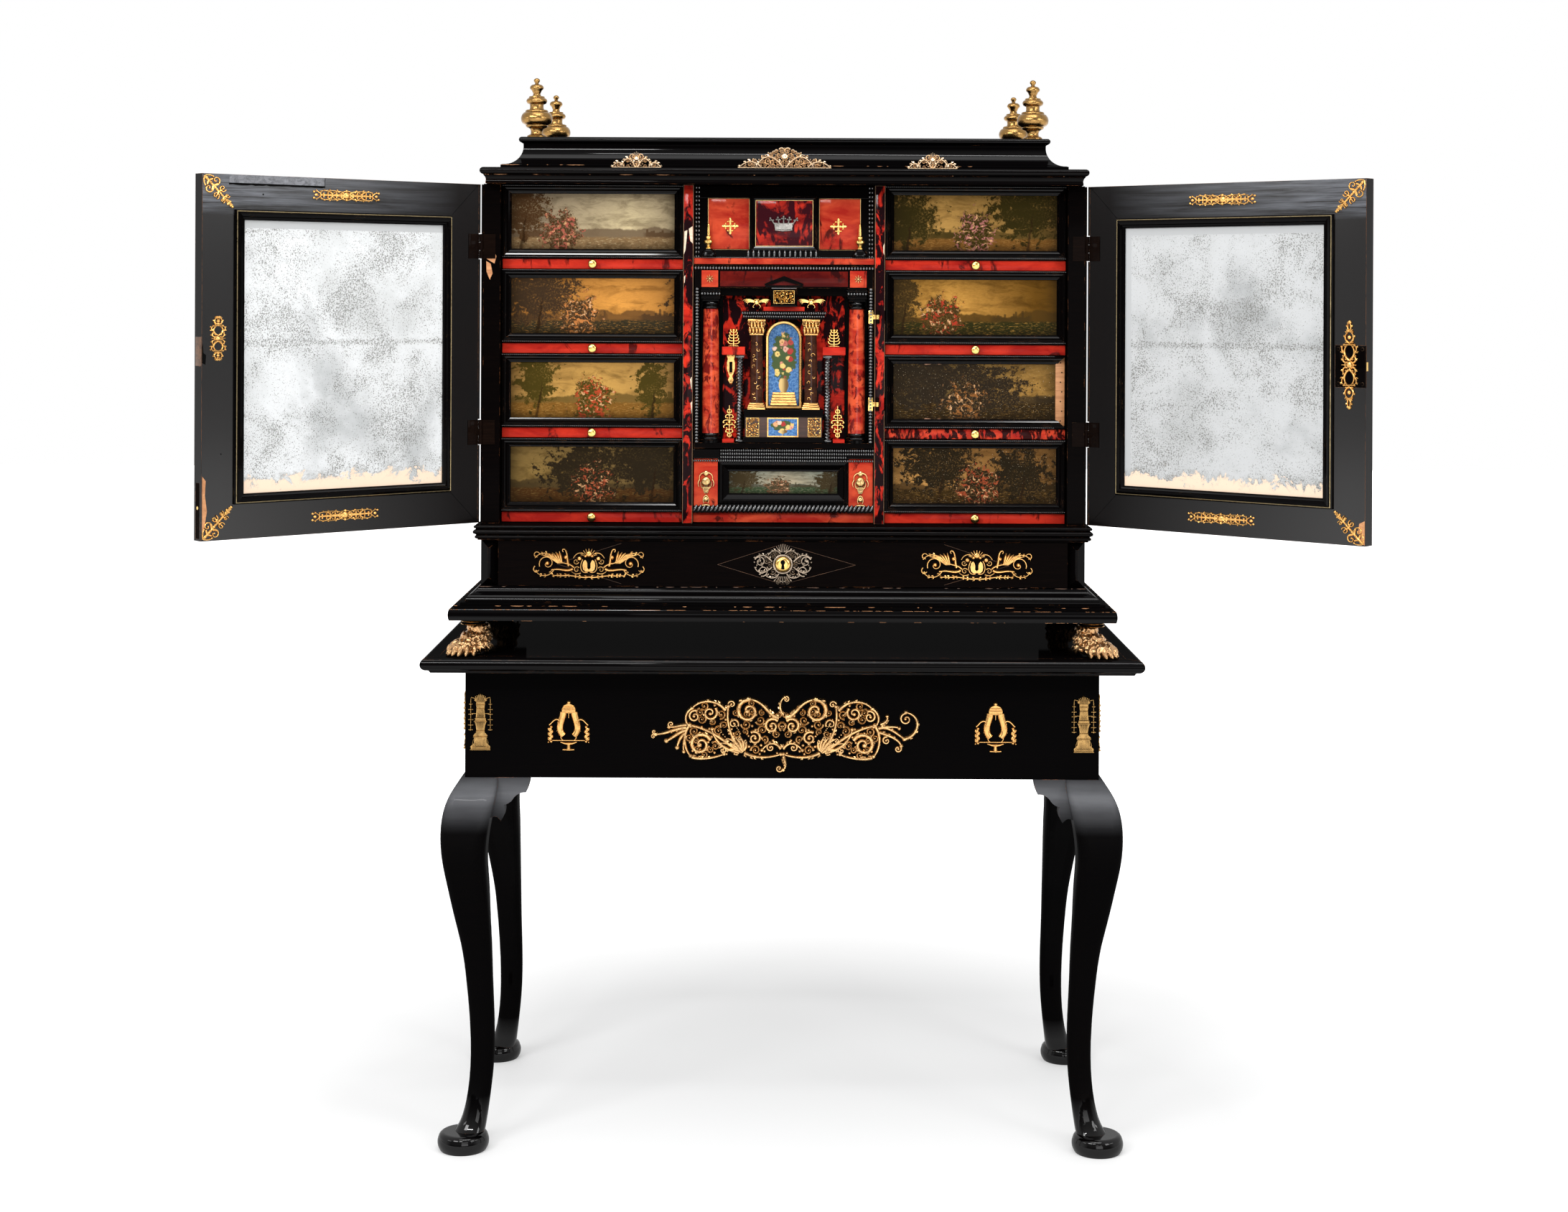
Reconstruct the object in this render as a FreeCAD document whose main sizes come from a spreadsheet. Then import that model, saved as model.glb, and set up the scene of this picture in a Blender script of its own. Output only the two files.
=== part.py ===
import FreeCAD, Part
import math
import os
import re
import Sketcher

# A black cabinet with mirror doors standing open, on paw feet, on a stand with cabriole legs.
# X runs across the front with 0 in the middle, Y runs from the case's front edges (0) to the back,
# and Z runs up from the floor. The finished pieces are moved so that the frame's origin lies on
# the floor under the middle of the open cabinet.

sizes = {
    # legs
    "leg_height": 551,
    "knee_size": 66,
    "post_size": 34,
    "pad_radius": 38,
    "pad_height": 26,
    "bracket_width": 66,
    "bracket_height": 66,
    "bracket_thick": 26,
    "bracket_tuck": 30,
    # frieze and top of the stand
    "frieze_width": 942,
    "frieze_depth": 426,
    "frieze_height": 162,
    "frieze_lead": 26,
    "rail_thick": 22,
    "top_thick": 23,
    "top_overhang": 60,
    "top_back_overhang": 30,
    "top_edge": 26,
    # gilt mounts on the frieze
    "mount_thick": 3,
    "scroll_width": 402,
    "scroll_height": 119,
    "scroll_drop": 38,
    "lyre_width": 63,
    "lyre_height": 74,
    "lyre_drop": 50,
    "lyre_place": 317,
    "urn_width": 35,
    "urn_height": 85,
    "urn_drop": 37,
    "urn_inset": 23,
    "end_mount_inset": 50,
    # paw feet
    "paw_height": 53,
    "paw_width": 50,
    "paw_length": 84,
    "toe_radius": 9,
    "ankle_radius": 20,
    "collar_radius": 24,
    "collar_height": 8,
    "paw_side_inset": 34,
    "paw_front_inset": 34,
    "paw_back_inset": 42,
    # base of the case
    "base_out": 42,
    "base_rise": 46,
    "base_floor": 12,
    "long_height": 69,
    "long_gap": 1,
    "long_front_thick": 18,
    "long_board": 10,
    "long_bottom": 8,
    "long_box_drop": 8,
    "long_side_play": 4,
    "long_back_play": 14,
    "long_travel": 240,
    "block_width": 26,
    "block_depth": 20,
    "block_facet": 12,
    "block_slope": 12,
    "plaque_width": 91,
    "plaque_height": 61,
    "boss_radius": 14,
    "boss_rise": 9,
    "griffin_width": 166,
    "griffin_height": 42,
    "griffin_place": 288,
    # carrying handles
    "handle_span": 84,
    "handle_drop": 38,
    "handle_rod": 3.5,
    "handle_pivot": 2.4,
    "handle_corner": 14,
    "handle_play": 0.06,
    "handle_end_play": 0.5,
    "handle_stand": 14,
    "handle_level": 24,
    "post_radius": 6,
    "post_stem_radius": 3.2,
    "post_width": 8,
    "rose_radius": 13,
    "rose_thick": 2,
    # waist, case and cornice
    "waist_out": 11,
    "waist_rise": 22,
    "case_width": 900,
    "case_depth": 385,
    "case_height": 508,
    "side_thick": 25,
    "back_thick": 12,
    "cornice_out": 8,
    "cornice_inset": 5,
    "cornice_rise": 24,
    "cornice_deep": 35,
    "roof_thick": 10,
    # inside the case
    "middle_width": 273,
    "partition_thick": 15,
    "partition_set": 12,
    "front_set": 26,
    "front_thick": 12,
    "front_play": 1,
    "row_count": 4,
    "dust_thick": 5,
    "rail_height": 15,
    "rail_proud": 4,
    "rail_gap": 2,
    "frame_band": 11,
    "frame_proud": 12,
    "frame_inner_proud": 5,
    "panel_thick": 2,
    "knob_radius": 6.5,
    "knob_length": 11,
    "drawer_depth": 320,
    "drawer_board": 8,
    "drawer_bottom": 5,
    "drawer_play": 2,
    "seat_play": 0.3,
    "drawer_side_drop": 22,
    "drawer_travel": 240,
    # attic drawer
    "attic_height": 120,
    "attic_sill": 22,
    "attic_block_width": 104,
    "attic_block_proud": 10,
    "attic_panel_width": 64,
    "attic_head": 18,
    "attic_head_proud": 5,
    "attic_depth": 300,
    "candle_radius": 6.5,
    "candle_height": 33,
    "candle_place": 114,
    # portico door
    "portico_plate": 12,
    "portico_set": 44,
    "portico_play": 2.5,
    "portico_bevel": 3,
    "portico_gap": 1,
    "entablature_height": 33,
    "entablature_proud": 30,
    "portico_base_height": 8,
    "portico_base_proud": 32,
    "stile_width": 7,
    "stile_gap": 0.5,
    "column_radius": 13,
    "column_place": 110,
    "column_set": 26.5,
    "capital_size": 28,
    "capital_height": 20,
    "architrave_height": 12,
    "architrave_proud": 18,
    "half_column_radius": 9,
    "half_column_place": 41,
    "half_column_set": 28,
    "half_base_height": 10,
    "half_capital_height": 24,
    "half_capital_width": 26,
    "twist_radius": 5.5,
    "twist_place": 66,
    "twist_set": 32,
    "pedestal_width": 116,
    "pedestal_height": 39,
    "pedestal_proud": 28,
    "step_height": 11,
    "step_proud": 30,
    "hood_width": 128,
    "hood_height": 12,
    "hood_lift": 194,
    "hood_proud": 30,
    "gable_width": 56,
    "gable_height": 12,
    "gable_proud": 10,
    "tablet_width": 40,
    "tablet_height": 32,
    "tablet_proud": 8,
    "niche_width": 56,
    "niche_height": 134,
    "niche_rim": 5,
    "niche_proud": 6,
    "bracket_block_width": 36,
    "bracket_block_height": 12,
    "bracket_block_lift": 140,
    "foot_block_width": 26,
    "ornament_thick": 2,
    "wing_width": 40,
    "wing_height": 16,
    "palmette_width": 19,
    "palmette_height": 26,
    "keyplate_width": 14,
    "keyplate_height": 51,
    "keyplate_lift": 87,
    "drop_width": 23,
    "drop_height": 50,
    "ornament_place": 80,
    "lining_thick": 5,
    "lining_depth": 200,
    "lining_inset": 12,
    # plinth drawer
    "plinth_height": 112,
    "plinth_rail_height": 15,
    "plinth_sill": 14,
    "plinth_cornice_height": 19,
    "plinth_cornice_proud": 14,
    "die_width": 36,
    "die_proud": 10,
    "plinth_panel_width": 160,
    "plinth_panel_inset": 10,
    "plinth_depth": 300,
    # doors
    "door_open": 139.5,
    "door_gap": 2.5,
    "door_thick": 21,
    "door_play": 1,
    "meeting_gap": 1,
    "door_border": 48.5,
    "mirror_band": 14,
    "mirror_proud": 8,
    "mirror_inner_proud": 4,
    "mirror_thick": 3,
    "field_border": 60,
    "field_band": 12,
    "field_proud": 3,
    "door_mount_thick": 1.5,
    "corner_mount": 44,
    "rail_mount_width": 114,
    "rail_mount_height": 19,
    "side_mount_width": 22,
    "side_mount_height": 68,
    "side_mount_lift": 20,
    # hinges, bolt and lock
    "pin_out": 3.5,
    "pin_radius": 1.3,
    "pin_play": 0.06,
    "knuckle_radius": 3.1,
    "knuckle_height": 12,
    "knuckle_play": 0.3,
    "small_knuckle": 6.4,
    "small_hinge_low": 58,
    "small_hinge_high": 189,
    "small_pin_out": 4.1,
    "small_pin_lead": 3.5,
    "leaf_thick": 1,
    "leaf_width": 18,
    "hinge_low": 118,
    "hinge_high": 396,
    "bolt_radius": 3,
    "bolt_play": 0.1,
    "bolt_length": 70,
    "bolt_rest": 1,
    "bolt_travel": 9,
    "bolt_inset": 8,
    "bolt_plate_width": 11,
    "bolt_plate_height": 77,
    "bolt_plate_lift": 3,
    "bolt_slot_width": 5,
    "bolt_slot_height": 16,
    "bolt_slot_lift": 40,
    "bolt_knob_proud": 0.4,
    "lock_width": 46,
    "lock_height": 58,
    "lock_lift": 218,
    "lock_thick": 2,
    "lock_bolt_height": 12,
    "lock_bolt_thick": 5,
    "lock_bolt_length": 34,
    "lock_bolt_play": 0.4,
    "lock_bolt_travel": 9,
    "strike_depth": 12,
    # lid
    "lid_half": 393,
    "lid_front": 38,
    "lid_out": 33,
    "lid_rise": 49,
    "lid_wall": 18,
    "lid_play": 0.3,
    "lid_panel": 9,
    "lid_hinge_place": 250,
    "lid_hinge_length": 40,
    "finial_radius": 22,
    "finial_height": 93,
    "finial_inset": 16,
    "finial_front": 17,
    "finial_back": 26,
    "lid_mount_width": 138,
    "lid_mount_height": 32,
    "lid_side_mount_width": 75,
    "lid_mount_place": 222,
}

# The outlines below are shares: each row is (across, along, bow), where the bow is the rise of the
# arc from this point to the next as a share of its chord, and 0 is a straight line.
quarter_bow_share = (math.sqrt(2) - 1) / 2
half_bow_share = 0.49

# share of the leg's height, then outer face, inner face and corner round as shares of the knee
leg_shares = [
    (1.000, -0.08, 0.74, 0.10),
    (0.951, -0.34, 0.70, 0.16),
    (0.895, -0.48, 0.60, 0.22),
    (0.844, -0.51, 0.53, 0.25),
    (0.795, -0.49, 0.50, 0.27),
    (0.715, -0.38, 0.53, 0.27),
    (0.619, -0.22, 0.56, 0.26),
    (0.532, -0.07, 0.59, 0.24),
    (0.445, 0.02, 0.61, 0.23),
    (0.289, 0.11, 0.65, 0.22),
    (0.192, 0.10, 0.62, 0.22),
    (0.134, 0.05, 0.57, 0.22),
    (0.085, -0.04, 0.52, 0.23),
    (0.040, -0.25, 0.46, 0.28),
]
pad_shares = [(0.90, 0, 0), (0.94, 0.1, 0.12), (0.96, 0.75, 0.2), (0.72, 1, 0)]
bracket_shares = [
    (0, 0, 0), (1, 0, 0.05), (0.92, 0.34, -0.15), (0.62, 0.50, 0.1), (0.42, 0.62, 0.12),
    (0.36, 0.98, 0), (0.28, 0.90, -0.2), (0.12, 0.94, 0), (0, 1, 0),
]
top_edge_shares = [(0.45, 0, 0), (0.52, 0.14, 0), (0.62, 0.18, half_bow_share), (0.62, 1, 0)]
base_shares = [
    (0.96, 0, 0.1), (0.96, 0.36, 0), (0.80, 0.38, 0), (0.80, 0.46, 0), (0.62, 0.48, 0), (0.62, 0.54, 0),
    (0.45, 0.56, 0.18), (0.22, 0.80, -0.18), (0.04, 0.96, 0), (0.04, 1, 0),
]
waist_shares = [
    (0.30, 0, 0), (0.30, 0.08, 0), (0.42, 0.10, half_bow_share), (0.42, 0.34, 0), (0.55, 0.38, 0),
    (0.62, 0.42, half_bow_share), (0.62, 0.70, 0), (0.45, 0.76, 0), (0.60, 0.80, half_bow_share),
    (0.60, 1, 0),
]
cornice_shares = [(0, 0, 0), (0, 0.12, -0.15), (0.34, 0.5, 0), (0.34, 0.56, half_bow_share), (0.34, 1, 0)]
lid_shares = [
    (1, 0, 0), (1, 0.10, 0), (0.92, 0.12, -0.22), (0.06, 0.76, 0), (0.06, 0.8, 0),
    (0.12, 0.82, half_bow_share), (0.12, 1, 0),
]
finial_shares = [
    (0.62, 0, 0), (0.62, 0.03, 0), (0.30, 0.08, -0.15), (0.24, 0.15, 0), (0.45, 0.17, half_bow_share),
    (0.45, 0.21, 0), (0.30, 0.24, 0), (0.78, 0.32, 0.2), (0.80, 0.42, 0.2), (0.32, 0.50, 0),
    (0.42, 0.52, half_bow_share), (0.42, 0.56, 0), (0.22, 0.60, 0), (0.40, 0.68, 0.28), (0.20, 0.76, 0),
    (0.16, 0.79, 0), (0.27, 0.86, 0.3), (0.12, 0.91, 0), (0.16, 0.95, 0.3), (0.06, 1, 0),
]
knob_shares = [(0.75, 0, 0), (0.75, 0.12, 0), (0.35, 0.22, -0.1), (0.35, 0.38, 0), (1, 0.62, 0.3),
               (0.55, 1, 0)]
column_shares = [
    (1.25, 0, 0), (1.25, 0.018, 0), (1.12, 0.02, 0.3), (1.12, 0.046, 0), (0.98, 0.052, 0.01),
    (0.86, 0.942, 0),
    (1.0, 0.945, 0.3), (1.0, 0.965, 0), (0.92, 0.967, 0.3), (0.92, 0.985, 0), (0.92, 1, 0),
]
half_column_shares = [
    (1.3, 0, 0), (1.3, 0.04, 0), (1.15, 0.05, 0.3), (1.15, 0.09, 0), (1, 0.1, 0.01), (0.9, 0.97, 0),
    (1, 1, 0),
]
twist_shares = [(1.2, 0, 0), (1.2, 0.03, 0), (0.85, 0.05, 0), (0.85, 0.95, 0), (1.2, 0.97, 0), (1.2, 1, 0)]
candle_shares = [
    (0.8, 0, 0), (0.8, 0.08, 0), (0.45, 0.14, 0), (0.9, 0.3, half_bow_share), (0.9, 0.42, 0), (0.3, 0.55, 0),
    (0.3, 0.9, 0), (0.2, 1, 0),
]
rose_shares = [(1, 0, 0), (1, 0.5, 0.2), (0.7, 1, 0)]
boss_shares = [(1, 0, 0), (1, 0.2, 0.32), (0.25, 1, 0)]
# right halves of flat mounts: across from the middle line, and up from the foot
scroll_shares = [
    (0, 0.12, 0), (0.10, 0, 0.2), (0.22, 0.14, 0.1), (0.40, 0.34, -0.1), (0.62, 0.40, 0.2), (0.86, 0.30, 0.2),
    (1, 0.52, 0.2), (0.86, 0.80, -0.1), (0.55, 0.78, 0.15), (0.30, 0.92, 0.1), (0.10, 1, 0), (0, 0.94, 0),
]
lyre_shares = [
    (0, 0, 0), (0.35, 0.04, 0.2), (0.85, 0.30, 0.2), (0.95, 0.62, 0.1), (0.70, 0.86, 0), (1, 0.97, 0.1),
    (0.3, 0.92, 0), (0, 1, 0),
]
urn_shares = [
    (0, 0, 0), (0.5, 0.02, 0), (0.3, 0.14, -0.1), (0.9, 0.42, 0.2), (0.7, 0.62, 0), (0.95, 0.74, 0.2),
    (0.5, 0.92, 0), (0, 1, 0),
]
griffin_shares = [
    (0, 0, 0), (0.16, 0.04, 0.1), (0.40, 0.22, -0.1), (0.74, 0.06, 0.2), (1, 0.28, 0.2), (0.84, 0.62, 0),
    (0.56, 0.58, 0), (0.50, 0.88, 0.1), (0.22, 0.84, 0), (0.10, 1, 0), (0, 1, 0),
]
plaque_shares = [
    (0, 0, 0), (0.26, 0.06, 0.1), (0.62, 0.18, 0.1), (0.86, 0.34, 0.2), (1, 0.60, 0.2), (0.78, 0.84, 0),
    (0.40, 0.88, 0.1), (0, 1, 0),
]
crest_shares = [
    (0, 0, 0), (0.95, 0, 0), (1, 0.16, 0.2), (0.72, 0.32, -0.1), (0.46, 0.52, 0), (0.22, 0.74, 0.1),
    (0, 1, 0),
]
lid_side_shares = [(0, 0, 0), (0.9, 0.08, 0.2), (1, 0.42, -0.1), (0.52, 0.46, 0.1), (0.4, 0.9, 0.2),
                   (0, 1, 0)]
bail_mount_shares = [(0, 0, 0), (0.62, 0.18, 0.1), (1, 0.5, 0.1), (0.62, 0.82, 0.1), (0, 1, 0)]
paw_lift_share = 0.30
paw_thick_share = 0.62
toe_reach_share = 0.30
toe_long_share = 1.5
toe_lift_share = 0.9
toe_spread_share = 0.30
toe_count = 4
ankle_foot_share = 0.35
ridge_share = 0.05
twist_foot_share = 1.5

doc = FreeCAD.newDocument("cabinet")
sheet = doc.addObject("Spreadsheet::Sheet", "dims")
for row, (alias, size) in enumerate(sizes.items(), start=1):
    sheet.set(f"A{row}", alias)
    sheet.set(f"B{row}", str(size))
    sheet.setAlias(f"B{row}", alias)
doc.recompute()

alias_word = re.compile(r"\b(" + "|".join(sorted(sizes, key=len, reverse=True)) + r")\b")
nodes = []


def bound(formula):
    return alias_word.sub(r"dims.\1", str(formula))


def value(formula):
    return float(sheet.evalExpression(bound(formula)))


# Levels and faces that several pieces share, as formulas of the sheet's sizes
stand_z = "(leg_height + frieze_height + top_thick)"
slab_z = f"({stand_z} + paw_height)"
long_z = f"({slab_z} + base_rise)"
waist_z = f"({long_z} + long_height)"
case_z = f"({waist_z} + waist_rise)"
cornice_z = f"({case_z} + case_height)"
lid_z = f"({cornice_z} + cornice_rise)"
lid_top = f"({lid_z} + lid_rise)"
portico_z = f"({case_z} + plinth_height)"
attic_z = f"({cornice_z} - attic_height)"
row_pitch = "(case_height / row_count)"
half_case = "(case_width / 2)"
inner_side = f"({half_case} - side_thick)"
inner_back = "(case_depth - back_thick)"
half_middle = "(middle_width / 2)"
bank_side = f"({half_middle} + partition_thick)"
lead = "(door_gap + door_thick + field_proud)"
pin_x = f"({half_case} + pin_out)"
pin_y = "(0 - door_gap / 2)"
frieze_half = "(frieze_width / 2)"
frieze_back = "(frieze_depth - frieze_lead)"


def place(piece, x="0", y="0", z="0"):
    for axis, formula in (("x", x), ("y", y), ("z", z)):
        piece.setExpression(f"Placement.Base.{axis}", bound(formula))
    return piece


def board(name, x, y, z):
    piece = doc.addObject("Part::Box", name)
    for side, (low, high) in (("Length", x), ("Width", y), ("Height", z)):
        piece.setExpression(side, bound(f"({high}) - ({low})"))
    return place(piece, x[0], y[0], z[0])


def both(low, high):
    return (f"0 - ({high})", f"0 - ({low})"), (low, high)


def wedge(name, axis, along, near, far):
    """A block whose section changes from near to far along one axis; a section is a pair of spans."""
    piece = doc.addObject("Part::Wedge", name)
    (n1, n2), (f1, f2) = near, far
    if axis == "x":
        piece.Placement.Rotation = FreeCAD.Rotation(FreeCAD.Vector(0, 0, 1), -90)
        n1, f1 = [(f"0 - ({b})", f"0 - ({a})") for a, b in (n1, f1)]
    if axis == "z":
        piece.Placement.Rotation = FreeCAD.Rotation(FreeCAD.Vector(1, 0, 0), 90)
        n2, f2 = [(f"0 - ({b})", f"0 - ({a})") for a, b in (n2, f2)]
    spans = {"X": n1, "Y": along, "Z": n2, "X2": f1, "Z2": f2}
    for letters, (low, high) in spans.items():
        piece.setExpression(f"{letters}min", bound(low))
        piece.setExpression(f"{letters}max", bound(high))
    return piece


def draw(sketch, points):
    """Close the points with lines and arcs, each point bound to the sheet."""
    spots = [FreeCAD.Vector(value(x), value(y), 0) for x, y, bow in points]
    count = len(points)
    area = sum(spots[i - 1].cross(spots[i]).z for i in range(count))
    turn = 1 if area > 0 else -1
    curves, radii = [], []
    for i, (x, y, bow) in enumerate(points):
        a, b = spots[i], spots[(i + 1) % count]
        if bow:
            out = FreeCAD.Vector(b.y - a.y, a.x - b.x, 0) * (turn * bow)
            curves.append(Part.ArcOfCircle(a, (a + b) / 2 + out, b))
            x2, y2, _ = points[(i + 1) % count]
            chord = f"sqrt(pow(({x2}) - ({x}); 2) + pow(({y2}) - ({y}); 2))"
            rise = abs(bow)
            radii.append((i, f"{chord} * {(0.25 + rise * rise) / (2 * rise):.9f}"))
        else:
            curves.append(Part.LineSegment(a, b))
    sketch.addGeometry(curves, False)
    start = [2 if turn * bow < 0 else 1 for _, _, bow in points]
    rules, formulas = [], []
    for i in range(count):
        rules.append(Sketcher.Constraint("Coincident", (i - 1) % count, 3 - start[i - 1], i, start[i]))
    for i, (x, y, _) in enumerate(points):
        for kind, formula in (("DistanceX", x), ("DistanceY", y)):
            formulas.append((len(rules), formula))
            rules.append(Sketcher.Constraint(kind, i, start[i], value(formula)))
    for i, formula in radii:
        formulas.append((len(rules), formula))
        rules.append(Sketcher.Constraint("Radius", i, value(formula)))
    sketch.addConstraint(rules)
    for rule, formula in formulas:
        sketch.setExpression(f"Constraints[{rule}]", bound(formula))


def scaled(shares, across, up, x="0", y="0"):
    return [(f"{x} + ({across}) * ({a})", f"{y} + ({up}) * ({b})", bow) for a, b, bow in shares]


def sketch_on(body, role):
    sketch = body.newObject("Sketcher::SketchObject", body.Name + "_outline")
    plane = [item for item in body.Origin.OriginFeatures if item.Role == role][0]
    sketch.AttachmentSupport = (plane, [""])
    sketch.MapMode = "FlatFace"
    return sketch


def padded(name, role, points, start, end):
    """Pad an outline along the axis square to its plane, from start to end."""
    body = doc.addObject("PartDesign::Body", name)
    sketch = sketch_on(body, role)
    draw(sketch, points)
    pad = body.newObject("PartDesign::Pad", name + "_pad")
    pad.Profile = sketch
    pad.Reversed = role == "XZ_Plane"
    pad.setExpression("Length", bound(f"({end}) - ({start})"))
    axis = {"YZ_Plane": "x", "XZ_Plane": "y", "XY_Plane": "z"}[role]
    body.setExpression(f"Placement.Base.{axis}", bound(start))
    return body


def turned(name, shares, radius, height, x, y, z, point=None):
    """Turn a half outline about its axis; point is the way the far end looks, up if not given."""
    body = doc.addObject("PartDesign::Body", name)
    sketch = sketch_on(body, "XZ_Plane")
    outline = [("0", "0", 0)] + scaled(shares, radius, height) + [("0", height, 0)]
    draw(sketch, outline)
    spin = body.newObject("PartDesign::Revolution", name + "_turn")
    spin.Profile = sketch
    spin.ReferenceAxis = (sketch, ["V_Axis"])
    spin.Angle = 360
    if point is not None:
        body.Placement.Rotation = FreeCAD.Rotation(FreeCAD.Vector(0, 0, 1), FreeCAD.Vector(*point))
    return place(body, x, y, z)


def rod(name, radius, length, x, y, z, point=(0, 0, 1)):
    piece = doc.addObject("Part::Cylinder", name)
    piece.setExpression("Radius", bound(radius))
    piece.setExpression("Height", bound(length))
    piece.Placement.Rotation = FreeCAD.Rotation(FreeCAD.Vector(0, 0, 1), FreeCAD.Vector(*point))
    return place(piece, x, y, z)


def mirrored(piece, normal=(1, 0, 0), y="0"):
    twin = doc.addObject("Part::Mirroring", piece.Name + "_twin")
    twin.Source = piece
    twin.Normal = FreeCAD.Vector(*normal)
    twin.setExpression("Base.y", bound(y))
    return twin


def pair(piece):
    return [piece, mirrored(piece)]


def cut(name, piece, *tools):
    for tool in tools:
        result = doc.addObject("Part::Cut", name)
        result.Base = piece
        result.Tool = tool
        piece = result
    return piece


def common(name, first, second):
    result = doc.addObject("Part::Common", name)
    result.Base = first
    result.Tool = second
    return result


def joined(name, *pieces):
    result = doc.addObject("Part::MultiFuse", name)
    result.Shapes = list(pieces)
    result.Refine = True
    return result


def flattened(pieces):
    flat = []
    for piece in pieces:
        flat.extend(flattened(piece) if isinstance(piece, (list, tuple)) else [piece])
    return flat


def node(label, *pieces):
    group = doc.addObject("Part::Compound", label)
    group.Label = label
    group.Links = flattened(pieces)
    nodes.append(group)
    return group


def mitred(name, shares, out, rise, level, half, front, back, deep):
    """A moulding round the front and both ends, mitred at 45 degrees, as three lengths."""
    top = f"{level} + {rise}"
    across = [(f"{front} + {deep}", level, 0)]
    across += [(f"{front} - ({out}) * ({a})", f"{level} + ({rise}) * ({b})", bow) for a, b, bow in shares]
    across += [(f"{front} + {deep}", top, 0)]
    tip_x, root_x = f"({half} + {out})", f"({half} - {deep})"
    tip_y, root_y = f"({front} - {out})", f"({front} + {deep})"
    run = padded(name + "_front_run", "YZ_Plane", across, f"0 - {tip_x}", tip_x)
    plan = wedge(name + "_front_plan", "y", (tip_y, root_y), ((f"0 - {tip_x}", tip_x), (level, top)),
                 ((f"0 - {root_x}", root_x), (level, top)))
    along = [(f"0 - {root_x}", level, 0)]
    along += [(f"0 - {half} - ({out}) * ({a})", f"{level} + ({rise}) * ({b})", bow) for a, b, bow in shares]
    along += [(f"0 - {root_x}", top, 0)]
    side = padded(name + "_side_run", "XZ_Plane", along, tip_y, back)
    side_plan = wedge(name + "_side_plan", "x", (f"0 - {tip_x}", f"0 - {root_x}"),
                      ((tip_y, back), (level, top)), ((root_y, back), (level, top)))
    return [common(name + "_front", run, plan), *pair(common(name + "_side", side, side_plan))]


def picture_frame(name, x, z, band, root, tip, inner_tip):
    """Four mitred lengths round an opening, standing from root to tip and falling to inner_tip."""
    (x0, x1), (z0, z1) = x, z
    outer = (root, tip) if value(tip) > value(root) else (tip, root)
    inner = (root, inner_tip) if value(tip) > value(root) else (inner_tip, root)
    x2, x3 = f"{x0} + {band}", f"{x1} - {band}"
    z2, z3 = f"{z0} + {band}", f"{z1} - {band}"
    return [
        wedge(name + "_left", "x", (x0, x2), (outer, (z0, z1)), (inner, (z2, z3))),
        wedge(name + "_right", "x", (x3, x1), (inner, (z2, z3)), (outer, (z0, z1))),
        wedge(name + "_foot", "z", (z0, z2), ((x0, x1), outer), ((x2, x3), inner)),
        wedge(name + "_head", "z", (z3, z1), ((x2, x3), inner), ((x0, x1), outer)),
    ]


def flat_mount(name, shares, width, height, x, front, back, z):
    """A flat mount drawn by its right half, with its foot at z and its middle line at x."""
    right = [(f"({x}) + ({width}) / 2 * ({a})", f"({z}) + ({height}) * ({b})", bow) for a, b, bow in shares]
    left = []
    for i in range(len(shares) - 1, 0, -1):
        a, b, _ = shares[i]
        left.append((f"({x}) - ({width}) / 2 * ({a})", f"({z}) + ({height}) * ({b})", shares[i - 1][2]))
    points = right[:-1] + [right[-1][:2] + (left[0][2],)] + left[1:]
    return padded(name, "XZ_Plane", points, front, back)


def rounded_square(name, low, high, round_size, level):
    """A rounded square with both its X and its Y from low to high, in a level plane."""
    sketch = doc.addObject("Sketcher::SketchObject", name)
    near, far = f"({low}) + ({round_size})", f"({high}) - ({round_size})"
    bow = quarter_bow_share
    draw(sketch, [(near, low, 0), (far, low, bow), (high, near, 0), (high, far, bow),
                  (far, high, 0), (near, high, bow), (low, far, 0), (low, near, bow)])
    return place(sketch, f"0 - {frieze_half}", "0 - frieze_lead", level)


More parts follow.
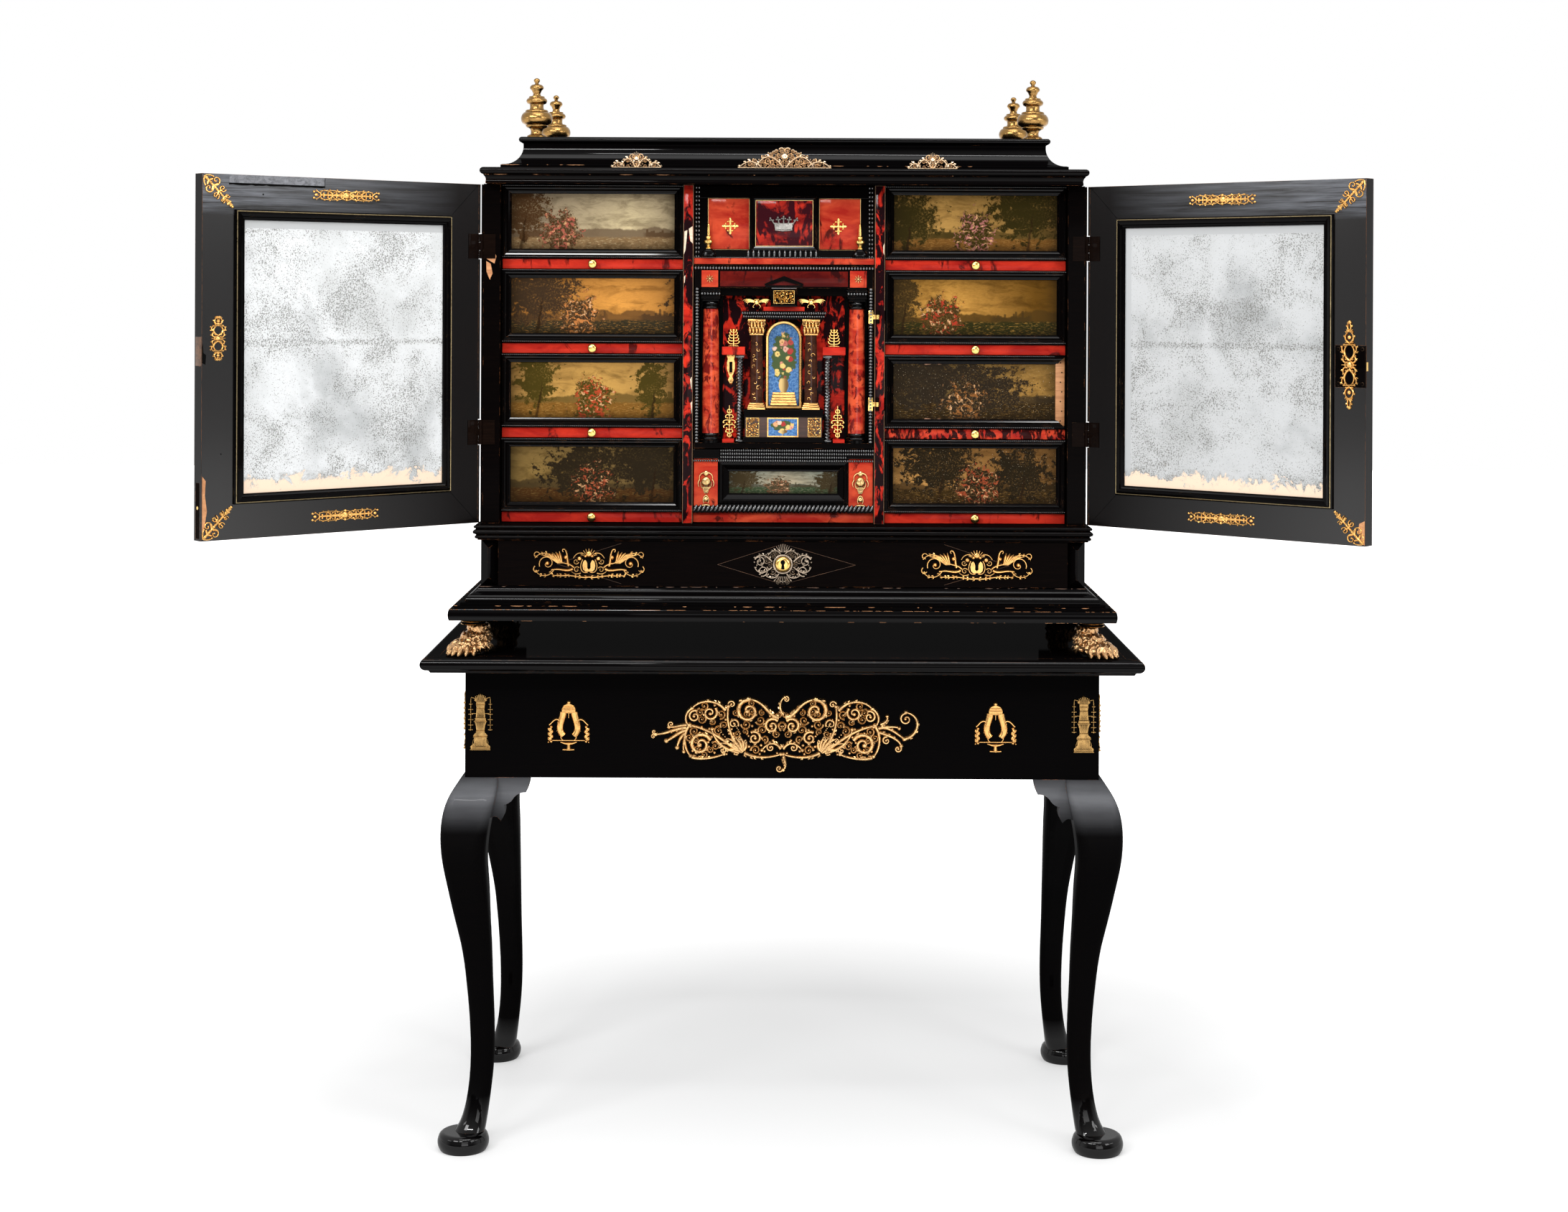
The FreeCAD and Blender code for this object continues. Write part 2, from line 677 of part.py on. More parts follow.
def stand():
    sections = []
    for i, (up, outer, inner, turn) in enumerate(leg_shares):
        sections.append(rounded_square(f"leg_section_{i}", f"knee_size * ({outer})", f"knee_size * {inner}",
                                       f"knee_size * {turn}", f"leg_height * {up}"))
    shaft = doc.addObject("Part::Loft", "leg_shaft")
    shaft.Sections = sections
    shaft.Solid = True
    pad = turned("leg_pad", pad_shares, "pad_radius", "pad_height", f"0 - {frieze_half}", "0 - frieze_lead",
                 "0")
    post_x = (f"rail_thick - {frieze_half}", f"rail_thick + post_size - {frieze_half}")
    post_y = ("rail_thick - frieze_lead", "rail_thick + post_size - frieze_lead")
    post = board("leg_post", post_x, post_y, ("leg_height", "leg_height + frieze_height"))
    leg = joined("leg", shaft, pad, post)

    root = f"bracket_tuck - {frieze_half}"
    ear = [(f"{root} + bracket_width * {a}", f"leg_height - bracket_height * {b}", bow)
           for a, b, bow in bracket_shares]
    front_ear = padded("front_ear", "XZ_Plane", ear, "0 - frieze_lead", "bracket_thick - frieze_lead")
    ear_y = [(f"bracket_tuck - frieze_lead + bracket_width * {a}", f"leg_height - bracket_height * {b}", bow)
             for a, b, bow in bracket_shares]
    side_ear = padded("side_ear", "YZ_Plane", ear_y, f"0 - {frieze_half}", f"bracket_thick - {frieze_half}")
    front_ear = cut("front_bracket", front_ear, leg)
    side_ear = cut("side_bracket", side_ear, leg)

    middle_y = f"({frieze_back} - frieze_lead) / 2"
    corner = [leg, front_ear, side_ear]
    corner += [mirrored(piece, (0, 1, 0), middle_y) for piece in corner]
    corner += [mirrored(piece) for piece in corner]
    legs = [piece for piece in corner if piece.Name.startswith("leg")]
    ears = [piece for piece in corner if piece not in legs]
    node("cabriole_legs", legs)
    node("knee_brackets", ears)

    high = ("leg_height", "leg_height + frieze_height")
    front = board("front_rail", (f"0 - {frieze_half}", frieze_half),
                  ("0 - frieze_lead", "rail_thick - frieze_lead"), high)
    back = board("back_rail", (f"0 - {frieze_half}", frieze_half),
                 (f"{frieze_back} - rail_thick", frieze_back), high)
    end = board("end_rail", (f"0 - {frieze_half}", f"rail_thick - {frieze_half}"),
                ("rail_thick - frieze_lead", f"{frieze_back} - rail_thick"), high)
    node("frieze_rails", front, back, pair(end))

    level = "(leg_height + frieze_height)"
    half = f"({frieze_half} + top_overhang - top_edge)"
    face = "(top_edge - frieze_lead - top_overhang)"
    rear = f"{frieze_back} + top_back_overhang"
    panel = board("top_panel", (f"0 - {half}", half), (face, rear), (level, stand_z))
    edge = mitred("top_edge_run", top_edge_shares, "top_edge", "top_thick", level, half, face, rear, "0")
    node("stand_top", panel, edge)


def frieze_mounts():
    face = "(0 - frieze_lead)"
    top = "(leg_height + frieze_height)"
    front = f"{face} - mount_thick"
    wide = flat_mount("scroll_mount", scroll_shares, "scroll_width", "scroll_height", "0", front, face,
                      f"{top} - scroll_drop - scroll_height")
    lyre = flat_mount("lyre_mount", lyre_shares, "lyre_width", "lyre_height", "0 - lyre_place", front, face,
                      f"{top} - lyre_drop - lyre_height")
    urn = flat_mount("urn_mount", urn_shares, "urn_width", "urn_height", f"urn_inset - {frieze_half}",
                     front, face, f"{top} - urn_drop - urn_height")
    end_points = [(f"end_mount_inset - frieze_lead + urn_width / 2 * ({a})",
                   f"{top} - urn_drop - urn_height + urn_height * {b}", bow) for a, b, bow in urn_shares]
    end_points += [(f"end_mount_inset - frieze_lead - urn_width / 2 * ({urn_shares[i][0]})",
                    f"{top} - urn_drop - urn_height + urn_height * {urn_shares[i][1]}", urn_shares[i - 1][2])
                   for i in range(len(urn_shares) - 2, 0, -1)]
    end_points[len(urn_shares) - 1] = end_points[len(urn_shares) - 1][:2] + (urn_shares[-2][2],)
    end = padded("end_mount", "YZ_Plane", end_points, f"0 - {frieze_half} - mount_thick",
                 f"0 - {frieze_half}")
    node("stand_mounts", wide, pair(lyre), pair(urn), pair(end))


def paw_feet():
    half = f"({half_case} + base_out - paw_side_inset)"
    middle_x = f"0 - {half}"
    floor, top = stand_z, slab_z

    feet = []
    front_y = f"(paw_front_inset - {lead} - base_out)"
    back_y = "(case_depth - paw_back_inset)"
    for name, y, way in (("front", front_y, 1), ("back", back_y, -1)):
        lumps = []
        heel = doc.addObject("Part::Ellipsoid", f"{name}_paw_heel")
        lumps.append((heel, "paw_length / 2", "paw_width / 2", f"paw_height * {paw_thick_share} / 2", "0",
                      "0",
                      f"paw_height * {paw_lift_share}"))
        for i in range(toe_count):
            toe = doc.addObject("Part::Ellipsoid", f"{name}_paw_toe_{i}")
            step = (i - (toe_count - 1) / 2) * 2 / (toe_count - 1)
            lumps.append((toe, f"toe_radius * {toe_long_share}", "toe_radius", "toe_radius",
                          f"paw_length * {toe_reach_share}", f"paw_width * {toe_spread_share} * ({step:.4f})",
                          f"toe_radius * {toe_lift_share}"))
        for piece, long, wide, high, reach, across, level in lumps:
            piece.setExpression("Radius2", bound(long))
            piece.setExpression("Radius3", bound(wide))
            piece.setExpression("Radius1", bound(high))
            piece.Placement.Rotation = FreeCAD.Rotation(FreeCAD.Vector(0, 0, 1), 225 if way > 0 else 135)
            x = f"{middle_x} - (({reach}) + ({across})) * sqrt(0.5)"
            y_place = f"{y} - (({reach}) - ({across})) * sqrt(0.5) * ({way})"
            place(piece, x, y_place, f"{floor} + {level}")
        ankle_shares = [(1, 0, 0), (0.9, 0.5, 0), (1, 1, 0)]
        foot = f"paw_height * {ankle_foot_share}"
        ankle = turned(f"{name}_paw_ankle", ankle_shares, "ankle_radius",
                       f"paw_height - collar_height - {foot}",
                       middle_x, y, f"{floor} + {foot}")
        whole = joined(f"{name}_paw_lump", *[item[0] for item in lumps], ankle)
        reach = "(paw_length + paw_width)"
        keep = board(f"{name}_paw_room", (f"{middle_x} - {reach}", f"{middle_x} + {reach}"),
                     (f"{y} - {reach}", f"{y} + {reach}"), (floor, f"{top} - collar_height"))
        paw = common(f"{name}_paw", whole, keep)
        collar = rod(f"{name}_paw_collar", "collar_radius", "collar_height", middle_x, y,
                     f"{top} - collar_height")
        feet += pair(paw) + pair(collar)
    node("paw_feet", feet)


def base():
    front = f"(0 - {lead})"
    deep = "side_thick"
    node("base_moulding", mitred("base_run", base_shares, "base_out", "base_rise", slab_z, half_case, front,
                                 "case_depth", deep))
    floor = board("base_floor", (f"0 - {inner_side}", inner_side), (f"{front} + {deep}", "case_depth"),
                  (f"{long_z} - base_floor", long_z))
    behind = f"({front} + block_depth)"
    end = board("base_end", (f"0 - {half_case}", f"0 - {inner_side}"), (behind, "case_depth"),
                (long_z, waist_z))
    back = board("base_back", (f"0 - {inner_side}", inner_side), (inner_back, "case_depth"),
                 (long_z, waist_z))
    node("base_carcase", floor, pair(end), back)

    block_x = (f"0 - {half_case}", f"block_width - {half_case}")
    root = f"{front} + block_facet"
    block = board("corner_block", block_x, (root, behind), (long_z, waist_z))
    middle = f"block_width / 2 - {half_case}"
    ridge = (f"{middle} - block_width * {ridge_share}", f"{middle} + block_width * {ridge_share}")
    facet = wedge("corner_facet", "y", (front, root),
                  (ridge, (f"{long_z} + block_slope", f"{waist_z} - block_slope")),
                  (block_x, (long_z, waist_z)))
    node("corner_blocks", pair(block), pair(facet))
    node("waist_moulding", mitred("waist_run", waist_shares, "waist_out", "waist_rise", waist_z, half_case,
                                  front, "case_depth", "0"))


def long_drawer():
    front = f"(0 - {lead})"
    half = f"({half_case} - block_width - long_gap)"
    low, high = f"{long_z} + long_gap", f"{waist_z} - long_gap"
    node("long_drawer_front",
         board("long_front", (f"0 - {half}", half), (front, f"{front} + long_front_thick"),
                                    (low, high)))
    box_half = f"({inner_side} - long_side_play)"
    behind, rear = f"({front} + long_front_thick)", f"({inner_back} - long_back_play)"
    low, top = f"({long_z} + seat_play)", f"{high} - long_box_drop"
    side = board("long_side", (f"0 - {box_half}", f"long_board - {box_half}"), (behind, rear), (low, top))
    inside = f"({box_half} - long_board)"
    bottom = board("long_bottom_board", (f"0 - {inside}", inside), (behind, rear),
                   (low, f"{low} + long_bottom"))
    back = board("long_back", (f"0 - {inside}", inside), (f"{rear} - long_board", rear),
                 (f"{low} + long_bottom", top))
    node("long_drawer_box", pair(side), bottom, back)

    plate = f"{front} - mount_thick"
    middle = f"({long_z} + long_height / 2)"
    plaque = flat_mount("long_plaque", plaque_shares, "plaque_width", "plaque_height", "0", plate, front,
                        f"{middle} - plaque_height / 2")
    boss = turned("long_boss", boss_shares, "boss_radius", "boss_rise", "0", plate, middle, (0, -1, 0))
    griffin = flat_mount("long_side_mount", griffin_shares, "griffin_width", "griffin_height",
                         "0 - griffin_place", plate, front, f"{middle} - griffin_height / 2")
    node("long_drawer_mounts", plaque, boss, pair(griffin))


def handles():
    """A bail on each end of the base, hanging from two posts that stand on turned roses."""
    pivot_x = f"(0 - {half_case} - handle_stand)"
    pivot_z = f"({waist_z} - handle_level)"
    middle_y = "(case_depth / 2)"
    half = "(handle_span / 2)"
    fixed = []
    for name, way in (("near", -1), ("far", 1)):
        y = f"({middle_y} + ({way}) * ({half} + handle_end_play + post_width / 2))"
        rose = turned(f"{name}_rose", rose_shares, "rose_radius", "rose_thick", f"0 - {half_case}", y,
                      pivot_z,
                      (-1, 0, 0))
        stem = rod(f"{name}_stem", "post_stem_radius", "handle_stand - rose_thick",
                   f"0 - {half_case} - rose_thick", y, pivot_z, (-1, 0, 0))
        head = rod(f"{name}_head", "post_radius", "post_width", pivot_x, f"{y} - post_width / 2", pivot_z,
                   (0, 1, 0))
        bore = rod(f"{name}_bore", "handle_pivot + handle_play", "post_width", pivot_x,
                   f"{y} - post_width / 2",
                   pivot_z, (0, 1, 0))
        post = cut(f"{name}_post", joined(f"{name}_post_whole", stem, head), bore)
        fixed += pair(rose) + pair(post)
    node("handle_posts", fixed)

    leg_y, low = f"({half} - handle_rod)", f"({pivot_z} - handle_drop)"
    straight = f"({leg_y} - handle_corner)"
    lengths = [rod("bail_bar", "handle_rod", f"2 * {straight}", pivot_x, f"{middle_y} - {straight}", low,
                   (0, 1, 0))]
    for name, way, quarter in (("near", -1, 180), ("far", 1, 270)):
        lengths.append(rod(f"bail_leg_{name}", "handle_rod", "handle_drop - handle_corner", pivot_x,
                           f"{middle_y} + ({way}) * {leg_y}", f"{low} + handle_corner"))
        bend = doc.addObject("Part::Torus", f"bail_bend_{name}")
        bend.setExpression("Radius1", bound("handle_corner"))
        bend.setExpression("Radius2", bound("handle_rod"))
        bend.Angle3 = 90
        bend.Placement.Rotation = FreeCAD.Rotation(FreeCAD.Vector(1, 1, 1), 120).multiply(
            FreeCAD.Rotation(FreeCAD.Vector(0, 0, 1), quarter))
        lengths.append(place(bend, pivot_x, f"{middle_y} + ({way}) * {straight}", f"{low} + handle_corner"))
        reach = "(handle_rod + handle_end_play + post_width)"
        start = f"{middle_y} + {leg_y}" if way > 0 else f"{middle_y} - {half} - handle_end_play - post_width"
        lengths.append(rod(f"bail_pin_{name}", "handle_pivot", reach, pivot_x, start, pivot_z, (0, 1, 0)))
        eye = doc.addObject("Part::Sphere", f"bail_eye_{name}")
        eye.setExpression("Radius", bound("handle_rod + handle_end_play / 2"))
        lengths.append(place(eye, pivot_x, f"{middle_y} + ({way}) * {leg_y}", pivot_z))
    left = joined("bail_whole", *lengths)
    node("handle_left", left)
    node("handle_right", mirrored(left))


def case():
    high = (case_z, cornice_z)
    side = board("case_side", (f"0 - {half_case}", f"0 - {inner_side}"), ("0", "case_depth"), high)
    node("case_sides", pair(side))
    back = board("case_back_board", (f"0 - {inner_side}", inner_side), (inner_back, "case_depth"), high)
    well = f"({half_case} - cornice_inset - cornice_deep)"
    well_back = board("well_back", (f"0 - {well}", well), (inner_back, "case_depth"),
                      (f"{cornice_z} + roof_thick", lid_z))
    part = board("partition", (f"0 - {bank_side}", f"0 - {half_middle}"), ("partition_set", inner_back), high)
    shelf_y = ("front_set + front_thick + drawer_play", inner_back)
    shelves = []
    for i in range(1, round(value("row_count"))):
        level = f"({case_z} + {row_pitch} * {i})"
        shelf = board(f"dust_board_{i}", (f"0 - {inner_side}", f"0 - {bank_side}"), shelf_y,
                      (f"{level} - dust_thick / 2", f"{level} + dust_thick / 2"))
        shelves += pair(shelf)
    for name, level in (("low", portico_z), ("high", attic_z)):
        shelves.append(board(f"middle_board_{name}", (f"0 - {half_middle}", half_middle),
                             (f"portico_set + portico_plate + drawer_play", inner_back),
                             (f"{level} - dust_thick / 2", f"{level} + dust_thick / 2")))
    node("partitions", pair(part), shelves)

    front = f"(cornice_inset - {lead})"
    node("cornice", mitred("cornice_run", cornice_shares, "cornice_out", "cornice_rise", cornice_z,
                           f"({half_case} - cornice_inset)", front, "case_depth", "cornice_deep"))
    roof = board("roof_board", (f"0 - {well}", well), (f"{front} + cornice_deep", "case_depth"),
                 (cornice_z, f"{cornice_z} + roof_thick"))
    sill = board("floor_board", (f"0 - {half_case}", half_case), (f"0 - {lead}", "case_depth"),
                 (waist_z, case_z))
    hole = rod("bolt_hole", "bolt_radius + bolt_play", "bolt_travel + bolt_rest",
               "0 - meeting_gap / 2 - bolt_inset", "0 - door_gap - door_thick / 2",
               f"{case_z} - bolt_travel - bolt_rest")
    node("case_boards", back, well_back, roof, cut("bored_floor", sill, hole))

    low = f"({portico_z} + dust_thick / 2)"
    top = f"({attic_z} - dust_thick / 2)"
    room = (f"0 - {half_middle} + lining_inset", f"{half_middle} - lining_inset")
    start = "(portico_set + portico_plate + drawer_play)"
    end = f"({start} + lining_depth)"
    inner = (f"{room[0]} + lining_thick", f"{room[1]} - lining_thick")
    niche = [board("niche_floor", room, (start, end), (low, f"{low} + lining_thick")),
             board("niche_ceiling", room, (start, end), (f"{top} - lining_thick", top)),
             board("niche_back", inner, (f"{end} - lining_thick", end),
                   (f"{low} + lining_thick", f"{top} - lining_thick"))]
    niche += pair(board("niche_side", (room[0], inner[0]), (start, end),
                        (f"{low} + lining_thick", f"{top} - lining_thick")))
    node("niche_lining", niche)


def drawer_box(name, x, y, z):
    """An open box of four boards behind a drawer front."""
    (x0, x1), (y0, y1), (z0, z1) = x, y, z
    inside = (f"{x0} + drawer_board", f"{x1} - drawer_board")
    return [
        board(f"{name}_left", (x0, inside[0]), y, z),
        board(f"{name}_right", (inside[1], x1), y, z),
        board(f"{name}_bottom", inside, y, (z0, f"{z0} + drawer_bottom")),
        board(f"{name}_back", inside, (f"{y1} - drawer_board", y1), (f"{z0} + drawer_bottom", z1)),
    ]


def small_drawers():
    outer = f"({inner_side} - front_play)"
    inner = f"({bank_side} + front_play)"
    face = "front_set"
    for column, spans in zip(("left", "right"), (both(inner, outer))):
        for row in range(round(value("row_count"))):
            name = f"drawer_{column}_{row + 1}"
            low = f"({case_z} + {row_pitch} * {row} + front_play / 2)"
            high = f"({case_z} + {row_pitch} * {row + 1} - front_play / 2)"
            plate = board(f"{name}_plate", spans, (face, f"{face} + front_thick"), (low, high))
            rail = board(f"{name}_rail", spans, (f"{face} - rail_proud", face), (low, f"{low} + rail_height"))
            frame_z = (f"{low} + rail_height + rail_gap", high)
            frame = picture_frame(f"{name}_frame", spans, frame_z, "frame_band", face,
                                  f"{face} - frame_proud",
                                  f"{face} - frame_inner_proud")
            panel = board(f"{name}_panel", (f"{spans[0]} + frame_band", f"{spans[1]} - frame_band"),
                          (f"{face} - panel_thick", face),
                          (f"{frame_z[0]} + frame_band", f"{frame_z[1]} - frame_band"))
            knob = turned(f"{name}_knob", knob_shares, "knob_radius", "knob_length",
                          f"(({spans[0]}) + ({spans[1]})) / 2", f"{face} - rail_proud",
                          f"{low} + rail_height / 2",
                          (0, -1, 0))
            node(f"{name}_front", plate, rail, frame, panel, knob)
            box_x = (f"{spans[0]} + drawer_play", f"{spans[1]} - drawer_play")
            start = f"({face} + front_thick)"
            under = f"({case_z} + {row_pitch} * {row} + seat_play" + (" + dust_thick / 2)" if row else ")")
            box = drawer_box(f"{name}_box", box_x, (start, f"{start} + drawer_depth"),
                             (under, f"{high} - drawer_side_drop"))
            node(f"{name}_box", box)


def attic_drawer():
    half = f"({half_middle} - front_play)"
    face = "front_set"
    low, high = f"({attic_z} + front_play)", f"({cornice_z} - front_play)"
    plate = board("attic_plate", (f"0 - {half}", half), (face, f"{face} + front_thick"), (low, high))
    sill = board("attic_sill_board", (f"0 - {half}", half), (f"{face} - attic_block_proud", face),
                 (low, f"{low} + attic_sill"))
    block_half = "(attic_block_width / 2)"
    block_z = (f"{low} + attic_sill", f"{high} - attic_head")
    head = board("attic_head_board", (f"0 - {half}", half), (f"{face} - attic_head_proud", face),
                 (f"{high} - attic_head", high))
    frame = picture_frame("attic_frame", (f"0 - {block_half}", block_half), block_z, "frame_band", face,
                          f"{face} - attic_block_proud", f"{face} - frame_inner_proud")
    panel = board("attic_panel", (f"frame_band - {block_half}", f"{block_half} - frame_band"),
                  (f"{face} - panel_thick", face),
                  (f"{block_z[0]} + frame_band", f"{block_z[1]} - frame_band"))
    side = board("attic_side_panel", (f"0 - {block_half} - attic_panel_width", f"0 - {block_half}"),
                 (f"{face} - panel_thick", face), block_z)
    candle = turned("attic_candle", candle_shares, "candle_radius", "candle_height", "0 - candle_place",
                    f"{face} - panel_thick - candle_radius", f"{low} + attic_sill")
    node("attic_front", plate, sill, head, frame, panel, pair(side), pair(candle))
    start = f"({face} + front_thick)"
    node("attic_box", drawer_box("attic_box", (f"0 - {half} + drawer_play", f"{half} - drawer_play"),
                                 (start, f"{start} + attic_depth"),
                                 (f"{attic_z} + dust_thick / 2 + seat_play", f"{high} - drawer_side_drop")))


def plinth_drawer():
    half = f"({half_middle} - front_play)"
    face = "front_set"
    low, high = f"({case_z} + front_play)", f"({portico_z} - front_play)"
    plate = board("plinth_plate", (f"0 - {half}", half), (face, f"{face} + front_thick"), (low, high))
    rail = board("plinth_rail", (f"0 - {half}", half), (f"{face} - rail_proud", face),
                 (low, f"{low} + plinth_rail_height"))
    sill_top = f"({low} + plinth_rail_height + plinth_sill)"
    sill = board("plinth_sill_board", (f"0 - {half}", half), (f"{face} - plinth_cornice_proud", face),
                 (f"{low} + plinth_rail_height", sill_top))
    shelf = f"({high} - plinth_cornice_height)"
    top = board("plinth_cornice", (f"0 - {half}", half), (f"{face} - plinth_cornice_proud", face),
                (shelf, high))
    die = board("plinth_die", (f"0 - {half}", f"die_width - {half}"), (f"{face} - die_proud", face),
                (sill_top, shelf))
    side = "(plinth_panel_width / 2 + plinth_panel_inset)"
    frame = picture_frame("plinth_frame", (f"0 - {side}", side), (sill_top, shelf), "plinth_panel_inset",
                          face,
                          f"{face} - die_proud", f"{face} - frame_inner_proud")
    panel = board("plinth_panel", (f"plinth_panel_inset - {side}", f"{side} - plinth_panel_inset"),
                  (f"{face} - panel_thick", face),
                  (f"{sill_top} + plinth_panel_inset", f"{shelf} - plinth_panel_inset"))
    node("plinth_front", plate, rail, sill, top, pair(die), frame, panel)
    start = f"({face} + front_thick)"
    node("plinth_box", drawer_box("plinth_box", (f"0 - {half} + drawer_play", f"{half} - drawer_play"),
                                  (start, f"{start} + plinth_depth"),
                                  (f"{case_z} + seat_play", f"{high} - drawer_side_drop")))


def hinge(name, x, y, low, knuckle, fixed, moving):
    """A butt hinge on an upright pin. Each leaf is its tab's X span, its plate's X span and its Y span."""
    step, tall = f"({knuckle} + knuckle_play)", f"(3 * {knuckle} + 2 * knuckle_play)"
    pin = rod(f"{name}_pin", "pin_radius", tall, x, y, low)
    held = [pin]
    for i in (0, 2):
        span = (f"{low} + {i} * {step}", f"{low} + {i} * {step} + {knuckle}")
        held.append(rod(f"{name}_knuckle_{i}", "knuckle_radius", knuckle, x, y, span[0]))
        held.append(board(f"{name}_tab_{i}", fixed[0], fixed[2], span))
    held.append(board(f"{name}_leaf", fixed[1], fixed[2], (low, f"{low} + {tall}")))
    barrel = rod(f"{name}_barrel", "knuckle_radius", knuckle, x, y, f"{low} + {step}")
    tab = board(f"{name}_moving_tab", moving[0], moving[2],
                (f"{low} + {step}", f"{low} + {step} + {knuckle}"))
    plate = board(f"{name}_moving_leaf", moving[1], moving[2], (low, f"{low} + {tall}"))
    bore = rod(f"{name}_bore", "pin_radius + pin_play", knuckle, x, y, f"{low} + {step}")
    turning = cut(f"{name}_moving", joined(f"{name}_moving_whole", barrel, tab, plate), bore)
    return joined(f"{name}_fixed", *held), turning


def door_hinges():
    """The left door's hinges in its closed place: the case's halves and the door's."""
    fixed, moving = [], []
    tab, plate = (f"0 - {pin_x}", f"0 - {half_case}"), (f"0 - {half_case}", f"leaf_width - {half_case}")
    for name, lift in (("low_hinge", "hinge_low"), ("high_hinge", "hinge_high")):
        one, other = hinge(name, f"0 - {pin_x}", pin_y, f"({case_z} + {lift})", "knuckle_height",
                           (tab, plate, ("0 - leaf_thick", "0")),
                           (tab, plate, ("0 - door_gap", "leaf_thick - door_gap")))
        fixed.append(one)
        moving.append(other)
    return fixed, moving


def portico_hinges():
    """The portico door's hinges: the partition's halves and the door's."""
    fixed, moving = [], []
    x, y = f"({half_middle} + small_pin_out)", "(partition_set - small_pin_lead)"
    clear = f"({x} + knuckle_radius + stile_gap)"
    half = f"({half_middle} - portico_play)"
    front = "(partition_set - stile_gap)"
    for name, lift in (("small_low", "small_hinge_low"), ("small_high", "small_hinge_high")):
        one, other = hinge(name, x, y, f"({portico_z} + {lift})", "small_knuckle",
                           ((x, clear), (clear, bank_side), ("partition_set - leaf_thick", "partition_set")),
                           ((half, x), (f"{half} - stile_width", half), (f"{front} - leaf_thick", front)))
        fixed.append(one)
        moving.append(other)
    return fixed, moving


def hang(group, side):
    """Turn a door's node from closed to its open rest about its pin."""
    turn = "door_open" if side == "right" else "(0 - door_open)"
    x = pin_x if side == "right" else f"(0 - {pin_x})"
    group.Placement.Rotation = FreeCAD.Rotation(FreeCAD.Vector(0, 0, 1), 1)
    group.setExpression("Placement.Rotation.Angle", bound(f"{turn} * 1 deg"))
    cosine, sine = f"cos({turn} * 1 deg)", f"sin({turn} * 1 deg)"
    group.setExpression("Placement.Base.x", bound(f"{x} - ({x} * {cosine} - {pin_y} * {sine})"))
    group.setExpression("Placement.Base.y", bound(f"{pin_y} - ({x} * {sine} + {pin_y} * {cosine})"))


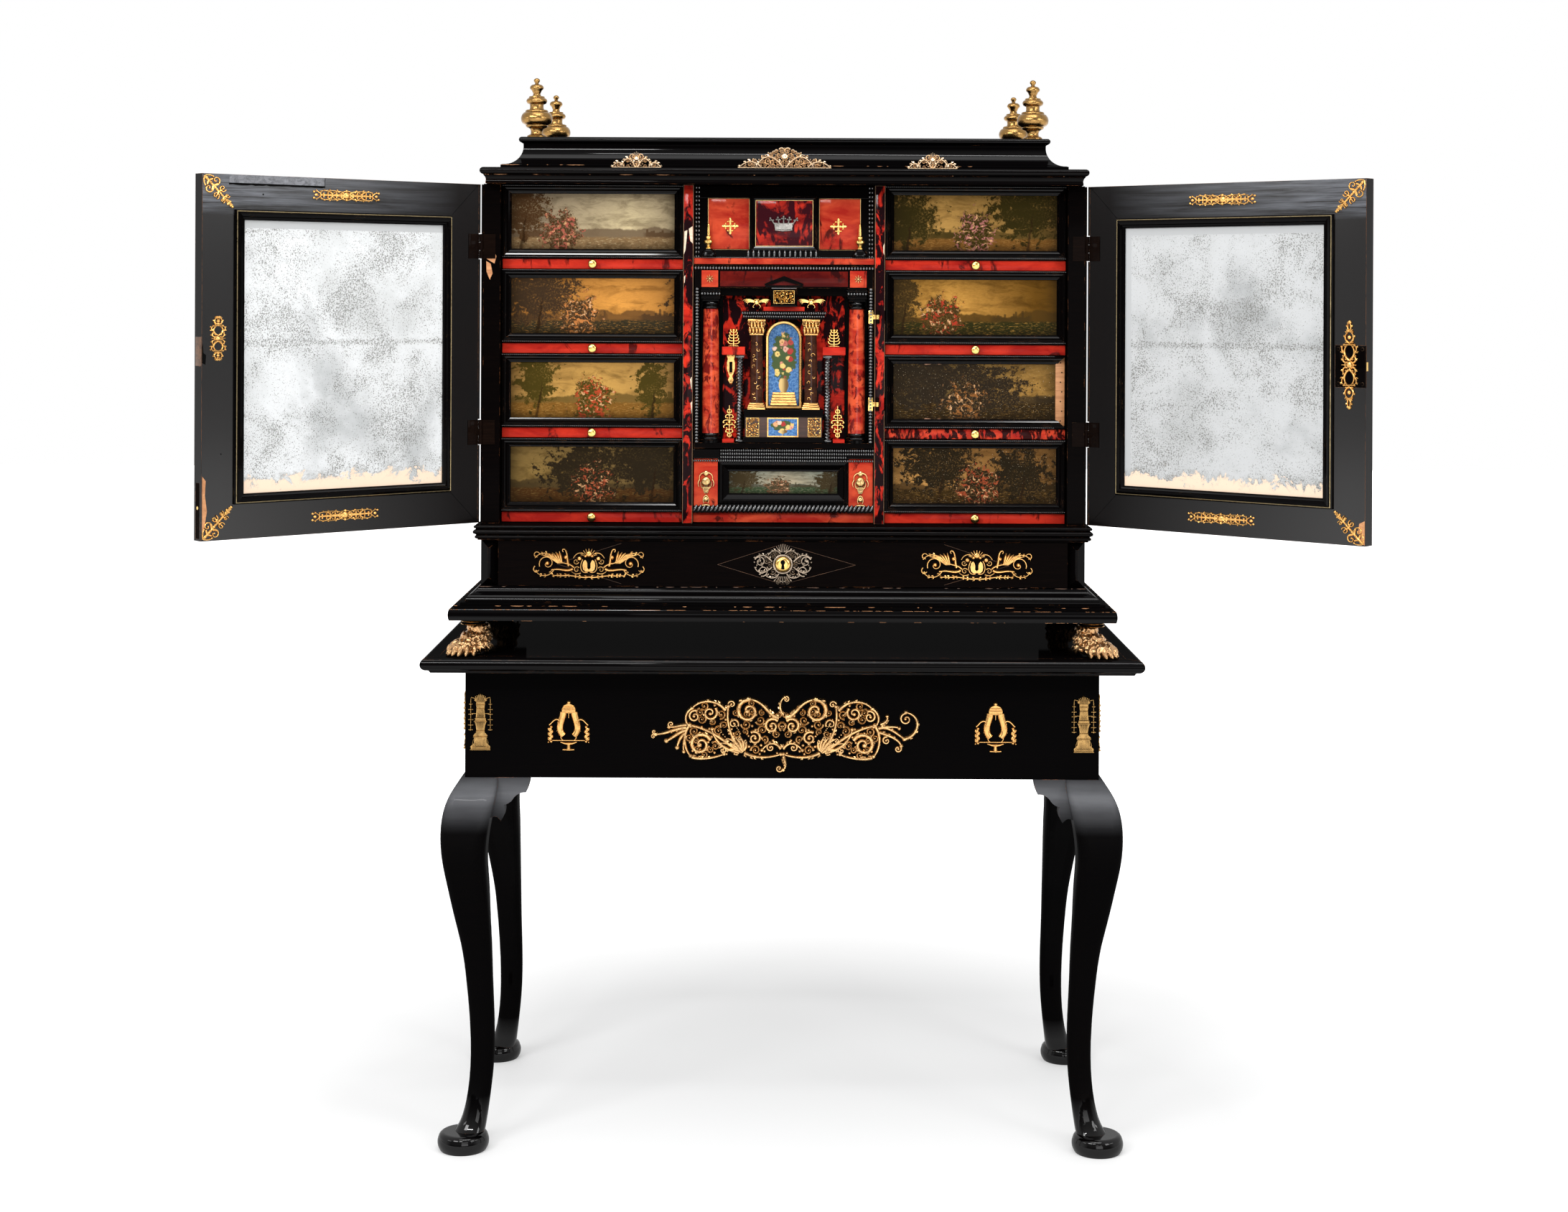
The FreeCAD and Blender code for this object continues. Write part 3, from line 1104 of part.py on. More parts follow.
def doors():
    x = (f"0 - {half_case}", "0 - meeting_gap / 2")
    z = (f"{case_z} + door_play", f"{cornice_z} - door_play")
    face, skin = "(0 - door_gap)", "(0 - door_gap - door_thick)"
    mirror_border = "(door_border + mirror_band)"
    mirror_x = (f"{x[0]} + {mirror_border}", f"{x[1]} - {mirror_border}")
    mirror_z = (f"{z[0]} + {mirror_border}", f"{z[1]} - {mirror_border}")
    recess = (f"{face} - mirror_thick", face)

    slab = board("leaf_board", x, (skin, face), z)
    hollow = board("leaf_recess", mirror_x, recess, mirror_z)
    leaf = cut("leaf", slab, hollow)
    glass = board("mirror_glass", mirror_x, recess, mirror_z)
    rim = picture_frame("mirror_rim", (f"{x[0]} + door_border", f"{x[1]} - door_border"),
                        (f"{z[0]} + door_border", f"{z[1]} - door_border"), "mirror_band", face,
                        f"{face} + mirror_proud", f"{face} + mirror_inner_proud")
    field = picture_frame("field_rim", (f"{x[0]} + field_border", f"{x[1]} - field_border"),
                          (f"{z[0]} + field_border", f"{z[1]} - field_border"), "field_band", skin,
                          f"{skin} - field_proud", f"{skin} - field_proud / 2")
    fixed, moving = door_hinges()
    partition_halves, door_halves = portico_hinges()
    node("case_hinges", [pair(piece) for piece in fixed], case_lid_hinges(), partition_halves)

    mount_y = (face, f"{face} + door_mount_thick")
    middle = f"(({x[0]}) + ({x[1]})) / 2"
    margin = "(door_border / 2)"
    mounts = []
    for name, level in (("foot", f"{z[0]} + {margin}"), ("head", f"{z[1]} - {margin}")):
        mounts.append(flat_mount(f"{name}_rail_mount", bail_mount_shares, "rail_mount_width",
                                 "rail_mount_height",
                                 middle, *mount_y, f"{level} - rail_mount_height / 2"))
    for name, level, way in (("foot", z[0], 1), ("head", z[1], -1)):
        corner = [(x[1], level, 0), (x[1], f"{level} + ({way}) * corner_mount / 2", 0),
                  (f"{x[1]} - corner_mount", f"{level} + ({way}) * corner_mount", 0),
                  (f"{x[1]} - corner_mount / 2", level, 0)]
        mounts.append(padded(f"{name}_corner_mount", "XZ_Plane", corner, *mount_y))
    stile = flat_mount("stile_mount", bail_mount_shares, "side_mount_width", "side_mount_height",
                       f"{x[1]} - {margin}", *mount_y, f"{z[0]} + case_height / 2 - side_mount_lift")

    bolt_x, bolt_y = f"({x[1]} - bolt_inset)", f"({face} - door_thick / 2)"
    bore = rod("leaf_bolt_bore", "bolt_radius + bolt_play", "bolt_rest + bolt_length + bolt_travel", bolt_x,
               bolt_y, z[0])
    slot_z = (f"{z[0]} + bolt_slot_lift - bolt_slot_height / 2",
              f"{z[0]} + bolt_slot_lift + bolt_slot_height / 2")
    slot_y = (f"{bolt_y} - bolt_slot_width / 2", f"{bolt_y} + bolt_slot_width / 2")
    slot = board("leaf_bolt_slot", (bolt_x, x[1]), slot_y, slot_z)
    plate_z = (f"{z[0]} + bolt_plate_lift", f"{z[0]} + bolt_plate_lift + bolt_plate_height")
    plate_y = (f"{bolt_y} - bolt_plate_width / 2", f"{bolt_y} + bolt_plate_width / 2")
    bed = board("leaf_plate_bed", (f"{x[1]} - leaf_thick", x[1]), plate_y, plate_z)
    plate = board("bolt_plate_whole", (f"{x[1]} - leaf_thick", x[1]), plate_y, plate_z)
    bolt_plate = cut("bolt_plate", plate, slot)
    lock_z = f"({z[0]} + lock_lift + lock_height / 2)"
    strike = board("leaf_strike", (f"{x[1]} - strike_depth", x[1]),
                   (f"{face} - lock_thick - lock_bolt_play - lock_bolt_thick - lock_bolt_play",
                    f"{face} - lock_thick"),
                   (f"{lock_z} - lock_bolt_height / 2 - lock_bolt_play",
                    f"{lock_z} + lock_bolt_height / 2 + lock_bolt_play"))
    left_leaf = cut("left_leaf", leaf, bore, slot, bed, strike)
    rod_whole = rod("bolt_rod", "bolt_radius", "bolt_length", bolt_x, bolt_y, f"{z[0]} + bolt_rest")
    thumb_z = f"{slot_z[1]} - bolt_slot_width / 2 - bolt_play"
    thumb = rod("bolt_thumb", "bolt_slot_width / 2 - bolt_play", "bolt_inset + bolt_knob_proud", bolt_x,
                bolt_y,
                thumb_z, (1, 0, 0))
    bolt = joined("bolt_whole", rod_whole, thumb)

    groups = [
        (node("door_left_leaf", left_leaf), "left"),
        (node("door_left_mirror", glass), "left"),
        (node("door_left_mouldings", rim, field), "left"),
        (node("door_left_brass", mounts, stile, bolt_plate, moving), "left"),
        (node("flush_bolt", bolt), "left"),
    ]
    cover_x = (f"{x[1]} - lock_width", x[1])
    cover_z = (f"{lock_z} - lock_height / 2", f"{lock_z} + lock_height / 2")
    bed = board("leaf_lock_bed", cover_x, (f"{face} - lock_thick", face), cover_z)
    throat = board("leaf_lock_throat", (f"{x[1]} - lock_bolt_length - lock_bolt_play", x[1]),
                   (f"{face} - lock_thick - lock_bolt_play - lock_bolt_thick", f"{face} - lock_thick"),
                   (f"{lock_z} - lock_bolt_height / 2 - lock_bolt_play / 2",
                    f"{lock_z} + lock_bolt_height / 2 + lock_bolt_play / 2"))
    right_leaf = mirrored(cut("right_leaf", leaf, bed, throat))
    cover = board("lock_cover", cover_x, (f"{face} - lock_thick", face), cover_z)
    tongue = board("lock_tongue", (f"{x[1]} - lock_bolt_length", x[1]),
                   (f"{face} - lock_thick - lock_bolt_play / 2 - lock_bolt_thick",
                    f"{face} - lock_thick - lock_bolt_play / 2"),
                   (f"{lock_z} - lock_bolt_height / 2", f"{lock_z} + lock_bolt_height / 2"))
    upper = flat_mount("lock_mount", bail_mount_shares, "side_mount_width", "side_mount_height / 2",
                       f"{x[1]} - {margin}", *mount_y, f"{cover_z[1]} + side_mount_width / 4")
    groups += [
        (node("door_right_leaf", right_leaf), "right"),
        (node("door_right_mirror", mirrored(glass)), "right"),
        (node("door_right_mouldings", [mirrored(piece) for piece in rim + field]), "right"),
        (node("door_right_brass", [mirrored(piece) for piece in mounts + [upper, cover] + moving]), "right"),
        (node("lock_bolt", mirrored(tongue)), "right"),
    ]
    for group, side in groups:
        hang(group, side)
    return door_halves


def case_lid_hinges():
    knuckles = []
    y, z = "(case_depth + knuckle_radius + leaf_thick)", f"({lid_z} + lid_play / 2)"
    for i, way in enumerate((-1, 1)):
        start = f"({way}) * lid_hinge_place"
        pin = rod(f"lid_pin_{i}", "pin_radius", "lid_hinge_length", f"{start} - lid_hinge_length / 2", y, z,
                  (1, 0, 0))
        reach = "(lid_hinge_length / 3 - knuckle_play)"
        outer = [rod(f"lid_case_knuckle_{i}_{j}", "knuckle_radius", reach,
                     f"{start} + ({place_share}) * lid_hinge_length", y, z, (1, 0, 0))
                 for j, place_share in enumerate(("0 - 1 / 2", "1 / 6 + knuckle_play / lid_hinge_length"))]
        flaps = [board(f"lid_case_flap_{i}_{j}",
                       (f"{start} + ({place_share}) * lid_hinge_length",
                        f"{start} + ({place_share}) * lid_hinge_length + {reach}"),
                       ("case_depth", "case_depth + leaf_thick + knuckle_radius"),
                       (f"{z} - leaf_width", f"{z} - knuckle_radius / 2"))
                 for j, place_share in enumerate(("0 - 1 / 2", "1 / 6 + knuckle_play / lid_hinge_length"))]
        thin = [board(f"lid_case_leaf_{i}",
                      (f"{start} - lid_hinge_length / 2", f"{start} + lid_hinge_length / 2"),
                      ("case_depth", "case_depth + leaf_thick"),
                      (f"{z} - leaf_width", f"{z} - knuckle_radius"))]
        knuckles.append(joined(f"lid_case_hinge_{i}", pin, *outer, *flaps, *thin))
    return knuckles


def lid():
    half, front = "lid_half", "lid_front"
    level = f"({lid_z} + lid_play)"
    rise = "(lid_rise - lid_play)"
    runs = mitred("lid_run", lid_shares, "lid_out", rise, level, half, front, "case_depth", "lid_wall")
    inner = f"({half} - lid_wall)"
    back = board("lid_back", (f"0 - {inner}", inner), (inner_back, "case_depth"),
                 (level, f"{lid_top} - lid_panel"))
    panel = board("lid_panel", (f"0 - {inner}", inner), (f"{front} + lid_wall", "case_depth"),
                  (f"{lid_top} - lid_panel", lid_top))
    node("lid_shell", runs, back, panel)

    finials = []
    for name, y in (("front", f"{front} + finial_front"), ("back", "case_depth - finial_back")):
        finials += pair(turned(f"{name}_finial", finial_shares, "finial_radius", "finial_height",
                               f"0 - {half} + finial_inset", y, lid_top))
    face = f"({front} - lid_out)"
    crest = flat_mount("lid_crest", crest_shares, "lid_mount_width", "lid_mount_height", "0",
                       f"{face} - mount_thick",
                       face, level)
    flank = flat_mount("lid_flank", lid_side_shares, "lid_side_mount_width", "lid_mount_height",
                       "0 - lid_mount_place",
                       f"{face} - mount_thick", face, level)

    y, z = "(case_depth + knuckle_radius + leaf_thick)", f"({lid_z} + lid_play / 2)"
    movers = []
    for i, way in enumerate((-1, 1)):
        start = f"({way}) * lid_hinge_place"
        span = (f"{start} - lid_hinge_length / 6 + knuckle_play / 2",
                f"{start} + lid_hinge_length / 6 - knuckle_play / 2")
        barrel = rod(f"lid_knuckle_{i}", "knuckle_radius", f"({span[1]}) - ({span[0]})", span[0], y, z,
                     (1, 0, 0))
        flap = board(f"lid_flap_{i}", span, ("case_depth", "case_depth + leaf_thick + knuckle_radius"),
                     (f"{z} + knuckle_radius / 2", f"{z} + leaf_width"))
        bore = rod(f"lid_bore_{i}", "pin_radius + pin_play", f"({span[1]}) - ({span[0]})", span[0], y, z,
                   (1, 0, 0))
        movers.append(cut(f"lid_hinge_{i}", joined(f"lid_hinge_whole_{i}", barrel, flap), bore))
    node("lid_brass", finials, movers)
    node("lid_mounts", crest, pair(flank))


def portico_door(hinge_halves):
    """The small door in the middle, a columned front on a bevelled plate."""
    half = f"({half_middle} - portico_play)"
    face = "portico_set"
    low, high = f"({portico_z} + portico_gap)", f"({attic_z} - portico_gap)"
    plate = wedge("portico_plate_board", "y", (face, f"{face} + portico_plate"),
                  ((f"0 - {half}", half), (low, high)),
                  ((f"portico_bevel - {half}", f"{half} - portico_bevel"), (low, high)))
    wide = (f"0 - {half}", half)
    base_top = f"({low} + portico_base_height)"
    beam = f"({high} - entablature_height)"
    foot = board("portico_base_board", wide, (f"{face} - portico_base_proud", face), (low, base_top))
    head = board("entablature", wide, (f"{face} - entablature_proud", face), (beam, high))
    stile = board("portico_stile", (f"0 - {half}", f"stile_width - {half}"),
                  ("partition_set - stile_gap", face),
                  (base_top, beam))
    cap_x = f"(column_place - capital_size / 2)"
    architrave = board("architrave", (f"0 - {cap_x}", cap_x), (f"{face} - architrave_proud", face),
                       (f"{beam} - architrave_height", beam))
    node("portico_frame", plate, foot, head, pair(stile), architrave)

    capital_foot = f"({beam} - capital_height)"
    column = turned("portico_column", column_shares, "column_radius", f"({capital_foot} - {base_top})",
                    "0 - column_place", "column_set", base_top)
    capital = board("portico_capital",
                    ("0 - column_place - capital_size / 2", "capital_size / 2 - column_place"),
                    ("column_set - capital_size / 2", "column_set + capital_size / 2"), (capital_foot, beam))
    step_top = f"({base_top} + pedestal_height + step_height)"
    hood = f"({low} + hood_lift)"
    half_foot, half_head = f"({step_top} + half_base_height)", f"({hood} - half_capital_height)"
    shaft = turned("half_column", half_column_shares, "half_column_radius", f"({half_head} - {half_foot})",
                   "0 - half_column_place", "half_column_set", half_foot)
    cube = "half_capital_width / 2"
    cube_x = (f"0 - half_column_place - {cube}", f"{cube} - half_column_place")
    cube_y = (f"half_column_set - {cube}", f"half_column_set + {cube}")
    half_base = board("half_base", cube_x, cube_y, (step_top, half_foot))
    half_capital = board("half_capital", cube_x, cube_y, (half_head, hood))
    bracket = f"({low} + bracket_block_lift)"
    twist = turned("twisted_column", twist_shares, "twist_radius", f"({bracket} - {base_top})",
                   "0 - twist_place", "twist_set", base_top)
    node("portico_columns", pair(column), pair(capital), pair(shaft), pair(half_base), pair(half_capital),
         pair(twist))

    middle = "pedestal_width / 2"
    pedestal = board("pedestal", (f"0 - {middle}", middle), (f"{face} - pedestal_proud", face),
                     (base_top, f"{base_top} + pedestal_height"))
    step = board("pedestal_top", (f"0 - {middle}", middle), (f"{face} - step_proud", face),
                 (f"{base_top} + pedestal_height", step_top))
    roof = board("hood", ("0 - hood_width / 2", "hood_width / 2"), (f"{face} - hood_proud", face),
                 (hood, f"{hood} + hood_height"))
    tablet = board("tablet", ("0 - tablet_width / 2", "tablet_width / 2"), (f"{face} - tablet_proud", face),
                   (f"{hood} + hood_height", f"{beam} - architrave_height"))
    gable = padded("gable", "XZ_Plane",
                   [("0 - gable_width / 2", f"{beam} - architrave_height", 0),
                    ("gable_width / 2", f"{beam} - architrave_height", 0),
                    ("0", f"{beam} - architrave_height + gable_height", 0)],
                   f"{face} - architrave_proud - gable_proud", f"{face} - architrave_proud")
    rim = "niche_width / 2"
    spring = f"({step_top} + niche_height - {rim})"
    pane = padded("niche_arch", "XZ_Plane",
                  [(f"0 - {rim}", step_top, 0), (rim, step_top, 0), (rim, spring, half_bow_share),
                   (f"0 - {rim}", spring, 0)], f"{face} - niche_proud", face)
    block = board("foot_block", ("0 - twist_place - bracket_block_width + twist_radius * 2",
                                 f"0 - twist_place - twist_radius * {twist_foot_share}"),
                  (f"{face} - pedestal_proud", face), (base_top, f"{base_top} + niche_rim"))
    arm = board("bracket_block", (f"0 - twist_place - bracket_block_width + twist_radius * {twist_foot_share}",
                                  f"0 - twist_place + twist_radius * {twist_foot_share}"),
                ("twist_set - twist_radius * 2", face), (bracket, f"{bracket} + bracket_block_height"))
    node("portico_aedicule", pedestal, step, roof, tablet, gable, pane, pair(block), pair(arm))

    skin = (f"{face} - ornament_thick", face)
    perch = f"({hood} + hood_height)"
    wing = flat_mount("wing", bail_mount_shares, "wing_width", "wing_height", "0 - half_column_place",
                      *skin, perch)
    palmette = flat_mount("palmette", urn_shares, "palmette_width", "palmette_height", "0 - ornament_place",
                          *skin,
                          f"{bracket} + bracket_block_height")
    keyplate = flat_mount("keyplate", bail_mount_shares, "keyplate_width", "keyplate_height",
                          "0 - ornament_place", *skin, f"{low} + keyplate_lift")
    drop = flat_mount("drop", urn_shares, "drop_width", "drop_height", "0 - ornament_place", *skin,
                      f"{base_top} + niche_rim")
    node("portico_brass", pair(wing), pair(palmette), keyplate, pair(drop), hinge_halves)


stand()
frieze_mounts()
paw_feet()
base()
long_drawer()
handles()
case()
small_drawers()
attic_drawer()
plinth_drawer()
portico_door(doors())
lid()
doc.recompute()

faults = [item.Name for item in doc.Objects if "Invalid" in item.State or "Error" in item.State]
faults += [group.Label for group in nodes if group.Shape.isNull() or not group.Shape.isValid()]
if faults:
    raise SystemExit("faulty objects: " + ", ".join(faults))

whole = FreeCAD.BoundBox()
for group in nodes:
    whole.add(group.Shape.optimalBoundingBox(False, False))
shift = FreeCAD.Vector(-(whole.XMin + whole.XMax) / 2, -(whole.YMin + whole.YMax) / 2, -whole.ZMin)
os.makedirs("parts", exist_ok=True)
for group in nodes:
    moved = group.Shape.copy()
    moved.translate(shift)
    moved.exportStep(f"parts/{group.Label}.step")
print("nodes", len(nodes), "size", whole.XLength, whole.YLength, whole.ZLength)
print("shift", shift.x, shift.y, shift.z)
for label, x, y, z in (
    ("door_pin", pin_x, pin_y, case_z), ("small_pin", f"{half_middle} + small_pin_out",
     "partition_set - small_pin_lead", portico_z),
    ("lid_pin", "0", "case_depth + knuckle_radius + leaf_thick", f"{lid_z} + lid_play / 2"),
    ("handle_pin", f"{half_case} + handle_stand", "case_depth / 2", f"{waist_z} - handle_level"),
):
    print(label, value(x) + shift.x, value(y) + shift.y, value(z) + shift.z)
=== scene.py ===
import bpy
import bmesh
import math
import random
from mathutils import Matrix, Vector


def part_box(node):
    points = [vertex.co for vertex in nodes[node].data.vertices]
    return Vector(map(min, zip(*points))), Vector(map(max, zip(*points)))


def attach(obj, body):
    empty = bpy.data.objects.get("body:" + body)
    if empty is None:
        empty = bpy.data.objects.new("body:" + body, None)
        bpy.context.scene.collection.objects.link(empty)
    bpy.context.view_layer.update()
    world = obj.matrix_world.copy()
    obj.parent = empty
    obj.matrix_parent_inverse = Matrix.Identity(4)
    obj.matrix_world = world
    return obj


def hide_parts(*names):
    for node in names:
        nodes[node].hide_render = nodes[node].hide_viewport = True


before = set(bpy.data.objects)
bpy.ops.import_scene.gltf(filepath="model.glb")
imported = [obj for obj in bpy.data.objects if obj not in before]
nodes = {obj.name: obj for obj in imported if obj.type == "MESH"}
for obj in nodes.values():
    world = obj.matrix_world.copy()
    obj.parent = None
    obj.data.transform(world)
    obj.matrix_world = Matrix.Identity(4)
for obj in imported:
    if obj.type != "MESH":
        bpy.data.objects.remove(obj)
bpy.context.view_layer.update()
mm = 0.001
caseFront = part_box("case_sides")[0].y  # the plane of the case's front edges
socketKinds = {"float": "NodeSocketFloat", "color": "NodeSocketColor", "vector": "NodeSocketVector"}


def at(x, y, z):  # millimetres, y counted from the case's front edges
    return Vector((x * mm, caseFront + y * mm, z * mm))


def span(node):  # a CAD node's box in the same millimetres
    low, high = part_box(node)
    shift = Vector((0, caseFront, 0))
    return (low - shift) / mm, (high - shift) / mm


def fill(node, inputs):  # sockets are linked, and plain values are set
    for key, given in inputs.items():
        if isinstance(given, bpy.types.NodeSocket):
            node.id_data.links.new(given, node.inputs[key])
        else:
            node.inputs[key].default_value = given


def addNode(tree, kind, inputs=None, **settings):
    node = tree.nodes.new(kind)
    for key, setting in settings.items():
        setattr(node, key, setting)
    fill(node, inputs or {})
    return node


def solid(color):  # a plain colour gets its alpha
    return (*color, 1) if isinstance(color, tuple) else color


def treeOf(*given):  # the node tree that the first socket among these belongs to
    return next(value.id_data for value in given if isinstance(value, bpy.types.NodeSocket))


def calc(operation):
    def make(a, b=0.0, clamp=False):
        inputs = {0: a, 1: b, 2: 0.0}
        return addNode(treeOf(a, b), "ShaderNodeMath", inputs, operation=operation, use_clamp=clamp).outputs[0]
    return make


times, plus, less, over, raised = map(calc, ("MULTIPLY", "ADD", "SUBTRACT", "DIVIDE", "POWER"))
larger, smaller, root, unsigned, floored, sine = map(calc, (
    "MAXIMUM", "MINIMUM", "SQRT", "ABSOLUTE", "FLOOR", "SINE"))


def blend(factor, a, b, mode="MIX"):
    inputs = {0: factor, 6: solid(a), 7: solid(b)}
    return addNode(treeOf(factor, a, b), "ShaderNodeMix", inputs, data_type="RGBA", blend_type=mode).outputs[2]


def steps(factor, stops, smooth=True):
    node = addNode(factor.id_data, "ShaderNodeValToRGB", {"Fac": factor})
    node.color_ramp.interpolation = "EASE" if smooth else "LINEAR"
    while len(node.color_ramp.elements) < len(stops):
        node.color_ramp.elements.new(0.5)
    for element, (place, color) in zip(node.color_ramp.elements, stops):
        element.position = place
        element.color = (*color, 1) if isinstance(color, tuple) else (color, color, color, 1)
    return node.outputs["Color"]


def noise(vector, scale, detail=4.0, roughness=0.55, distortion=0.0):
    inputs = {"Vector": vector, "Scale": scale, "Detail": detail, "Roughness": roughness, "Distortion": distortion}
    return addNode(vector.id_data, "ShaderNodeTexNoise", inputs).outputs["Fac"]


def stretched(vector, scale, turn=(0, 0, 0), move=(0, 0, 0)):
    inputs = {"Vector": vector, "Location": move, "Rotation": turn, "Scale": scale}
    return addNode(vector.id_data, "ShaderNodeMapping", inputs).outputs["Vector"]


def split(vector):
    return addNode(vector.id_data, "ShaderNodeSeparateXYZ", {0: vector}).outputs


def combine(x, y, z):
    return addNode(treeOf(x, y, z), "ShaderNodeCombineXYZ", {0: x, 1: y, 2: z}).outputs[0]


def shaderGroup(name, inputs, outputs):
    tree = bpy.data.node_groups.new(name, "ShaderNodeTree")
    for label, (kind, default) in inputs.items():
        socket = tree.interface.new_socket(label, in_out="INPUT", socket_type=socketKinds[kind])
        if default is not None:
            socket.default_value = default
    for label, kind in outputs.items():
        tree.interface.new_socket(label, in_out="OUTPUT", socket_type=socketKinds[kind])
    return tree, tree.nodes.new("NodeGroupInput").outputs, tree.nodes.new("NodeGroupOutput").inputs


def give(out, **links):  # the results of a group
    for key, socket in links.items():
        socket.id_data.links.new(socket, out[key])


def useGroup(group, inputs):
    node = treeOf(*inputs.values()).nodes.new("ShaderNodeGroup")
    node.node_tree = group
    fill(node, inputs)
    return node.outputs


def newMaterial(name, **sockets):
    material = bpy.data.materials.new(name)
    material.use_nodes = True
    tree = material.node_tree
    shader = tree.nodes["Principled BSDF"]
    for key, setting in sockets.items():
        shader.inputs[key.replace("_", " ")].default_value = setting
    place = tree.nodes.new("ShaderNodeTexCoord")
    return material, tree, shader, place.outputs["Object"]


def feed(shader, **links):
    for key, socket in links.items():
        shader.id_data.links.new(socket, shader.inputs[key.replace("_", " ")])


def bump(shader, height, strength=0.3, distance=0.0005):
    tree = shader.id_data
    node = addNode(tree, "ShaderNodeBump", {"Height": height, "Strength": strength, "Distance": distance})
    tree.links.new(node.outputs["Normal"], shader.inputs["Normal"])


def edgeShift(tree, radius):  # how far the rounded normal leaves the true one: high along edges
    soft = addNode(tree, "ShaderNodeBevel", {"Radius": radius}, samples=4)
    hard = tree.nodes.new("ShaderNodeNewGeometry")
    dot = addNode(tree, "ShaderNodeVectorMath", {0: soft.outputs[0], 1: hard.outputs["Normal"]},
                  operation="DOT_PRODUCT")
    shift = less(0.925, dot.outputs["Value"], clamp=True)
    return times(shift, 2.0, clamp=True)


def hollows(tree, reach):  # how far a spot is shut in by what is around it
    node = addNode(tree, "ShaderNodeAmbientOcclusion", {"Distance": reach}, samples=6)
    return less(1.0, node.outputs["AO"], clamp=True)


def makeWearGroup():  # patches of rubbed-through colour along edges
    tree, given, out = shaderGroup("rubbedEdges", {
        "Vector": ("vector", None), "Edge": ("float", 0.0), "Amount": ("float", 0.5), "Scale": ("float", 60.0),
    }, {"Mask": "float"})
    rough = noise(given["Vector"], given["Scale"], 5, 0.65)
    fine = noise(given["Vector"], times(given["Scale"], 6.0), 3, 0.6)
    patch = plus(times(rough, 0.7), times(fine, 0.3))
    limit = less(1.0, times(given["Amount"], 0.62))
    edge = times(given["Edge"], 6.0, clamp=True)
    level = plus(patch, times(edge, 0.35))
    mask = times(less(level, limit), 14.0, clamp=True)
    give(out, Mask=times(mask, edge))
    return tree


def makeLacquerGroup():  # black polish over dark wood: slow tone changes, fine grain, small scratches
    tree, given, out = shaderGroup("blackPolish", {
        "Vector": ("vector", None), "Dark": ("color", (0.0009, 0.0009, 0.0011, 1)),
        "Warm": ("color", (0.009, 0.0045, 0.003, 1)),
        "Warmth": ("float", 0.4), "Gloss": ("float", 0.22),
    }, {"Color": "color", "Roughness": "float", "Height": "float"})
    long = stretched(given["Vector"], (4, 60, 60))
    grain = noise(long, 6.0, 6, 0.6, 0.3)
    cloud = noise(given["Vector"], 3.0, 4, 0.6, 0.4)
    tone = times(times(grain, cloud), given["Warmth"])
    tone = times(tone, 2.4, clamp=True)
    give(out, Color=blend(tone, given["Dark"], given["Warm"]))
    scratch = noise(stretched(given["Vector"], (3, 90, 220)), 9.0, 3, 0.7)
    line = times(less(scratch, 0.66), 5.0, clamp=True)
    rough = plus(given["Gloss"], times(cloud, 0.12))
    give(out, Roughness=plus(rough, times(line, 0.25)))
    ripple = noise(given["Vector"], 22.0, 3, 0.5)
    give(out, Height=plus(times(grain, 0.4), ripple))
    return tree


def makeShellGroup():  # tortoiseshell: red translucent ground with dark smoky flames
    tree, given, out = shaderGroup("tortoiseshell", {
        "Vector": ("vector", None), "Light": ("color", (0.62, 0.09, 0.03, 1)),
        "Deep": ("color", (0.30, 0.018, 0.012, 1)),
        "Smoke": ("color", (0.022, 0.006, 0.006, 1)), "Amount": ("float", 0.5), "Scale": ("float", 1.0),
    }, {"Color": "color", "Roughness": "float", "Height": "float"})
    sized = addNode(tree, "ShaderNodeVectorMath", {0: given["Vector"], 3: given["Scale"]},
                    operation="SCALE").outputs[0]
    slant = stretched(sized, (26, 26, 12), (0, 0.5, 0))
    flame = noise(slant, 1.4, 5, 0.58, 1.2)
    small = noise(stretched(sized, (90, 90, 36), (0, 0.6, 0)), 1.0, 4, 0.6, 0.8)
    fire = noise(stretched(sized, (14, 14, 30), (0, 0.4, 0)), 1.2, 5, 0.6, 0.6)
    ground = blend(times(less(fire, 0.38), 4.2, clamp=True), given["Deep"], given["Light"])
    level = plus(times(flame, 0.8), times(small, 0.2))
    limit = less(0.78, times(given["Amount"], 0.45))
    mask = times(less(level, limit), 18.0, clamp=True)
    give(out, Color=blend(mask, ground, given["Smoke"]), Roughness=plus(times(small, 0.12), 0.1), Height=small)
    return tree


def makeMetalGroup():  # gilding with tarnish patches, darker in its hollows (tarnish together with painted shade) and rubbed on top
    tree, given, out = shaderGroup("oldGilding", {
        "Vector": ("vector", None), "Edge": ("float", 0.0), "Bright": ("color", (0.85, 0.55, 0.20, 1)),
        "Dull": ("color", (0.16, 0.085, 0.035, 1)), "Tarnish": ("float", 0.4), "Hollow": ("float", 0.0),
    }, {"Color": "color", "Roughness": "float", "Height": "float"})
    patch = noise(given["Vector"], 120.0, 5, 0.65)
    fine = noise(given["Vector"], 700.0, 3, 0.6)
    level = plus(times(patch, 0.75), times(fine, 0.25))
    mask = times(less(level, less(0.86, given["Tarnish"])), 3.2, clamp=True)
    mask = less(mask, times(given["Edge"], 1.5), clamp=True)
    # shut-in spots take the dull colour: painted shade in the hollows, together with tarnish
    deep = times(less(given["Hollow"], 0.22), 3.0, clamp=True)
    mask = larger(mask, deep)
    give(out, Color=blend(mask, given["Bright"], given["Dull"]), Roughness=plus(0.24, times(mask, 0.34)),
         Height=plus(patch, times(fine, 0.5)))
    return tree


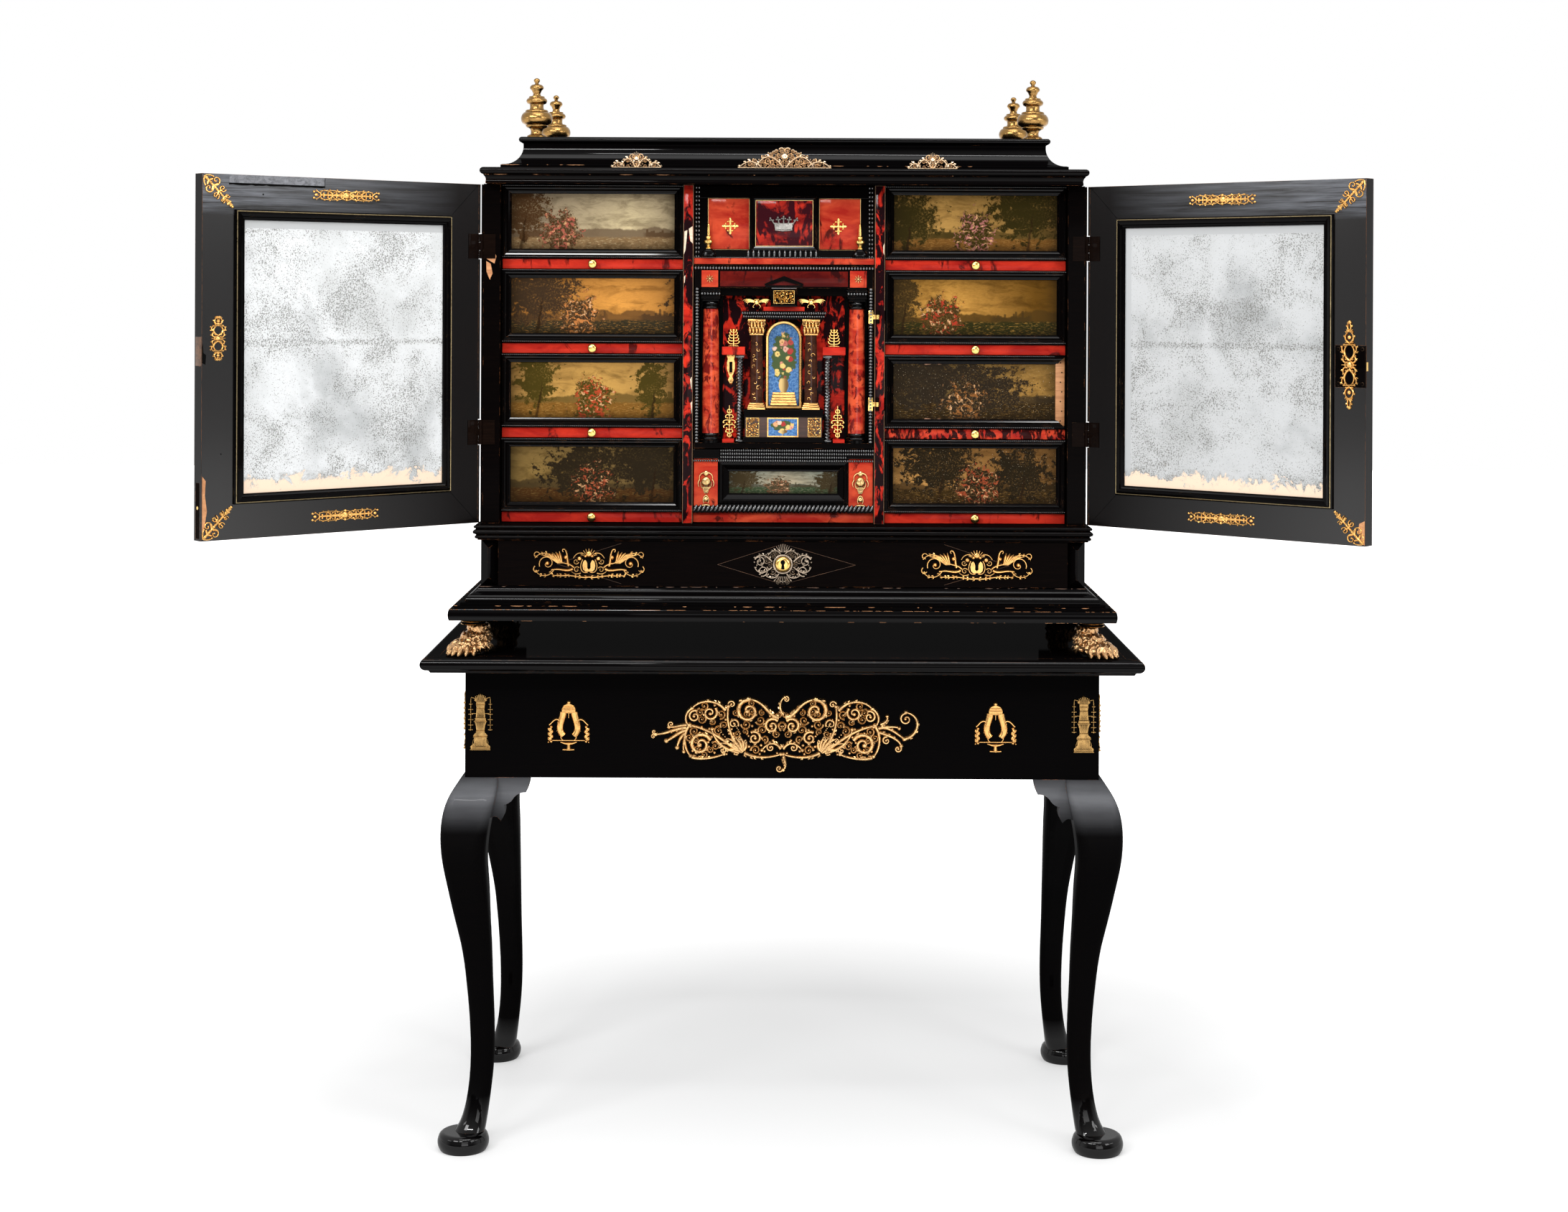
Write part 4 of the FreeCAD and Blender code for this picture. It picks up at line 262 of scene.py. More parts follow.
def makeLandscapeGroup():  # an old varnished landscape: sky, hills, tree masses, a flowering bush, dark foreground
    tree, given, out = shaderGroup("oldLandscape", {
        "UV": ("vector", None), "Seed": ("float", 0.0), "Horizon": ("float", 0.45),
        "Sky": ("color", (0.30, 0.22, 0.13, 1)), "Glow": ("color", (0.72, 0.52, 0.24, 1)),
        "Land": ("color", (0.10, 0.07, 0.03, 1)), "Leaf": ("color", (0.045, 0.04, 0.018, 1)),
        "Bloom": ("color", (0.5, 0.2, 0.15, 1)), "Tree": ("float", 0.2), "TreeSize": ("float", 0.3),
        "Second": ("float", 1.1), "GlowAt": ("float", 0.6), "BloomAt": ("float", 0.5), "Loss": ("float", 0.0),
    }, {"Color": "color", "Height": "float"})

    def scaled(value, low, gain):  # clamp((value - low) * gain)
        return times(less(value, low), gain, clamp=True)

    s, t, _ = split(given["UV"])
    seed, horizon, leaf = given["Seed"], given["Horizon"], given["Leaf"]
    gold, loss, treeSize = given["Glow"], given["Loss"], given["TreeSize"]
    wide = combine(times(s, 2.8), t, seed)
    cloud = noise(stretched(wide, (1, 2.4, 1)), 2.4, 6, 0.62, 0.6)
    ragged = noise(wide, 7.0, 7, 0.74, 0.3)
    dabs = noise(wide, 30.0, 4, 0.7, 0.3)
    brush = noise(stretched(wide, (1, 4, 1)), 14.0, 4, 0.65, 0.8)
    uneven = times(less(ragged, 0.5), 0.14)
    across = unsigned(less(s, given["GlowAt"]))
    glow = less(1.0, times(across, 1.9), clamp=True)
    low = less(1.3, times(less(t, horizon), 2.2), clamp=True)
    warm = times(glow, plus(times(brush, 0.9), times(low, 0.5)), clamp=True)
    sky = blend(warm, given["Sky"], gold)
    color = blend(times(scaled(cloud, 0.46, 5.0), 0.6), sky, (0.34, 0.31, 0.28), "MULTIPLY")
    hill = noise(combine(times(s, 3.4), seed, 3.0), 1.2, 5, 0.55)
    top = plus(horizon, times(less(hill, 0.5), 0.5))
    far = times(less(plus(top, times(uneven, 0.4)), t), 34.0, clamp=True)
    dull = blend(0.62, given["Sky"], leaf)
    color = blend(times(far, 0.9), color, dull)
    house = addNode(tree, "ShaderNodeTexWhiteNoise", {"W": floored(times(plus(s, seed), 74.0))},
                    noise_dimensions="1D").outputs["Value"]
    place = scaled(noise(combine(times(s, 2.6), seed, 9.0), 1.6, 2, 0.5), 0.5, 12.0)
    roof = times(times(raised(house, 3.0), place), 0.13)
    town = less(plus(less(horizon, 0.05), roof), t)
    town = times(times(town, 60.0, clamp=True), place)
    color = blend(times(town, 0.7), color, leaf)
    near = less(plus(less(horizon, 0.12), uneven), t)
    near = times(near, 24.0, clamp=True)
    color = blend(near, color, given["Land"])
    streak = times(near, times(scaled(brush, 0.53, 7.0), 0.55))
    color = blend(streak, color, gold)
    for side, size, rise in ((given["Tree"], treeSize, 0.70), (given["Second"], times(treeSize, 0.75), 0.55)):
        along = over(less(s, side), size)
        up = times(less(t, rise), 1.5)
        reach = root(plus(times(along, along), times(up, up)))
        mass = plus(less(0.75, reach), times(less(ragged, 0.5), 3.0))
        mask = times(mass, 9.0, clamp=True)
        color = blend(mask, color, leaf)
        facing = plus(times(along, 0.5), times(scaled(cloud, 0.42, 4.0), 0.7), clamp=True)
        lit = times(times(mask, facing), times(scaled(dabs, 0.5, 6.0), 0.55))
        color = blend(lit, color, gold)
        lean = plus(times(t, 0.05), times(less(ragged, 0.5), 0.05))
        stem = unsigned(less(less(s, side), lean))
        thick = less(0.014, times(t, 0.014))
        trunk = times(less(thick, stem), 160.0, clamp=True)
        trunk = times(trunk, times(less(rise, t), 6.0, clamp=True))
        color = blend(times(trunk, 0.7), color, (0.030, 0.018, 0.010))
    along = times(less(s, given["BloomAt"]), 6.0)
    up = times(less(t, 0.30), 1.7)
    reach = root(plus(times(along, along), times(up, up)))
    bush = plus(less(0.72, reach), times(less(ragged, 0.5), 2.4))
    bush = times(bush, 9.0, clamp=True)
    color = blend(bush, color, leaf)
    color = blend(times(bush, times(scaled(dabs, 0.5, 6.0), 0.4)), color, gold)
    flowers = times(bush, scaled(noise(wide, 11.0, 3, 0.55, 1.2), 0.53, 14.0))
    color = blend(times(flowers, 0.9), color, given["Bloom"])
    pale = times(bush, scaled(noise(stretched(wide, (1, 1, 1), move=(3, 5, 0)), 13.0, 3, 0.55, 1.0), 0.585, 16.0))
    color = blend(times(pale, 0.85), color, (0.62, 0.42, 0.27))
    folds = times(bush, scaled(dabs, 0.55, 8.0))
    color = blend(times(folds, 0.6), color, (0.06, 0.035, 0.022))
    shade = times(less(plus(0.16, times(uneven, 2.4)), t), 5.0, clamp=True)
    color = blend(times(shade, 0.8), color, (0.016, 0.011, 0.006))
    rim = raised(times(unsigned(less(s, 0.5)), 2.0), 7.0)
    color = blend(times(rim, 0.6), color, (0.022, 0.017, 0.010))
    specks = times(scaled(noise(wide, 60.0, 2, 0.5), 0.70, 30.0), loss, clamp=True)
    color = blend(specks, color, (0.62, 0.58, 0.52))
    border = times(less(unsigned(less(t, 0.5)), 0.47), 20.0)
    flaked = times(plus(border, times(less(hill, 0.62), 8.0)), 4.0, clamp=True)
    flaked = times(flaked, less(loss, 1.0, clamp=True))
    color = blend(flaked, color, (0.62, 0.40, 0.33))
    give(out, Color=color, Height=plus(dabs, brush))
    return tree


wearGroup = makeWearGroup()
lacquerGroup = makeLacquerGroup()
shellGroup = makeShellGroup()
metalGroup = makeMetalGroup()
landscapeGroup = makeLandscapeGroup()
print("shader groups ready")


def rubbed(place, radius, amount):  # the mask of worn edges
    wearScale = 45.0
    edge = edgeShift(place.id_data, radius)
    return useGroup(wearGroup, {"Vector": place, "Edge": edge, "Amount": amount, "Scale": wearScale})["Mask"]


def blackWood(name, warmth=0.4, gloss=0.2, wear=0.35, wearColor=(0.36, 0.13, 0.045), radius=0.0006, bumpSize=0.00025,
              varnish=0.015, level=0.0, shine=0.0, satin=0.06):
    material, tree, shader, place = newMaterial(name, IOR=1.5, Coat_Weight=varnish, Coat_Roughness=satin,
                                                Specular_IOR_Level=level)
    polish = useGroup(lacquerGroup, {"Vector": place, "Warmth": warmth, "Gloss": gloss})
    worn = rubbed(place, radius, wear)
    color = blend(worn, polish["Color"], wearColor)
    rough = plus(polish["Roughness"], times(worn, 0.35), clamp=True)
    feed(shader, Base_Color=color, Roughness=rough)
    if shine:  # the varnish shows on curved mouldings, and hardly on flat boards
        facing = split(tree.nodes.new("ShaderNodeNewGeometry").outputs["Normal"])[2]
        facing = unsigned(facing)
        curved = smaller(times(less(facing, 0.05), 7.0, clamp=True), times(less(0.985, facing), 6.0, clamp=True))
        feed(shader, Coat_Weight=plus(varnish, times(curved, shine)))
    bump(shader, polish["Height"], 0.25, bumpSize)
    return material


def shellVeneer(name, light, deep, smoke, amount, scale=1.0, varnish=0.07):
    material, _, shader, place = newMaterial(name, IOR=1.5, Coat_Weight=varnish, Coat_Roughness=0.06,
                                                Specular_IOR_Level=0.0)
    shell = useGroup(shellGroup, {"Vector": place, "Light": (*light, 1), "Deep": (*deep, 1), "Smoke": (*smoke, 1),
                                        "Amount": amount, "Scale": scale})
    feed(shader, Base_Color=shell["Color"], Roughness=shell["Roughness"])
    bump(shader, shell["Height"], 0.12, 0.0002)
    return material


def gilding(name, bright, dull, tarnish, radius=0.0012, reach=0.005):
    material, tree, shader, place = newMaterial(name, Metallic=1.0)
    # the Hollow input darkens the mount's recesses: painted shade together with tarnish
    metal = useGroup(metalGroup, {"Vector": place, "Edge": edgeShift(tree, radius), "Bright": (*bright, 1),
                                        "Dull": (*dull, 1), "Tarnish": tarnish, "Hollow": hollows(tree, reach)})
    feed(shader, Base_Color=metal["Color"], Roughness=metal["Roughness"])
    bump(shader, metal["Height"], 0.25, 0.0003)
    return material


def plainWood(name, light, dark, turn=(0, 0, 0)):
    material, _, shader, place = newMaterial(name, Roughness=0.5, IOR=1.45)
    vector = stretched(place, (3, 40, 40), turn)
    ring = noise(vector, 3.0, 6, 0.6, 1.4)
    pore = noise(stretched(place, (8, 300, 300), turn), 3.0, 3, 0.7)
    level = plus(times(ring, 0.7), times(pore, 0.3))
    color = steps(level, [(0.3, dark), (0.7, light)])
    feed(shader, Base_Color=color, Roughness=plus(0.38, times(pore, 0.25)))
    bump(shader, level, 0.3, 0.0004)
    return material


def oldMirror(name, pale, shift, sideRim):
    size = {"speck": 560.0, "cluster": 13.0, "cloud": 5.0, "loss": 0.019, "halo": 0.011, "crackAt": 0.55, "rim": 0.012}
    material, _, shader, place = newMaterial(name, IOR=1.5, Metallic=0.1, Coat_Weight=0.25, Coat_Roughness=0.04,
                                                Specular_IOR_Level=0.3)
    low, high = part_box("door_left_mirror")
    moved = stretched(place, (1, 1, 1), move=(shift, shift, shift))
    speck = noise(moved, size["speck"], 2, 0.6)
    cluster = noise(moved, size["cluster"], 5, 0.62, 0.5)
    cloud = noise(moved, size["cloud"], 5, 0.6, 0.3)
    vein = noise(moved, 60.0, 6, 0.75, 0.5)
    parts = split(place)
    rise = less(parts[2], low.z)
    # pale sets the glass's overall brightness; the darker right glass is painted shade
    base = steps(cloud, [(0.30, tuple(pale * v for v in (0.62, 0.64, 0.645))),
                         (0.50, tuple(pale * v for v in (0.98, 1.0, 1.01))),
                         (0.72, tuple(pale * v for v in (0.78, 0.80, 0.80)))])
    line = unsigned(less(rise, (high.z - low.z) * size["crackAt"]))
    line = times(less(0.006, line), 200.0, clamp=True)
    group = times(less(cluster, 0.40), 4.5, clamp=True)
    group = plus(group, times(line, 0.8), clamp=True)
    limit = less(0.63, times(group, 0.15))
    dots = times(less(speck, limit), 14.0, clamp=True)
    color = blend(times(group, 0.16), base, (0.34, 0.345, 0.33))
    color = blend(times(dots, 0.75), color, (0.12, 0.118, 0.105))
    plain = times(less(rise, high.z - low.z - size["rim"]), 900.0, clamp=True)
    if sideRim:  # the glass is plain along its left side too
        edge = less(sideRim, parts[0])
        plain = larger(plain, times(edge, 900.0, clamp=True))
    color = blend(plain, color, (0.44, 0.45, 0.455))
    ragged = noise(moved, 34.0, 6, 0.72, 0.6)
    bare = less(plus(size["loss"], times(less(ragged, 0.5), 0.10)), rise)
    lost = times(bare, 500.0, clamp=True)
    halo = times(plus(bare, size["halo"]), 90.0, clamp=True)
    halo = times(halo, times(less(vein, 0.42), 5.0, clamp=True))
    color = blend(times(halo, 0.75), color, (0.15, 0.145, 0.13))
    lace = times(less(0.03, unsigned(less(vein, 0.5))), 40.0, clamp=True)
    lace = times(lace, less(1.0, times(bare, 90.0), clamp=True))
    peach = blend(times(lace, 0.7), (0.84, 0.64, 0.48), (0.42, 0.36, 0.31))
    color = blend(lost, color, peach)
    rough = plus(0.30, times(dots, 0.3))
    feed(shader, Base_Color=color, Roughness=rough)
    return material


def painting(name, look, tone=(0.84, 0.74, 0.58)):  # tone: the brown of the old picture varnish
    material, tree, shader, _ = newMaterial(name, IOR=1.5, Roughness=0.4, Coat_Weight=0.02, Coat_Roughness=0.15,
                                                Specular_IOR_Level=0.0)
    given = {key: solid(value) for key, value in zip(pictureKeys, look)}
    given["UV"] = tree.nodes.new("ShaderNodeTexCoord").outputs["UV"]
    scene = useGroup(landscapeGroup, given)
    deeper = addNode(tree, "ShaderNodeGamma", {"Color": scene["Color"], "Gamma": 1.2}).outputs[0]
    toned = blend(1.0, deeper, tuple(1.32 * v for v in tone), "MULTIPLY")
    feed(shader, Base_Color=toned)
    bump(shader, scene["Height"], 0.15, 0.0002)
    return material


ebony = blackWood("ebony", 0.2, 0.2, 0.2, shine=0.12, satin=0.05)
ebonyFlat = blackWood("ebonyStand", 0.10, 0.26, 0.2, (0.22, 0.08, 0.035))
ebonyTop = blackWood("ebonyTop", 0.12, 0.2, 0.3, (0.42, 0.15, 0.05), 0.0006, 0.0001, shine=0.22, satin=0.05)
ebonyWorn = blackWood("ebonyWorn", 0.1, 0.16, 0.12, (0.50, 0.19, 0.06), 0.0005, shine=0.24, satin=0.05)
ebonyRipple = blackWood("ebonyRipple", 0.1, 0.2, 0.0, varnish=1.0, level=0.9, satin=0.16)
ebonyBright = blackWood("ebonyBright", 0.1, 0.16, 0.2, varnish=0.10, shine=0.3)
ebonyHinge = blackWood("darkHinges", 0.8, 0.4, 0.15, (0.16, 0.09, 0.045), varnish=0.02)
frameBlack = blackWood("frameBlack", 0.15, 0.2, 0.2, (0.30, 0.13, 0.06), 0.0005, varnish=0.03, shine=0.25)
rimBlack = blackWood("mirrorRim", 0.1, 0.16, 0.15, (0.50, 0.30, 0.12), 0.0004, varnish=0.10)
shellDark = shellVeneer("shellDark", (0.60, 0.030, 0.014), (0.26, 0.010, 0.008), (0.010, 0.003, 0.004), 0.76, 1.7)
shellBright = shellVeneer("shellBright", (0.56, 0.068, 0.028), (0.33, 0.018, 0.011), (0.07, 0.008, 0.006), 0.46)
shellRail = shellVeneer("shellRail", (0.58, 0.034, 0.017), (0.34, 0.014, 0.010), (0.09, 0.007, 0.006), 0.46)
shellSpotted = shellVeneer("shellSpotted", (0.70, 0.07, 0.03), (0.40, 0.02, 0.014), (0.03, 0.005, 0.005), 0.70, 2.2)
shellColumn = shellVeneer("shellColumn", (0.62, 0.085, 0.030), (0.33, 0.016, 0.010), (0.13, 0.008, 0.006), 0.58, 2.5,
                          0.35)
shellPanel = shellVeneer("shellPanel", (0.52, 0.030, 0.016), (0.10, 0.006, 0.007), (0.035, 0.005, 0.008), 0.70)
shellFrieze = shellVeneer("shellFrieze", (0.13, 0.009, 0.006), (0.05, 0.004, 0.004), (0.025, 0.004, 0.004), 0.56)
shellAmber = shellVeneer("shellAmber", (0.060, 0.020, 0.010), (0.022, 0.009, 0.006), (0.70, 0.26, 0.035), 0.30, 2.4,
                         0.3)
gilt = gilding("gilt", (0.70, 0.39, 0.13), (0.15, 0.062, 0.018), 0.36)
giltDoor = gilding("giltDoor", (0.78, 0.43, 0.13), (0.085, 0.034, 0.010), 0.40, 0.0008, 0.0025)
giltSmall = gilding("giltSmall", (0.92, 0.60, 0.20), (0.22, 0.10, 0.03), 0.30, 0.0006, 0.0012)
giltUrn = gilding("giltUrn", (0.40, 0.24, 0.085), (0.045, 0.024, 0.010), 0.42, reach=0.003)
giltPale = gilding("giltPale", (0.68, 0.46, 0.20), (0.17, 0.085, 0.03), 0.36)
giltBrown = gilding("giltBrown", (0.74, 0.46, 0.20), (0.075, 0.034, 0.013), 0.42)
giltPaw = gilding("giltPaw", (0.58, 0.34, 0.16), (0.065, 0.030, 0.012), 0.42, 0.0012, 0.004)
giltLid = gilding("giltLid", (0.95, 0.72, 0.48), (0.24, 0.14, 0.075), 0.34, reach=0.003)
silverBrass = gilding("silverBrass", (0.38, 0.30, 0.225), (0.055, 0.042, 0.033), 0.42)
finialBrass = gilding("finialBrass", (0.30, 0.17, 0.055), (0.07, 0.036, 0.014), 0.36)
brass = gilding("agedBrass", (0.80, 0.52, 0.16), (0.22, 0.11, 0.035), 0.32)
# painted highlight: the frame's black bead gets a pale gilt colour
rimBeadHighlight = gilding("rimBeadHighlight", (0.42, 0.33, 0.18), (0.05, 0.035, 0.018), 0.44)
silver = gilding("crownSilver", (0.42, 0.40, 0.37), (0.06, 0.053, 0.05), 0.42)
# one recipe for both glasses: the right one's lower brightness (0.53 against 0.68) is painted shade, for less light on
# the right door
mirrorLeft = oldMirror("agedMirrorLeft", 0.68, 0.0, None)
mirrorRight = oldMirror("agedMirrorRight", 0.53, 0.7, 0.513)
oak = plainWood("drawerWood", (0.30, 0.17, 0.085), (0.15, 0.075, 0.035), (0, 0, math.pi / 2))
bareWood = plainWood("bareWood", (0.62, 0.30, 0.13), (0.36, 0.14, 0.05))
brokenWood = plainWood("brokenWood", (0.16, 0.075, 0.035), (0.02, 0.010, 0.006))
paleGround = plainWood("paleGround", (0.78, 0.66, 0.50), (0.60, 0.46, 0.32))
darkWalnut = plainWood("pedestalVeneer", (0.060, 0.024, 0.014), (0.020, 0.009, 0.006), (0, math.pi / 2, 0))
walnut = plainWood("pedestalWood", (0.20, 0.085, 0.040), (0.075, 0.028, 0.015), (0, math.pi / 2, 0))
rubbedWood = plainWood("rubbedWood", (0.20, 0.11, 0.07), (0.05, 0.028, 0.018))
# near-black for holes, slots, cracks and joints; in the holes and slots it is painted shade
darkHole = newMaterial("darkHole", Base_Color=(0.004, 0.004, 0.004, 1), Roughness=0.9, Specular_IOR_Level=0.0)[0]
print("materials ready")


def addObject(name, data):
    thing = bpy.data.objects.new(name, data)
    bpy.context.scene.collection.objects.link(thing)
    return thing


def finishObject(name, mesh, material, body, replaced=(), smooth=True):
    piece = addObject(name, mesh)
    if material is not None:
        mesh.materials.clear()
        mesh.materials.append(material)
    for polygon in mesh.polygons:
        polygon.use_smooth = smooth
    if smooth:
        mesh.set_sharp_from_angle(angle=math.radians(38))
    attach(piece, body)
    if replaced:
        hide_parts(*replaced)
    return piece


def meshFrom(name, verts, faces, weld=0.00002):
    mesh = bpy.data.meshes.new(name)
    mesh.from_pydata([tuple(v) for v in verts], [], faces)
    work = bmesh.new()
    work.from_mesh(mesh)
    if weld:
        bmesh.ops.remove_doubles(work, verts=work.verts, dist=weld)
    bmesh.ops.recalc_face_normals(work, faces=work.faces)
    work.to_mesh(mesh)
    work.free()
    return mesh


def flank(side, a, b):  # from a to b on one side of the middle
    return sorted((side * a, side * b))


def atFront(face):  # local (u, v, height) to the front plane y = face
    return lambda v: at(v.x, face - v.z, v.y)


def direct(v):
    return at(v.x, v.y, v.z)


class Heap:  # vertices and faces gathered in millimetres, then placed by a function
    def __init__(self):
        self.verts, self.faces = [], []

    def add(self, verts, faces):
        start = len(self.verts)
        self.verts += [Vector(v) for v in verts]
        self.faces += [[start + i for i in face] for face in faces]
        return self

    def merge(self, other, change=lambda v: v):
        return self.add([change(v) for v in other.verts], other.faces)

    def shift(self, other, dx, dy, sx=1, sy=1):
        return self.merge(other, lambda v: Vector((v.x * sx + dx, v.y * sy + dy, v.z)))

    def slab(self, *given):
        return self.add(*slab(*given))

    def frame(self, *given):
        return self.add(*frameRun(*given))

    def lathe(self, *given):
        return self.add(*lathe(*given))

    def latheAt(self, *given):
        return self.add(*latheAt(*given))

    def build(self, name, material, body, replaced=(), put=direct, smooth=True, weld=0.00002):
        mesh = meshFrom(name, [put(v) for v in self.verts], self.faces, weld)
        return finishObject(name, mesh, material, body, replaced, smooth)


def ringFaces(rows, around, closed=True, capped=True):
    faces = []
    for i in range(rows - 1):
        for j in range(around if closed else around - 1):
            k = (j + 1) % around
            faces.append([i * around + j, i * around + k, (i + 1) * around + k, (i + 1) * around + j])
    if capped:
        faces += [list(range(around))[::-1], [(rows - 1) * around + j for j in range(around)]]
    return faces


def lathe(profile, around=32):  # profile of (radius, height); the axis is local z
    verts = [(r * math.cos(2 * math.pi * j / around), r * math.sin(2 * math.pi * j / around), h)
             for r, h in profile for j in range(around)]
    return verts, ringFaces(len(profile), around)


def rounded(profile, bend=6):  # (radius, height, bulge) rows: a bulge makes an arc to the next row
    rows = []
    for i, (r, h, bulge) in enumerate(profile):
        rows.append((r, h))
        if bulge and i + 1 < len(profile):
            r2, h2, _ = profile[i + 1]
            for step in range(1, bend):
                share = step / bend
                lift = 4 * bulge * share * (1 - share)
                length = math.hypot(r2 - r, h2 - h)
                rows.append((r + (r2 - r) * share + lift * (h2 - h) / length * length,
                             h + (h2 - h) * share - lift * (r2 - r) / length * length))
    return rows


def slab(x, y, z, chamfer=0.4):  # a box with chamfered edges
    (x0, x1), (y0, y1), (z0, z1) = x, y, z
    work = bmesh.new()
    bmesh.ops.create_cube(work, size=1.0)
    for v in work.verts:
        v.co = Vector(((x0 + x1) / 2 + v.co.x * (x1 - x0), (y0 + y1) / 2 + v.co.y * (y1 - y0),
                       (z0 + z1) / 2 + v.co.z * (z1 - z0)))
    if chamfer:
        bmesh.ops.bevel(work, geom=work.edges[:], offset=chamfer, segments=2, profile=0.5, affect="EDGES")
    work.verts.index_update()
    verts, faces = [v.co.copy() for v in work.verts], [[v.index for v in f.verts] for f in work.faces]
    work.free()
    return verts, faces


def frameRun(x, z, profile, left=(0, 1, 2, 3)):  # a mitred frame; the profile is of (inset, y) rows
    (x0, x1), (z0, z1) = x, z
    verts, faces = [], []
    for inset, y in profile:
        verts += [(x0 + inset, y, z0 + inset), (x1 - inset, y, z0 + inset), (x1 - inset, y, z1 - inset),
                  (x0 + inset, y, z1 - inset)]
    count = len(profile)
    for i in range(count):
        k = (i + 1) % count
        for j in left:
            n = (j + 1) % 4
            faces.append([i * 4 + j, i * 4 + n, k * 4 + n, k * 4 + j])
    for j in range(4):
        if j not in left:
            faces += [[i * 4 + j for i in range(count)], [i * 4 + (j + 1) % 4 for i in range(count)]]
    return verts, faces


pinX, pinY = 453.5, -1.25
doorTurn = math.radians(139.5)


def onDoor(side):  # closed-place millimetres of the left leaf to the open place of either leaf
    turn = Matrix.Rotation(-doorTurn, 3, "Z")
    pin = Vector((-pinX, pinY, 0))

    def put(v):
        w = turn @ (Vector((v.x, v.y, v.z)) - pin) + pin
        return at(w.x * -side, w.y, w.z)
    return put


def doorPolishAndSheen():  # duller towards the outer edge; a painted blue-grey sheen with brush-like streaks along the top rail
    look = {"coatLow": 0.05, "coatHigh": 0.85, "spread": 2.6, "railFrom": 1.376, "railSheen": (0.17, 0.18, 0.205),
            "edge": 0.4528}
    pin = at(pinX, pinY, 0)
    material, _, shader, place = newMaterial("doorBlack", IOR=1.5, Coat_Roughness=0.12, Specular_IOR_Level=0.06)
    polish = useGroup(lacquerGroup, {"Vector": place, "Warmth": 0.25, "Gloss": 0.30})
    parts = split(place)
    dx = less(unsigned(parts[0]), pin.x)
    dy = less(parts[1], pin.y)
    away = root(plus(times(dx, dx), times(dy, dy)))
    outer = less(times(away, look["spread"]), 0.1, clamp=True)
    streakAt = combine(times(away, 7.0), 0.0, times(parts[2], 170.0))
    streak = noise(streakAt, 1.0, 5, 0.65, 0.3)
    rail = times(less(parts[2], look["railFrom"]), 50.0, clamp=True)
    # painted sheen: a pale blue-grey highlight laid into the top rail's colour, streaked, fading towards the hinge
    railSheen = times(times(rail, times(less(streak, 0.36), 3.2, clamp=True)), outer)
    front = times(less(look["edge"], away), 4000.0, clamp=True)
    outer = times(outer, front)
    color = blend(times(times(railSheen, front), 0.8), polish["Color"], look["railSheen"])
    worn = rubbed(place, 0.0006, 0.35)
    color = blend(worn, color, (0.40, 0.16, 0.06))
    feed(shader, Base_Color=color, Roughness=polish["Roughness"],
         Coat_Weight=plus(look["coatLow"], times(outer, look["coatHigh"] - look["coatLow"])))
    bump(shader, polish["Height"], 0.25, 0.00025)
    return material


doorBlack = doorPolishAndSheen()


def legPolishAndSheen():  # a painted grey sheen over the front knees and brackets, glossy feet
    look = {"top": 0.548, "peak": 0.527, "fade": 0.055, "sheen": (0.115, 0.117, 0.125), "frontTo": -0.06}
    material, _, shader, place = newMaterial("ebonyLeg", IOR=1.5, Coat_Roughness=0.05, Specular_IOR_Level=0.0)
    polish = useGroup(lacquerGroup, {"Vector": place, "Warmth": 0.1, "Gloss": 0.3})
    parts = split(place)
    z = parts[2]
    front = times(less(look["frontTo"], parts[1]), 40.0, clamp=True)
    offset = less(z, look["peak"])
    below = less(1.0, over(times(offset, -1.0), look["fade"]), clamp=True)
    above = less(1.0, times(over(offset, look["top"] - look["peak"]), 0.55), clamp=True)
    # painted sheen: a grey highlight on the front knees and brackets, strongest a little below the knee tops
    sheen = times(times(raised(below, 1.6), above), front)
    streak = noise(stretched(place, (9, 9, 60)), 1.0, 4, 0.6)
    sheen = times(sheen, plus(0.6, times(streak, 0.8)), clamp=True)
    color = blend(sheen, polish["Color"], look["sheen"])
    worn = rubbed(place, 0.0008, 0.25)
    color = blend(worn, color, (0.36, 0.14, 0.06))
    foot = times(less(0.075, z), 30.0, clamp=True)
    feed(shader, Base_Color=color, Roughness=polish["Roughness"], Coat_Weight=plus(0.03, times(foot, 0.55)))
    bump(shader, polish["Height"], 0.25, 0.00025)
    return material


legBlack = legPolishAndSheen()


def spiral(cx, cy, radius, turns, start, way=1, count=None):
    count = count or max(8, int(turns * 14))
    points = []
    for i in range(count + 1):
        share = i / count
        r = radius * (1 - share) ** 0.8 + radius * 0.12 * share
        a = start + way * share * turns * 2 * math.pi
        points.append((cx + r * math.cos(a), cy + r * math.sin(a)))
    return points


def bow(p0, p1, p2, p3, count=10):
    points = []
    for i in range(count + 1):
        s = i / count
        a, b, c, d = (1 - s) ** 3, 3 * (1 - s) ** 2 * s, 3 * (1 - s) * s * s, s ** 3
        points.append((a * p0[0] + b * p1[0] + c * p2[0] + d * p3[0], a * p0[1] + b * p1[1] + c * p2[1] + d * p3[1]))
    return points


def stroke(heap, points, width, height, taper=(1, 0.35), arc=5, leaf=False, base=0.0):
    count = len(points)
    verts = []
    for i, (x, y) in enumerate(points):
        x0, y0 = points[max(i - 1, 0)]
        x1, y1 = points[min(i + 1, count - 1)]
        length = math.hypot(x1 - x0, y1 - y0) or 1
        nx, ny = -(y1 - y0) / length, (x1 - x0) / length
        share = i / (count - 1)
        w = width / 2 * (taper[0] + (taper[1] - taper[0]) * share)
        if leaf:
            w = width / 2 * (0.12 + math.sin(math.pi * min(share * 0.9 + 0.06, 1)) ** 0.8)
        for k in range(arc + 1):
            a = math.pi * k / arc
            verts.append((x + nx * w * math.cos(a), y + ny * w * math.cos(a),
                          base + height * math.sin(a) * min(1, 0.5 + w / width)))
    faces = ringFaces(count, arc + 1, closed=True)
    heap.add(verts, faces)
    return points


